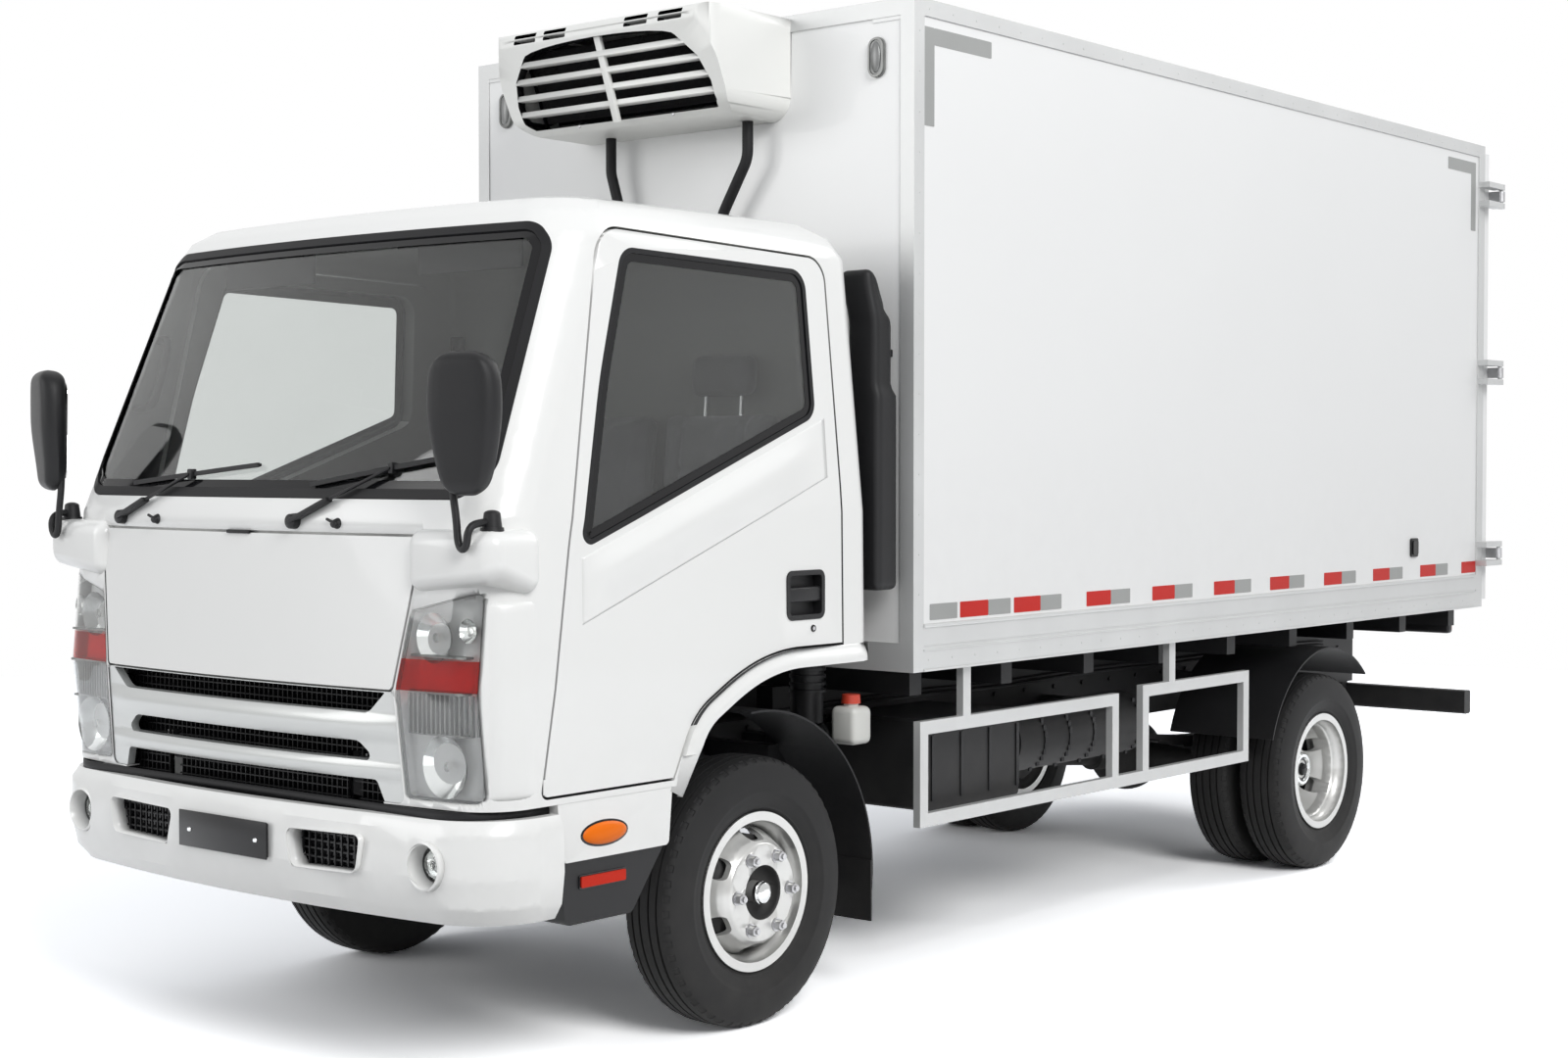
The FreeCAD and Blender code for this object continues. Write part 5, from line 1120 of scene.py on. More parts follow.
for side_name, side in SIDES:
    door = "cab_door_" + side_name

    def under_window(y, drop, side=side):
        return (side * 1.2, back(y), SILL_FRONT[1] + SILL_SLOPE * (y - SILL_FRONT[0]) - drop)

    corners = [under_window(LEDGE_Y[i], LEDGE_DROP[j]) for i, j in ((0, 0), (1, 0), (1, 1), (0, 1))]
    bm = draped(door, corners, (-side, 0, 0), 48, 24, ledge)
    draped_piece("door_ledge_" + side_name, bm, cab_white, door)

    face_x = surface_x(door, side, back(0.02), 1.2) * side
    bm = bmesh.new()
    wall_deep = face_x - CUP_WALL_X
    slab(bm, side_rect(side, face_x - 0.001, *CUP_RIM), 0.024, (side * 0.004, 0, 0), ring=0.014)
    slab(bm, side_rect(side, CUP_WALL_X, *CUP_WALL), 0.018, (side * wall_deep, 0, 0), ring=0.003)
    slab(bm, side_rect(side, CUP_FLOOR_X, *CUP_FLOOR), 0.018, (side * 0.0015, 0, 0))
    side_block(bm, side, (0.8785, 0.9015), (0.0415, 0.1935), (1.180, 1.222), 0.007, 4)
    piece("door_handle_" + side_name, bm, black_plastic, door)
    bm = bmesh.new()
    lock_x, lock_y = surface_x(door, side, back(LOCK_Y), LOCK_Z), back(LOCK_Y)
    for x_from, x_to, radius, end_radius, sides, material in (
            (-0.002, 0.003, 0.011, 0.0095, 28, 0), (0.0, 0.0038, 0.006, 0.0055, 20, 1)):
        start, end = [(lock_x + side * x, lock_y, LOCK_Z) for x in (x_from, x_to)]
        tube(bm, start, end, radius, end_radius, sides, material=material)
    piece("door_lock_" + side_name, bm, [gloss_black, plain_steel], door)
print("door skin at the handle x %.3f" % face_x)

# %% [markdown]
# ## Wheel arch flare
# The cab's arch has a rolled flare: full at the opening's edge, then falling away softly to the
# door. It is a grid whose columns follow the arch and whose rows run outwards from its edge.
# Two quadratic curves round the arch's corners. The first row is tucked in as a flange.


# %% Rolled flare
def bend(a, corner, b, t):
    return a.lerp(corner, t).lerp(corner.lerp(b, t), t)


def arch_line(count=26):
    """Points along the arch's edge in (y, z), with its two corners rounded."""
    foot, knee, shoulder, rear = [Vector(p) for p in (ARCH_FOOT, ARCH_KNEE, ARCH_SHOULDER, ARCH_REAR)]
    line = [foot]
    for corner, last, following, reach in ((knee, foot, shoulder, 0.050), (shoulder, knee, rear, 0.153)):
        enter = corner + (last - corner).normalized() * reach
        leave = corner + (following - corner).normalized() * reach
        line += [bend(enter, corner, leave, k / count) for k in range(count + 1)]
    return line + [Vector((0.30, rear.y)), Vector((0.36, rear.y)), Vector((0.40, rear.y)),
                   Vector((0.418, rear.y))]


FLARE_ROWS, FLARE_WIDE, FLARE_PROUD = 12, 0.050, 0.0135
for side_name, side in SIDES:
    line = arch_line()
    bm = bmesh.new()
    bmesh.ops.create_grid(bm, x_segments=len(line) - 1, y_segments=FLARE_ROWS, size=1.0)
    for v in bm.verts:
        column = round((v.co.x + 1) / 2 * (len(line) - 1))
        row = round((v.co.y + 1) / 2 * FLARE_ROWS) - 1
        here = line[column]
        along = line[min(column + 1, len(line) - 1)] - line[max(column - 1, 0)]
        out = Vector((-along.y, along.x)).normalized()
        beyond = here + out * (FLARE_WIDE + 0.012)
        base = max(abs(surface_x(node, side, back(beyond.x), beyond.y) or 0.0)
                   for node in ("cab_shell", "cab_door_" + side_name, "step_panels"))
        share = max(0, row) / (FLARE_ROWS - 1)
        fall = 1 - ease((share - 0.22) / 0.78)
        proud = FLARE_PROUD * fall * ease((here.y - 0.690) / 0.105) - 0.0008 * share
        if row < 0:
            proud = -0.018
        spot = here + out * FLARE_WIDE * share
        v.co = (side * (base + proud), back(spot.x), spot.y)
    draped_piece("arch_flare_" + side_name, bm, cab_white, "cab", thick=0.0012)
print("arch flare follows", len(line), "points, cab side at x %.3f" % base)

# %% [markdown]
# ## Corner panels
# Between headlamp and door the cab's corner is a separate moulding with a raised upright edge.

# %% Corner panel and its upright ridge
RIDGE_PROUD, RIDGE_Z = 0.0066, (0.745, 1.235)
RIDGE_EDGES = ((1.16, -1.29), (1.22, -1.155))


def upright(u, w):
    ends = ease(w / 0.04) * ease((1 - w) / 0.04)
    return RIDGE_PROUD * ends * (ease(u / 0.30) if u < 0.6 else ease((1 - u) / 0.40))


for side_name, side in SIDES:
    corners = [(side * RIDGE_EDGES[i][0], back(RIDGE_EDGES[i][1]), RIDGE_Z[j])
               for i, j in ((0, 0), (1, 0), (1, 1), (0, 1))]
    bm = draped("cab_shell", corners, (-side * 0.78, 0.62, 0), 14, 30, upright)
    draped_piece("corner_ridge_" + side_name, bm, cab_white, "cab")
print("corner panels draped")

# %% [markdown]
# ## Markers on the side
# A long oval amber lamp sits on the sill ahead of the wheel and a red reflector below it on the
# black step. The lamp is a dome, a squashed sphere half sunk in the panel, on a thin base. The
# reflector is a thin plate with rounded corners on a slightly larger one.


# %% Domed side markers
def dome(bm, centre, size, material=0):
    made = bmesh.ops.create_uvsphere(bm, u_segments=32, v_segments=16, radius=1.0)["verts"]
    bmesh.ops.scale(bm, verts=made, vec=size)
    bmesh.ops.translate(bm, verts=made, vec=centre)
    for v in made:
        for f in v.link_faces:
            f.material_index = material


MARKER_Y, MARKER_Z = -0.673, 0.633
STEP_Y, STEP_Z = -0.674, 0.516
for side_name, side in SIDES:
    spot = (surface_x("step_panels", side, back(MARKER_Y), MARKER_Z), back(MARKER_Y), MARKER_Z)
    bm = bmesh.new()
    dome(bm, spot, (0.0045, 0.086, 0.034), material=1)
    dome(bm, spot, (0.013, 0.080, 0.029))
    piece("side_marker_" + side_name, bm, [marker_amber, gloss_black], body_of["step_panels"])
    x = surface_x("step_treads", side, back(STEP_Y), STEP_Z)
    bm = bmesh.new()
    for inset, half_y, z_from, z_to, corner_r, proud, material in (
            (0.001, 0.085, 0.498, 0.534, 0.006, 0.004, 1), (0.0, 0.080, 0.502, 0.530, 0.004, 0.007, 0)):
        rect = side_rect(side, x * side - inset, STEP_Y - half_y, STEP_Y + half_y, z_from, z_to)
        slab(bm, rect, corner_r, (side * proud, 0, 0), material=material)
    piece("step_reflector_" + side_name, bm, [marker_red, gloss_black], body_of["step_treads"])
print("markers at x %.3f" % x)

# %% [markdown]
# ## Mirrors
# Each mirror stands on a white moulded pod on the cab's corner. A bent black tube carries a tall
# rounded head, turned a little outwards, with the glass on its rear face. The head is a bevelled
# block, narrowed towards its foot and bulged forwards, then smoothed by subdivision.


# %% A smooth bent bar
def bent_bar(name, points, radius, material, body, resolution=12):
    """Round bar along a smooth line through control points, turned into a mesh."""
    curve = bpy.data.curves.new(name, "CURVE")
    curve.dimensions = "3D"
    curve.bevel_depth = radius
    curve.bevel_resolution = 5
    curve.use_fill_caps = True
    spline = curve.splines.new("NURBS")
    spline.points.add(len(points) - 1)
    for p, co in zip(spline.points, points):
        p.co = tuple(co) + (1,)
    spline.order_u = 3
    spline.use_endpoint_u = True
    spline.resolution_u = resolution
    holder = linked(name + "_line", curve)
    mesh = bpy.data.meshes.new_from_object(holder.evaluated_get(bpy.context.evaluated_depsgraph_get()))
    bpy.data.objects.remove(holder)
    mesh.name = name
    mesh.materials.clear()
    mesh.materials.append(material)
    mesh.shade_smooth()
    made = linked(name, mesh)
    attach(made, body)


# %% Pods, heads and glass
MIRROR_X, MIRROR_Y, MIRROR_Z = 0.872, -1.118, 1.66
PIVOT_X, PIVOT_Y = 0.884, -1.046
for side_name, side in SIDES:
    bm = bmesh.new()
    block(bm, (0.640, back(-1.114), 1.250), (0.936, back(-0.918), 1.406), 0.040, 7)
    for v in bm.verts:
        outer = ease((v.co.x - 0.835) / 0.10) * ease((back(-0.97) - v.co.y) / 0.10)
        if v.co.z < 1.33:
            v.co.z += 0.038 * outer
        v.co.y += 0.022 * outer
    bmesh.ops.scale(bm, verts=bm.verts, vec=(side, 1, 1))
    piece("mirror_pod_" + side_name, bm, cab_white, "cab")

    bm = bmesh.new()
    pivot = Vector((side * PIVOT_X, back(PIVOT_Y), 0))
    tube(bm, pivot + Z * 1.402, pivot + Z * 1.412, 0.030, 0.028, 32)
    tube(bm, pivot + Z * 1.412, pivot + Z * 1.446, 0.0245, 0.020, 32)
    dome(bm, pivot + Z * 1.444, (0.0205, 0.0205, 0.010))
    piece("mirror_pivot_" + side_name, bm, black_plastic, "cab")
    y = back(MIRROR_Y)
    bent_bar("mirror_arm_" + side_name, [
        (side * 0.822, y, 1.56), (side * 0.824, y, 1.50), (side * 0.838, y, 1.43), (side * 0.842, y, 1.375),
        (side * 0.858, y, 1.357), (side * 0.874, y, 1.372), (side * 0.877, y, 1.405),
        (side * 0.880, y + 0.022, 1.425),
        pivot + Z * 1.425], 0.0095, black_plastic, "cab")

    centre = Vector((side * MIRROR_X, y, MIRROR_Z))
    turn = Matrix.Translation(centre) @ Matrix.Rotation(math.radians(side * 20), 4, "Z")
    bm = bmesh.new()
    block(bm, (-0.096, -0.042, -0.172), (0.096, 0.028, 0.172), 0.034, 5)
    tall = [e for e in bm.edges if abs(e.verts[0].co.z - e.verts[1].co.z) > 0.1]
    bmesh.ops.subdivide_edges(bm, edges=tall, cuts=14, use_grid_fill=True)
    for v in bm.verts:
        down = ease((0.04 - v.co.z) / 0.20)
        share = abs(v.co.z) / 0.176
        v.co.x *= (1 - 0.24 * down) * (1 - share ** 5) ** 0.42
        if v.co.y < 0:
            v.co.y -= 0.006 * (1 - (v.co.x / 0.1) ** 2)
            v.co.y += 0.016 * down
    bmesh.ops.transform(bm, verts=bm.verts, matrix=turn)
    head = piece("mirror_head_" + side_name, bm, black_plastic, "cab")
    soft = head.modifiers.new("soft", "SUBSURF")
    soft.levels = soft.render_levels = 1
    bm = bmesh.new()
    outline = ((-0.056, -0.14), (0.056, -0.14), (0.078, 0.138), (-0.078, 0.138))
    slab(bm, [(x, 0.0285, z) for x, z in outline], 0.042, (0, 0.0025, 0))
    bmesh.ops.transform(bm, verts=bm.verts, matrix=turn)
    piece("mirror_glass_" + side_name, bm, mirror_face, "cab")
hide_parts("mirrors")
print("mirror heads at x %.3f, z %.3f" % (MIRROR_X, MIRROR_Z))

# %% [markdown]
# ## Wipers and washer jets
# Two wipers park along the foot of the windscreen. Each has a domed pivot cap, a tapered arm
# that springs off the panel, a slim arm end, and a blade: a carrier with a rubber lip that lies
# on the glass. The blade's ends are placed by casting rays at the glass.

# %% Wipers
# x of the pivot and of the blade's two ends, and how far the blade rises to its outer end
WIPERS = ((0.225, 0.255, 0.80, 0.085), (-0.560, -0.545, 0.02, 0.05))
PIVOT_Z, BLADE_Z, BLADE_STEPS, JET_Z = 1.418, 1.512, 10, 1.414


def on_screen(x, z, off):
    return Vector((x, surface_y("cab_glass", x, z) - off, z))


for index, (pivot_x, blade_from, blade_to, rise) in enumerate(WIPERS):
    bm = bmesh.new()
    pivot = Vector((pivot_x, surface_y("cab_shell", pivot_x, PIVOT_Z), PIVOT_Z))
    start, end = on_screen(blade_from, BLADE_Z, 0.014), on_screen(blade_to, BLADE_Z + rise, 0.014)
    clip = start.lerp(end, 0.5)
    tube(bm, pivot + Vector((0, 0.004, 0)), pivot - Vector((0, 0.018, 0)), 0.021, 0.019, 28)
    dome(bm, pivot - Vector((0, 0.018, 0)), (0.019, 0.008, 0.019))
    knee = pivot.lerp(clip, 0.42) - Vector((0, 0.024, 0))
    between(bm, pivot - Vector((0, 0.016, 0)), knee, 0.026, 0.014, 0.004)
    between(bm, knee, clip - Vector((0, 0.016, 0)), 0.013, 0.007, 0.002)
    between(bm, clip - Vector((0, 0.018, 0)), clip + Vector((0, 0.002, 0)), 0.018, 0.028, 0.003)
    for k in range(BLADE_STEPS):
        a, b = start.lerp(end, k / BLADE_STEPS), start.lerp(end, (k + 1) / BLADE_STEPS)
        a.y, b.y = on_screen(a.x, a.z, 0.012).y, on_screen(b.x, b.z, 0.012).y
        between(bm, a, b, 0.009, 0.012, 0.0)
        a.y += 0.008
        b.y += 0.008
        between(bm, a, b, 0.004, 0.008, 0.0, material=1)
    piece("wiper_%d" % (index + 1), bm, [black_plastic, seal_rubber], "cab")
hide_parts("wipers")
bm = bmesh.new()
for x in (-0.381, 0.381):
    spot = Vector((x, surface_y("cab_shell", x, JET_Z), JET_Z))
    tube(bm, spot + Vector((0, 0.002, 0)), spot - Vector((0, 0.008, 0)), 0.015, 0.011, 24)
    dome(bm, spot - Vector((0, 0.010, 0.001)), (0.012, 0.009, 0.010))
    between(bm, spot - Vector((0, 0.008, 0)), spot + Vector((-0.030, -0.010, 0.012)), 0.007, 0.007, 0.002)
piece("washer_jets", bm, black_plastic, "cab")
bm = bmesh.new()
lid_y = surface_y("front_lid", 0.0, 1.37)
block(bm, (-0.0475, lid_y - 0.0045, 1.3830), (0.0475, lid_y + 0.004, 1.3925), 0.0015, 2)
piece("lid_hinge_cover", bm, seal_rubber, "front_lid")
print("wiper blades set")

# %% [markdown]
# ## The box's trims and tapes
# The box's aluminium frame is an extrusion with soft corners, so a copy of it is merged and its
# edges are bevelled. Two raised lines run along the skirt. Above the skirt comes the reflective
# tape: short red and grey blocks, one thin rounded plate each, and grey angle pieces in the
# side's upper corners.

# %% Softened frame and skirt lines
bm = clean_copy("box_frame", lambda f: True)
bmesh.ops.dissolve_limit(bm, angle_limit=math.radians(0.5), verts=bm.verts, edges=bm.edges)
trims = piece("box_trims", bm, trim_alloy, "chassis")
softened(trims, 0.009, 3, fold=50)
trims.modifiers.new("even", "WEIGHTED_NORMAL")
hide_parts("box_frame")
BOX_FRONT, BOX_REAR, BOX_SIDE = 0.590, 4.700, 0.930
bm = bmesh.new()
for side_name, side in SIDES:
    for low, high, out in ((1.080, 1.092, 0.0045), (1.0105, 1.0165, 0.003), (0.950, 0.958, 0.004)):
        xs, ys = (BOX_SIDE - 0.004, BOX_SIDE + out), (BOX_FRONT + 0.045, BOX_REAR - 0.085)
        side_block(bm, side, xs, ys, (low, high), 0.0014)
piece("skirt_lines", bm, trim_alloy, "chassis")
print("box frame softened")

# %% Reflective tape
TAPE_Z = (1.101, 1.149)
red_starts = (0.827, 1.116, 1.536, 1.951, 2.374, 2.790, 3.223, 3.647, 4.086, 4.497)
for side_name, side in SIDES:
    wall_x = abs(surface_x("box_side_walls", side, back(2.0), 1.12))

    def tape(bm, y_from, y_to, z_from, z_to, material, side=side, wall_x=wall_x):
        rect = side_rect(side, wall_x - 0.0003, y_from, y_to, z_from, z_to)
        slab(bm, rect, 0.003, (side * 0.0013, 0, 0), material=material, segments=2)

    bm = bmesh.new()
    tape(bm, 0.672, 0.812, *TAPE_Z, 1)
    for start in red_starts:
        tape(bm, start, start + 0.148, *TAPE_Z, 0)
        if start + 0.30 < BOX_REAR - 0.08:
            tape(bm, start + 0.149, min(start + 0.270, BOX_REAR - 0.10), *TAPE_Z, 1)
    for y_from, y_to, foot in ((0.690, 0.985, 2.800), (0.640, 0.690, 2.560), (4.330, 4.565, 2.800),
                               (4.565, 4.612, 2.560)):
        tape(bm, y_from, y_to, foot, 2.850, 1)
    piece("side_tape_" + side_name, bm, [tape_red, tape_grey], "chassis", smooth=False)
    bm = bmesh.new()
    slab(bm, side_rect(side, wall_x - 0.0003, 3.985, 4.050, 1.186, 1.262), 0.010, (side * 0.008, 0, 0))
    slab(bm, side_rect(side, wall_x + 0.007, 3.994, 4.041, 1.196, 1.252), 0.008, (side * 0.006, 0, 0),
         material=1)
    piece("side_socket_" + side_name, bm, [black_plastic, gloss_black], "chassis")
print("tape blocks a side:", 2 * len(red_starts) + 4)

# %% [markdown]
# ## Rivets
# Blind rivets hold the trims. There are many, so each is a tiny cone of eight sides, all in
# one mesh.

# %% Rivet rows
RIVET_R, RIVET_HEAD_R, RIVET_SIDES = 0.0036, 0.0022, 8
RAIL_Z, RAIL_FROM, RAIL_PITCH, RAIL_RIVETS = (2.901, 0.985), 0.66, 0.12, 34
POST_Y, POST_FROM, POST_PITCH, POST_RIVETS = 0.612, 1.18, 0.118, 15
bm = bmesh.new()


def rivet(start, end):
    tube(bm, start, end, RIVET_R, RIVET_HEAD_R, RIVET_SIDES)


def side_rivet(side, y, z):
    rivet((side * 0.9285, back(y), z), (side * 0.9315, back(y), z))


for side_name, side in SIDES:
    for k in range(RAIL_RIVETS):
        for z in RAIL_Z:
            side_rivet(side, RAIL_FROM + k * RAIL_PITCH, z)
    for k in range(POST_RIVETS):
        z = POST_FROM + k * POST_PITCH
        side_rivet(side, POST_Y, z)
        rivet((side * 0.902, back(0.5915), z), (side * 0.902, back(0.5880), z))
rivets = piece("trim_rivets", bm, trim_alloy, "chassis")
print("rivet faces:", len(rivets.data.polygons))

# %% [markdown]
# ## Lamps on the box and the tail
# Two upright oval lamps mark the top of the box's front. At the tail each side has a long lamp
# in three coloured parts with a black body. A lens is a dome or a rounded block over a dark
# base, with ribs where the real one has them.

# %% Oval front markers and two small plates
front_y = surface_y("box_front_wall", 0.70, 2.60)
TOP_MARKER_X, TOP_MARKER_Z = 0.792, 2.765
FRONT_PLATES, FRONT_PLATE_Z = ((0.775, 0.885), (-0.885, -0.775)), (2.868, 2.898)


def front_rect(x_from, x_to, y, z_from, z_to):
    return [(x_from, y, z_from), (x_to, y, z_from), (x_to, y, z_to), (x_from, y, z_to)]


for side_name, side in SIDES:
    x, z = side * TOP_MARKER_X, TOP_MARKER_Z
    bm = bmesh.new()
    for half_x, half_z, y_from, deep, ring_wide, material in (
            (0.030, 0.060, 0.0, -0.007, None, 1), (0.0275, 0.0575, -0.007, -0.006, 0.006, 1),
            (0.021, 0.050, -0.006, -0.004, None, 0)):
        corners = front_rect(x - half_x, x + half_x, front_y + y_from, z - half_z, z + half_z)
        slab(bm, corners, half_x * 0.97, (0, deep, 0), ring=ring_wide, material=material, segments=10)
    dome(bm, (x, front_y - 0.010, z), (0.018, 0.009, 0.046))
    piece("box_marker_" + side_name, bm, [lamp_shell, lamp_grey], "chassis")
bm = bmesh.new()
for x_from, x_to in FRONT_PLATES:
    rect = front_rect(x_from, x_to, front_y + 0.0002, *FRONT_PLATE_Z)
    slab(bm, rect, 0.004, (0, -0.003, 0), segments=3)
    for x in (x_from + 0.012, x_to - 0.012):
        dome(bm, (x, front_y - 0.003, sum(FRONT_PLATE_Z) / 2), (0.004, 0.002, 0.004))
piece("box_front_plates", bm, trim_alloy, "chassis")
print("front markers at z %.3f" % TOP_MARKER_Z)

# %% Tail lamps
# each part of the lamp: where it starts and ends from the middle, and its material
TAIL_PARTS = ((0.552, 0.612, 2), (0.615, 0.705, 0), (0.708, 0.798, 1))
TAIL_RIBS, TAIL_RIBS_FROM, TAIL_RIB_PITCH, TAIL_RIB = 7, 0.846, 0.0125, 0.003
for side_name, side in SIDES:
    bm = bmesh.new()
    side_block(bm, side, (0.545, 0.805), (4.645, 4.690), (0.830, 0.940), 0.012, 4, material=3)
    side_block(bm, side, (0.645, 0.695), (4.655, 4.685), (0.930, 0.955), 0.002, 1, material=3)
    for start, end, material in TAIL_PARTS:
        side_block(bm, side, (start, end), (4.684, 4.704), (0.838, 0.932), 0.007, 4, material)
        for k in range(TAIL_RIBS):
            z = TAIL_RIBS_FROM + k * TAIL_RIB_PITCH
            rib = ((start + 0.006, end - 0.006), (4.7025, 4.7045), (z, z + TAIL_RIB))
            side_block(bm, side, *rib, 0.0, 1, material)
    finishes = [marker_red, marker_amber, lamp_shell, black_plastic]
    tail = piece("tail_lamp_" + side_name, bm, finishes, "chassis")
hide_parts("chassis_lamps")
print("tail lamps made")

# %% [markdown]
# ## Snorkel
# The engine breathes through a tall flat duct behind the cab. It is a moulded part: an upright
# with big soft corners, a hood bent forwards at the top and a wider foot that drops to the air
# cleaner, a ribbed drum on the chassis.

# %% Duct, foot and air cleaner
DUCT_Z, PIPE_Z, PIPE_Y = (1.196, 2.130), (1.330, 0.790), 0.505
PIPE_RIBS, RIB_FROM, RIB_PITCH, RIB_TALL, RIB_R = 8, 0.880, 0.022, 0.009, 0.056
bm = bmesh.new()
block(bm, (0.782, back(0.454), DUCT_Z[0]), (0.899, back(0.554), DUCT_Z[1]), 0.020, 4)
deep = [e for e in bm.edges if abs(e.verts[0].co.y - e.verts[1].co.y) > 0.03]
bmesh.ops.subdivide_edges(bm, edges=deep, cuts=7, use_grid_fill=True)
tall = [e for e in bm.edges if abs(e.verts[0].co.z - e.verts[1].co.z) > 0.5]
bmesh.ops.subdivide_edges(bm, edges=tall, cuts=48, use_grid_fill=True)
for v in bm.verts:
    slim = ease((v.co.z - 1.76) / 0.035)
    rearward = ease((v.co.y - back(0.460)) / 0.09)
    v.co.y -= 0.014 * slim * rearward
    v.co.x -= 0.010 * slim * ease((v.co.x - 0.80) / 0.08)
    top = ease((v.co.z - 1.96) / 0.16)
    v.co.z -= 0.085 * top * rearward ** 2
    v.co.x -= 0.020 * top
    v.co.y -= 0.010 * top
block(bm, (0.560, back(0.470), 1.270), (0.800, back(0.540), 1.370), 0.022, 4)
tube(bm, (0.600, back(PIPE_Y), PIPE_Z[0]), (0.590, back(PIPE_Y), PIPE_Z[1]), 0.050, segments=36)
for k in range(PIPE_RIBS):
    low, high = [(0.594, back(PIPE_Y), foot + k * RIB_PITCH) for foot in (RIB_FROM, RIB_FROM + RIB_TALL)]
    tube(bm, low, high, RIB_R, segments=36)
duct = piece("snorkel_duct", bm, black_plastic, "chassis")
bm = bmesh.new()
spot = Vector((0.560, back(0.450), 0.720))
# section of the drum: distance along it and radius
profile = ((0.0, 0.0), (0.000, 0.080), (0.006, 0.090), (0.016, 0.094), (0.022, 0.090), (0.030, 0.094),
           (0.038, 0.090),
           (0.046, 0.094), (0.054, 0.090), (0.080, 0.090), (0.084, 0.095), (0.092, 0.095), (0.096, 0.088),
           (0.110, 0.070), (0.110, 0.0))
spun(bm, profile, spot, Y, 56)
bmesh.ops.remove_doubles(bm, verts=bm.verts, dist=1e-5)
block(bm, (0.320, back(0.474), 0.695), (0.500, back(0.536), 0.745), 0.004, 2)
piece("air_cleaner", bm, black_plastic, "chassis")
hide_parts("intake_snorkel")
bm = bmesh.new()
for z in (1.30, 1.88):
    block(bm, (0.800, back(0.545), z), (0.850, back(0.590), z + 0.022), 0.002, 1)
piece("snorkel_brackets", bm, black_plastic, "chassis")
print("snorkel from z %.2f to %.2f" % (PIPE_Z[1], DUCT_Z[1]))

# %% [markdown]
# ## The unit's louvre
# The opening is a fan: a flat foot, sides that lean in and an arched top. It is cut through the
# smoothed housing with a Boolean, and the white slats are long bars trimmed by the same fan
# shape, so they end exactly at its edge. A middle bar joins them.

# %% Fan opening, slats and middle bar
LOUVRE_FOOT, LOUVRE_CROWN, LOUVRE_ROWS = 2.630, 2.866, 5
CROWN_HALF, CROWN_RISE = 0.322, 0.031
VENTS = (-0.345, -0.215, 0.130, 0.270)
fan_sides = ((-CROWN_HALF, LOUVRE_CROWN - CROWN_RISE), (-0.385, 2.772), (-0.410, 2.700), (-0.408, 2.648),
             (-0.388, LOUVRE_FOOT))


def fan_prism(grow, y_from, y_to):
    """Fan outline, grown by an amount, run along Y as a closed solid."""
    left = [(x - grow, z) for x, z in fan_sides]
    right = [(-x, z) for x, z in reversed(left)]
    crown = [(CROWN_HALF * math.cos(math.radians(a)),
              LOUVRE_CROWN - CROWN_RISE + (CROWN_RISE + grow) * math.sin(math.radians(a)))
             for a in range(15, 180, 15)]
    outline = [(x, z - grow if z == LOUVRE_FOOT else z) for x, z in left + right] + crown
    bm = bmesh.new()
    face = bm.faces.new([bm.verts.new((x, y_from, z)) for x, z in outline])
    grown = bmesh.ops.extrude_face_region(bm, geom=[face])["geom"]
    bmesh.ops.translate(bm, verts=moved_part(grown), vec=(0, y_to - y_from, 0))
    bmesh.ops.recalc_face_normals(bm, faces=bm.faces)
    for x_from in VENTS if grow == 0 else ():
        for z_from, z_to in ((2.8785, 2.8905), (2.8965, 2.9090)):
            block(bm, (x_from - 0.002, y_from, z_from), (x_from + 0.094, y_to, z_to), 0.003, 2)
    # the cutter is gloss black, and the cut passes that to the walls it leaves in the housing: painted
    # shade in the opening and the vent slots
    return linked("fan", mesh_from("fan", bm, gloss_black))


def trimmed(target, cutter, operation):
    """Apply a Boolean to a piece's mesh and remove the cutter."""
    cut = target.modifiers.new("cut", "BOOLEAN")
    cut.object = cutter
    cut.operation = operation
    cut.solver = "EXACT"
    cut.material_mode = "TRANSFER" if operation == "DIFFERENCE" else "INDEX"
    others = [(m, m.show_viewport) for m in target.modifiers if m != cut]
    for m, _ in others:
        m.show_viewport = False
    depsgraph = bpy.context.evaluated_depsgraph_get()
    mesh = bpy.data.meshes.new_from_object(target.evaluated_get(depsgraph))
    for m, shown in others:
        m.show_viewport = shown
    target.modifiers.remove(cut)
    target.data = mesh
    bpy.data.objects.remove(cutter)
    return len(mesh.polygons)


FAN_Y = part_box("reefer_housing")[0].y - 0.05
middle_y = surface_y("reefer_housing", 0.0, 2.75)
foot_y, crown_y = surface_y("reefer_housing", 0.0, 2.655), surface_y("reefer_housing", 0.0, 2.845)
faces_left = trimmed(unit_panel, fan_prism(0.0, FAN_Y, middle_y + 0.15), "DIFFERENCE")
print("unit panel faces after the cut:", faces_left)
bm = bmesh.new()
pitch = (LOUVRE_CROWN - LOUVRE_FOOT) / LOUVRE_ROWS
for row in range(1, LOUVRE_ROWS):
    z = LOUVRE_FOOT + row * pitch
    y = foot_y + (crown_y - foot_y) * (z - 2.655) / 0.19
    bar = block(bm, (-0.45, y + 0.0015, z - 0.0085), (0.45, y + 0.040, z + 0.0085), 0.003, 3)
    for v in bar:
        if v.is_valid and v.co.y > y + 0.02:
            v.co.z += 0.010
slats = piece("louvre_slats", bm, unit_white, "chassis")
trimmed(slats, fan_prism(0.004, FAN_Y, middle_y + 0.15), "INTERSECT")
bm = bmesh.new()
between(bm, (0, foot_y + 0.006, LOUVRE_FOOT - 0.012), (0, crown_y + 0.006, LOUVRE_CROWN + 0.006), 0.026,
        0.014, 0.003)
piece("louvre_bar", bm, unit_white, "chassis")
print("louvre rows", LOUVRE_ROWS, "pitch %.3f" % pitch)

# %% [markdown]
# ## Condenser and unit trim
# Behind the unit's louvre sits the condenser: a block of thin upright fins with tubes
# across. Two small screws show at the housing's foot, and two clips hold each hose to the box's
# front.

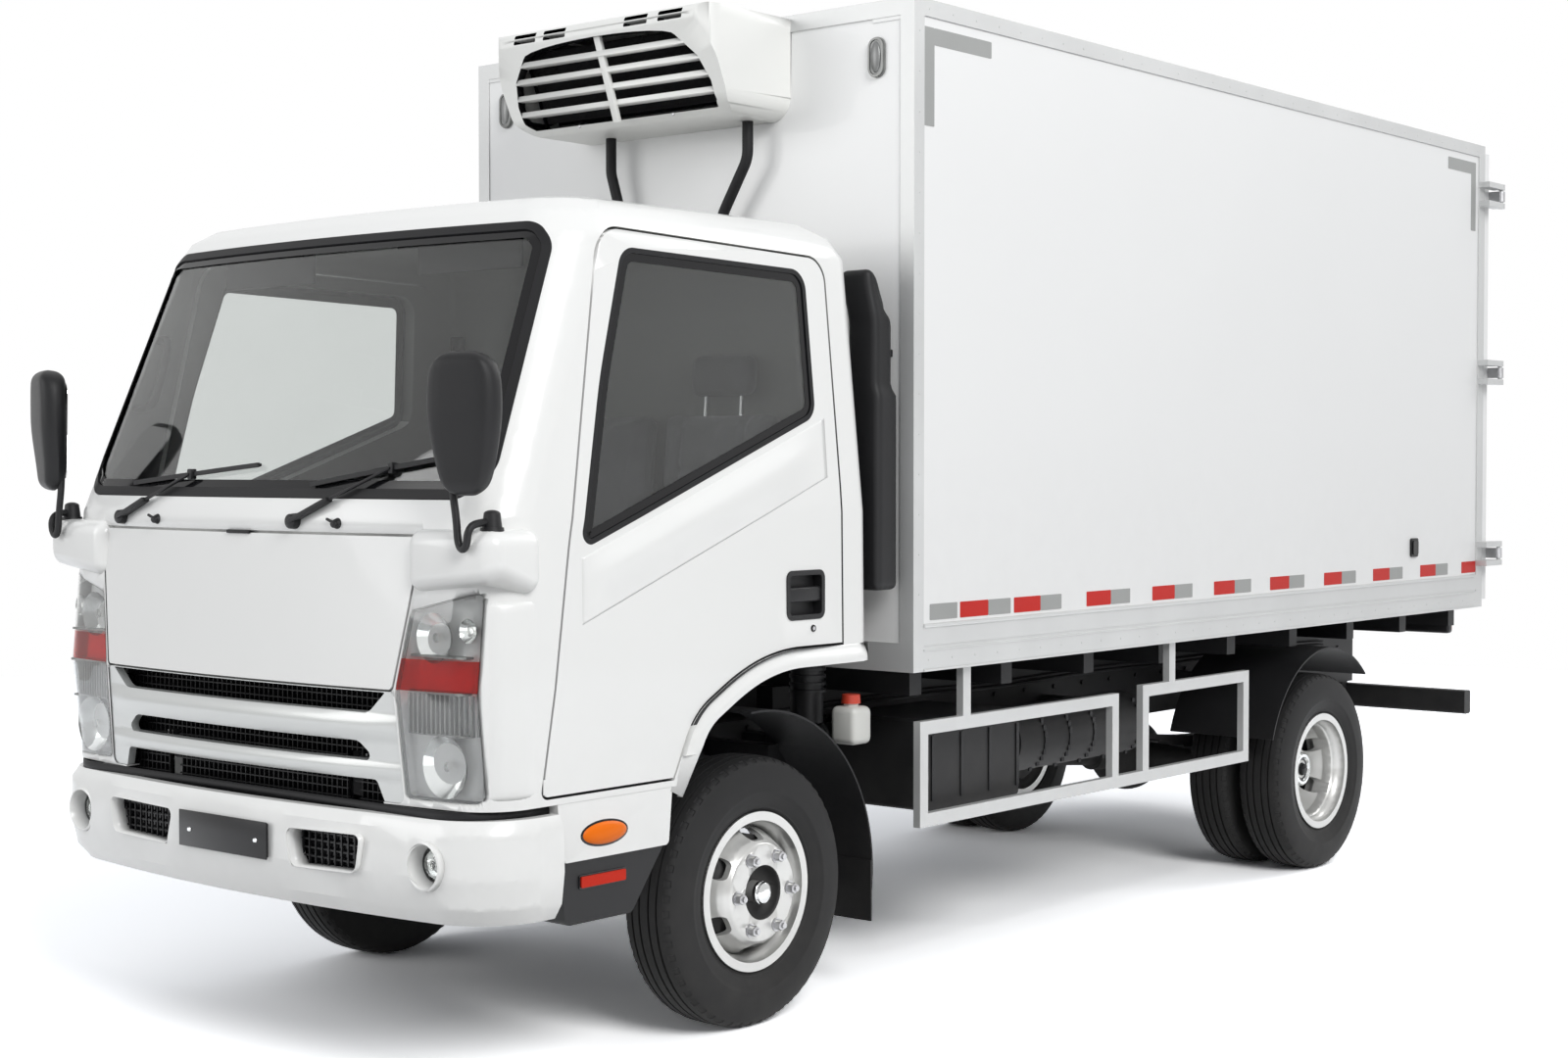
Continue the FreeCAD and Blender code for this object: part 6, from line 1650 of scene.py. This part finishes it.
# %% Fins behind the louvre
coil_low, coil_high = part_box("reefer_condenser")
bm = bmesh.new()
lean_top, lean_low = back(BOX_FRONT - 0.385 + 0.070), back(BOX_FRONT - 0.385 + 0.160)
FINS, FIN_PITCH = 120, 0.0062
for k in range(FINS):
    x = -0.368 + k * FIN_PITCH
    between(bm, (x, lean_low + 0.02, coil_low.z + 0.004), (x, lean_top + 0.02, coil_high.z - 0.004), 0.0012,
            0.030)
for k in range(9):
    share = k / 8
    y = lean_low + (lean_top - lean_low) * share + 0.03
    z = coil_low.z + 0.012 + (coil_high.z - coil_low.z - 0.024) * share
    tube(bm, (-0.372, y, z), (0.372, y, z), 0.0055, segments=10, material=1)
for x in (-0.376, 0.376):
    between(bm, (x, lean_low + 0.03, coil_low.z), (x, lean_top + 0.03, coil_high.z), 0.006, 0.060,
            material=2)
# wide black sheet behind the fins: painted shade for the inside of the unit
between(bm, (0, lean_low + 0.062, coil_low.z), (0, lean_top + 0.062, coil_high.z), 0.750, 0.004, material=2)
for x in (-0.30, 0.26):
    block(bm, (x, lean_low + 0.05, coil_low.z), (x + 0.04, back(BOX_FRONT - 0.03), coil_low.z + 0.03),
          0.002, 1, material=2)
fins = piece("condenser_fins", bm, [cast_dark, plain_steel, gloss_black], "chassis",
             smooth=False)
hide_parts("reefer_condenser")
SCREW_Z = 2.628
bm = bmesh.new()
for x in (-0.20, 0.20):
    dome(bm, (x, surface_y("reefer_housing", x, SCREW_Z), SCREW_Z), (0.006, 0.003, 0.006))
piece("unit_screws", bm, plain_steel, "chassis")
bm = bmesh.new()
for x_low, z in ((-0.190, 2.25), (-0.190, 1.60), (0.230, 2.25), (0.230, 1.60)):
    tube(bm, (x_low, back(0.530), z - 0.012), (x_low, back(0.530), z + 0.012), 0.0205, segments=20)
    block(bm, (x_low + 0.008, back(0.540), z - 0.010), (x_low + 0.040, back(0.590), z + 0.010), 0.002, 1)
piece("hose_clips", bm, plain_steel, "chassis")
print("condenser fins", FINS)

# %% [markdown]
# ## Rear door seals
# Each rear door closes on a black rubber lip that shows all round its edge. It is a frame cut
# from one rounded face, standing slightly proud of the door.

# %% Door seals
for side_name, side in SIDES:
    door = "cargo_door_" + side_name
    low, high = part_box(door)
    bm = bmesh.new()
    print(door, "from", [round(c, 3) for c in low], "to", [round(c, 3) for c in high])
    panel_y = skin(door).ray_cast(Vector(((low.x + high.x) / 2 + 0.02, 9.0, 1.5)), -Y)[0].y
    rect = front_rect(low.x + 0.004, high.x - 0.004, panel_y - 0.0005, low.z + 0.004, high.z - 0.004)
    slab(bm, rect, 0.012, (0, 0.004, 0), ring=0.016)
    piece("door_seal_" + side_name, bm, seal_rubber, door)
print("door panel at y %.3f" % panel_y)

# %% [markdown]
# ## Seats
# The cab has a driver's seat, a narrow middle seat and a passenger's seat, in woven cloth over
# foam. Foam pushes the cover out, so each cushion is inflated: a rounded block is remeshed into
# even squares and runs as cloth under a little pressure, with a cap on how far any point may
# move. Then channels are pressed in where the cover is sewn down.


# %% Inflated cushions
def foam(name, low, high, lean, radius, channels, cap=0.016, voxel=0.009):
    """Padded piece between two corners, leaned by a (point, degrees) turn, with sewn channels."""
    bm = bmesh.new()
    inset = cap * 0.7
    low, high = Vector(low) + Vector((inset,) * 3), Vector(high) - Vector((inset,) * 3)
    block(bm, low, high, radius, 5)
    bmesh.ops.recalc_face_normals(bm, faces=bm.faces)
    made = linked(name, mesh_from(name, bm, seat_cloth))
    remesh = made.modifiers.new("even", "REMESH")
    remesh.mode = "VOXEL"
    remesh.voxel_size = voxel
    depsgraph = bpy.context.evaluated_depsgraph_get()
    made.data = bpy.data.meshes.new_from_object(made.evaluated_get(depsgraph))
    made.modifiers.clear()
    start = [v.co.copy() for v in made.data.vertices]
    cloth = made.modifiers.new("cloth", "CLOTH")
    cloth.settings.use_pressure = True
    cloth.settings.uniform_pressure_force = 4.0
    cloth.settings.effector_weights.gravity = 0.0
    cloth.settings.quality = 5
    scene = bpy.context.scene
    for number in range(1, 21):
        scene.frame_set(number)
    depsgraph = bpy.context.evaluated_depsgraph_get()
    made.data = bpy.data.meshes.new_from_object(made.evaluated_get(depsgraph))
    made.modifiers.clear()
    scene.frame_set(1)
    for v, was in zip(made.data.vertices, start):
        moved = v.co - was
        if moved.length > cap:
            v.co = was + moved.normalized() * cap
    middle, half = (low + high) / 2, (high - low) / 2
    for v in made.data.vertices:
        off = v.co - middle
        across = 1 - min(1.0, (off.x / half.x) ** 2)
        long_axis = off.y if half.y > half.z else off.z
        long_half = max(half.y, half.z)
        crown = across * (1 - min(1.0, (long_axis / long_half) ** 2))
        outward = Vector((0, 0, 1)) if half.y > half.z else Vector((0, -1, 0))
        face_share = ease(off.dot(outward) / (min(half.y, half.z) * 0.9))
        v.co += outward * 0.014 * crown * face_share
        for place in channels:
            near = sum(math.exp(-((off.x - at * half.x) / 0.011) ** 2) for at in (place, -place))
            v.co -= outward * 0.011 * near * face_share
        near = math.exp(-((long_axis - 0.25 * long_half) / 0.011) ** 2)
        if channels and abs(off.x) < abs(channels[0] * half.x):
            v.co -= outward * 0.009 * near * face_share
    point, degrees = lean
    tilt = Matrix.Rotation(math.radians(degrees), 4, "X")
    turn = Matrix.Translation(point) @ tilt @ Matrix.Translation(-Vector(point))
    made.data.transform(turn)
    made.data.shade_smooth()
    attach(made, "cab")
    return made


SEAT_ROWS = ((0.430, 0.470, 1.120, 1.250, "driver"), (0.0, 0.340, 1.172, 1.262, "middle"),
             (-0.430, 0.470, 1.120, 1.250, "passenger"))
for x, width, base, top, name in SEAT_ROWS:
    left, right = x - width / 2 + 0.003, x + width / 2 - 0.003
    seams = (0.56,) if width > 0.4 else ()
    foam("seat_cushion_" + name, (left, back(-0.188), base + 0.004),
                           (right, back(0.222), top),
                           ((x, back(0.2), base), 0), 0.030, seams)
    low_y, high_y = back(0.222), back(0.322)
    foam("seat_back_" + name, (left, low_y, top - 0.02), (right, high_y, 1.735),
                           ((x, back(0.27), top), -4.6), 0.030, seams)
    if width > 0.4:
        foam("seat_head_" + name, (x - 0.128, back(0.270), 1.755),
                               (x + 0.128, back(0.350), 1.900),
                               ((x, back(0.3), 1.8), -4.6), 0.028, ())
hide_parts("seats")
bm = bmesh.new()
for x, width, base, top, name in SEAT_ROWS:
    if width > 0.4:
        block(bm, (x - width / 2 + 0.02, back(-0.12), 1.043), (x + width / 2 - 0.02, back(0.27), base),
              0.008, 2)
        for side in (-0.07, 0.07):
            tube(bm, (x + side, back(0.305), 1.70), (x + side, back(0.312), 1.80), 0.006, segments=12,
                 material=1)
    else:
        block(bm, (x - width / 2 + 0.03, back(-0.15), 1.172),
              (x + width / 2 - 0.03, back(0.25), base + 0.02), 0.006, 2)
piece("seat_bases", bm, [black_plastic, plain_steel], "cab")

# %% [markdown]
# ## Inside the cab
# Through the glass one sees the instrument hood, the vents, a control panel with three knobs,
# the sun visors folded against the roof, an upright grab handle on the right pillar, the belts
# and the gear lever.

# %% Hood, vents, control panel and visors
bm = bmesh.new()
hood = block(bm, (0.235, back(-0.905), 1.395), (0.565, back(-0.735), 1.470), 0.030, 5)
for v in hood:
    if v.is_valid:
        v.co.z -= 0.025 * ease((back(-0.82) - v.co.y) / 0.08)
for x in (-0.62, -0.10, 0.10, 0.70):
    block(bm, (x - 0.050, back(-0.762), 1.330), (x + 0.050, back(-0.732), 1.385), 0.006, 2, material=1)
    for k in range(4):
        block(bm, (x - 0.044, back(-0.738), 1.338 + k * 0.011),
              (x + 0.044, back(-0.726), 1.342 + k * 0.011), 0.0, 1)
block(bm, (-0.095, back(-0.760), 1.220), (0.095, back(-0.728), 1.300), 0.004, 2, material=1)
for x in (-0.055, 0.0, 0.055):
    tube(bm, (x, back(-0.728), 1.245), (x, back(-0.712), 1.245), 0.013, 0.011, 20)
piece("dash_fittings", bm, [grey_plastic, gloss_black], "cab")
bm = bmesh.new()
for x in (0.42, -0.42):
    between(bm, (x - 0.20, back(-0.690), 2.135), (x + 0.20, back(-0.690), 2.135), 0.012, 0.130, 0.005)
    tube(bm, (x - 0.215, back(-0.748), 2.142), (x + 0.215, back(-0.748), 2.142), 0.006, segments=12)
piece("sun_visors", bm, grey_plastic, "cab")

# %% Grab handle, belts and the gear lever
bent_bar("grab_handle_right", [
    (-0.800, back(-0.800), 1.925), (-0.762, back(-0.815), 1.930), (-0.728, back(-0.822), 1.922),
    (-0.718, back(-0.835), 1.870),
    (-0.716, back(-0.865), 1.780), (-0.722, back(-0.880), 1.735), (-0.758, back(-0.885), 1.722),
    (-0.810, back(-0.875), 1.724)],
    0.0125, black_plastic, "cab")
bm = bmesh.new()
for side in (1, -1):
    between(bm, (side * 0.760, back(0.330), 1.95), (side * 0.690, back(0.345), 1.18), 0.046, 0.0014)
    block(bm, (side * 0.735, back(0.318), 1.935), (side * 0.785, back(0.345), 1.985), 0.006, 2)
piece("seat_belts", bm, seal_rubber, "cab", smooth=False)
bm = bmesh.new()
tube(bm, (0.10, back(-0.46), 1.17), (0.10, back(-0.46), 1.20), 0.055, 0.030, 24)
tube(bm, (0.10, back(-0.46), 1.19), (0.115, back(-0.52), 1.44), 0.008, segments=14, material=1)
dome(bm, (0.116, back(-0.523), 1.455), (0.026, 0.026, 0.030))
piece("gear_lever", bm, [black_plastic, plain_steel], "cab")
print("cab fitted out")

# %% [markdown]
# ## Under the body
# Between the rails and behind the guards hang the things that keep a truck running: a coolant
# bottle with a red cap and an air dryer. Straps go round the fuel tank, ribs stiffen the battery
# box, lines and bolts follow the rails, and clamps hold the springs. They stay in the shade, but
# from the side and from below they make the chassis read as a real one.

# %% Bottle and air dryer
bottle_white = finish("bottle_white", (0.72, 0.72, 0.68), 0.4, wander=0.04, bump=0.05)
cap_red = finish("cap_red", (0.60, 0.06, 0.03), 0.35, wander=0.08, bump=0.05)
neck = Vector((0.752, back(0.515), 0))
bm = bmesh.new()
block(bm, (0.705, back(0.470), 0.735), (0.800, back(0.560), 0.848), 0.020, 4)
tube(bm, neck + Z * 0.845, neck + Z * 0.862, 0.022, segments=28)
tube(bm, neck + Z * 0.856, neck + Z * 0.882, 0.029, 0.027, segments=28, material=1)
block(bm, (0.500, back(0.500), 0.740), (0.712, back(0.530), 0.756), 0.003, 1, material=2)
piece("coolant_bottle", bm, [bottle_white, cap_red, frame_black], "chassis")
bm = bmesh.new()


def vessel(bm, start, end, radius, material=0):
    """Pressure vessel: a tube whose ends are half domes."""
    start, end = Vector(start), Vector(end)
    along = (end - start).normalized()
    tube(bm, start, end, radius, segments=40, material=material)
    size = [radius * (0.35 if abs(along[i]) > 0.9 else 1.0) for i in range(3)]
    dome(bm, start, size, material)
    dome(bm, end, size, material)


dryer = Vector((0.580, back(1.400), 0))
vessel(bm, dryer + Z * 0.515, dryer + Z * 0.665, 0.052)
tube(bm, dryer + Z * 0.665, dryer + Z * 0.700, 0.040, segments=32, material=1)
tube(bm, dryer + Z * 0.455, dryer + Z * 0.515, 0.016, segments=16, material=1)
block(bm, (0.425, back(1.370), 0.695), (0.620, back(1.430), 0.712), 0.003, 1, material=1)
piece("air_dryer", bm, [plain_steel, cast_dark], "chassis")
print("bottle and dryer hung")

# %% Straps, ribs, lines, bolts and spring clamps
bm = bmesh.new()
tank_low, tank_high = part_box("fuel_tank")
for share in (0.22, 0.78):
    y = tank_low.y + (tank_high.y - tank_low.y) * share
    slab(bm, [(tank_low.x - 0.003, y, tank_low.z - 0.003), (tank_high.x + 0.003, y, tank_low.z - 0.003),
              (tank_high.x + 0.003, y, tank_high.z + 0.003), (tank_low.x - 0.003, y, tank_high.z + 0.003)],
              0.045, (0, 0.040, 0), ring=0.004)
piece("tank_straps", bm, plain_steel, "chassis")
battery_low, battery_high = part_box("battery_box")
bm = bmesh.new()
ribs = 0
for k in range(10):
    y = battery_low.y + 0.04 + (battery_high.y - battery_low.y - 0.08) * k / 9
    for z_from in range(int(battery_low.z * 1000) + 30, int(battery_high.z * 1000) - 60, 20):
        x = surface_x("battery_box", 1, y, z_from / 1000 + 0.01)
        if x is not None:
            block(bm, (x - 0.002, y - 0.008, z_from / 1000), (x + 0.004, y + 0.008, z_from / 1000 + 0.0205),
                  0.0, 1)
            ribs += 1
print("battery ribs", ribs)
piece("battery_ribs", bm, black_plastic, "chassis")
# lines along the rails: x, z and radius
RAIL_LINES = ((0.372, 0.800, 0.006), (0.372, 0.785, 0.006), (-0.372, 0.800, 0.010), (0.330, 0.745, 0.014))
for index, (x, z, radius) in enumerate(RAIL_LINES):
    run = [(x, back(0.60 + 0.62 * k), z + (0.010 if k % 2 else -0.006)) for k in range(7)]
    bent_bar("rail_line_%d" % (index + 1), run, radius, hose_rubber, "chassis", resolution=6)
bm = bmesh.new()
for side in (1, -1):
    for k in range(22):
        y = back(0.50 + k * 0.19)
        for z in (0.755, 0.835):
            x = skin("chassis_frame").ray_cast(Vector((side * 2, y, z)), -side * X)[0]
            if x is not None and abs(x.x) < 0.46:
                tube(bm, (x.x - side * 0.001, y, z), (x.x + side * 0.007, y, z), 0.009, segments=6)
piece("rail_bolts", bm, frame_black, "chassis")
bm = bmesh.new()
spring_skin = skin("leaf_springs")
clamps = 0
for axle_y in (FRONT_AXLE, REAR_AXLE):
    for side in (1, -1):
        for y in (axle_y - 0.045, axle_y + 0.045):
            for x_from in range(300, 620, 8):
                spot = spring_skin.ray_cast(Vector((side * x_from / 1000, y, 0.15)), Z)[0]
                if spot is not None:
                    inner = x_from / 1000
                    break
            else:
                continue
            top = spring_skin.ray_cast(Vector((side * (inner + 0.02), y, 1.5)), -Z)[0]
            for x in (inner - 0.004, inner + 0.074):
                for z_from, z_to, radius, sides in ((spot.z - 0.05, top.z + 0.012, 0.008, 14),
                                                    (spot.z - 0.045, spot.z - 0.03, 0.014, 6)):
                    tube(bm, (side * x, y, z_from), (side * x, y, z_to), radius, segments=sides)
            xs = sorted((side * (inner - 0.012), side * (inner + 0.082)))
            block(bm, (xs[0], y - 0.008, top.z), (xs[1], y + 0.008, top.z + 0.014), 0.004, 2)
            clamps += 1
piece("spring_clamps", bm, plain_steel, "chassis")
print("spring clamps", clamps)

# %% [markdown]
# ## Mud flaps
# Upright ribs on the back of each front mud flap keep it from fluttering.

# %% Flap ribs
bm = bmesh.new()
flap_front_y = back(0.500 * math.cos(math.radians(8)))
for side in (1, -1):
    for k in range(4):
        x = side * (0.630 + 0.060 * k)
        block(bm, (min(x, x + 0.006), flap_front_y + 0.004, 0.24),
              (max(x, x + 0.006), flap_front_y + 0.010, 0.38), 0.001, 1)
piece("flap_ribs", bm, flap_black, "chassis")
print("flaps ribbed")
# %% [markdown]
# ## Floor, light and camera
# The truck stands on a plain pale floor. The floor and the world show themselves white to the
# camera, to reflections and through glass, and light the truck at a plain level. Three large
# soft lamps give it shape: one high ahead on the left, one lower ahead on the right and one high
# behind.


# %% The floor
def seen_rays(tree):
    """1 for a ray that the camera, a reflection or a pane of glass sees, 0 for one that only lights."""
    path = tree.nodes.new("ShaderNodeLightPath")
    seen = math_node(tree, "MAXIMUM", path.outputs["Is Camera Ray"], path.outputs["Is Transmission Ray"])
    seen = math_node(tree, "MAXIMUM", seen, path.outputs["Is Glossy Ray"])
    unscattered = math_node(tree, "SUBTRACT", 1.0, path.outputs["Diffuse Depth"], clamp=True)
    return math_node(tree, "MULTIPLY", seen, unscattered)


def stage_material(name, level, seen_level):
    """Matt floor: pale to the light, and lighter to the camera, mirrors and glass."""
    material = bpy.data.materials.new(name)
    material.use_nodes = True
    tree = material.node_tree
    tree.nodes.remove(tree.nodes["Principled BSDF"])
    seen = seen_rays(tree)
    matt = tree.nodes.new("ShaderNodeBsdfDiffuse")
    tree.links.new(mixed(tree, seen, (level,) * 3, (seen_level,) * 3), matt.inputs["Color"])
    tree.links.new(matt.outputs["BSDF"], tree.nodes["Material Output"].inputs["Surface"])
    return material


FLOOR_R, FLOOR_LEVEL, FLOOR_SEEN = 10.5, 0.42, 1.95
floor_bm = bmesh.new()
bmesh.ops.create_circle(floor_bm, cap_ends=True, segments=128, radius=FLOOR_R)
floor_pale = stage_material("floor_pale", FLOOR_LEVEL, FLOOR_SEEN)
floor = linked("floor", mesh_from("floor", floor_bm, floor_pale))

# %% World and lamps
world = bpy.data.worlds.new("studio")
bpy.context.scene.world = world
world.use_nodes = True
world_tree = world.node_tree
soft_sky = world_tree.nodes["Background"]
soft_sky.inputs["Color"].default_value = (0.92, 0.95, 1.0, 1)
soft_sky.inputs["Strength"].default_value = 0.46
seen_sky = world_tree.nodes.new("ShaderNodeBackground")
seen_sky.inputs["Color"].default_value = (1, 1, 1, 1)
seen_sky.inputs["Strength"].default_value = 1.0
seen = seen_rays(world_tree)
choose = world_tree.nodes.new("ShaderNodeMixShader")
world_tree.links.new(seen, choose.inputs["Fac"])
world_tree.links.new(soft_sky.outputs["Background"], choose.inputs[1])
world_tree.links.new(seen_sky.outputs["Background"], choose.inputs[2])
world_tree.links.new(choose.outputs["Shader"], world_tree.nodes["World Output"].inputs["Surface"])


def lamp(name, place, target, size, power):
    light = bpy.data.lights.new(name, "AREA")
    light.shape = "DISK"
    light.size = size
    light.energy = power
    made = linked(name, light)
    made.location = place
    made.rotation_euler = (Vector(target) - Vector(place)).to_track_quat("-Z", "Y").to_euler()


lamp("key", (10.0, -5.5, 8.0), (0, 0, 1.3), 6.0, 900)
lamp("fill", (-4.5, -10.5, 4.5), (0, -1.5, 1.2), 6.0, 270)
lamp("rim", (4.0, 9.0, 8.0), (0, 1.0, 1.5), 6.0, 300)
print("lamps placed")

# %% The camera
# It stands a little over one and a half metres up, ahead of the truck's left front corner.
lens = bpy.data.cameras.new("camera")
lens.sensor_width = 36.0
lens.lens = 52.43
lens.clip_end = 200.0
camera = linked("camera", lens)
DIP, TURN = 1.607, 39.79
camera.location = (4.9203, -6.6223, 1.5616)
camera.rotation_euler = (math.radians(90 - DIP), 0.0, math.radians(TURN))
bpy.context.scene.camera = camera
bpy.context.scene.view_settings.view_transform = "Standard"
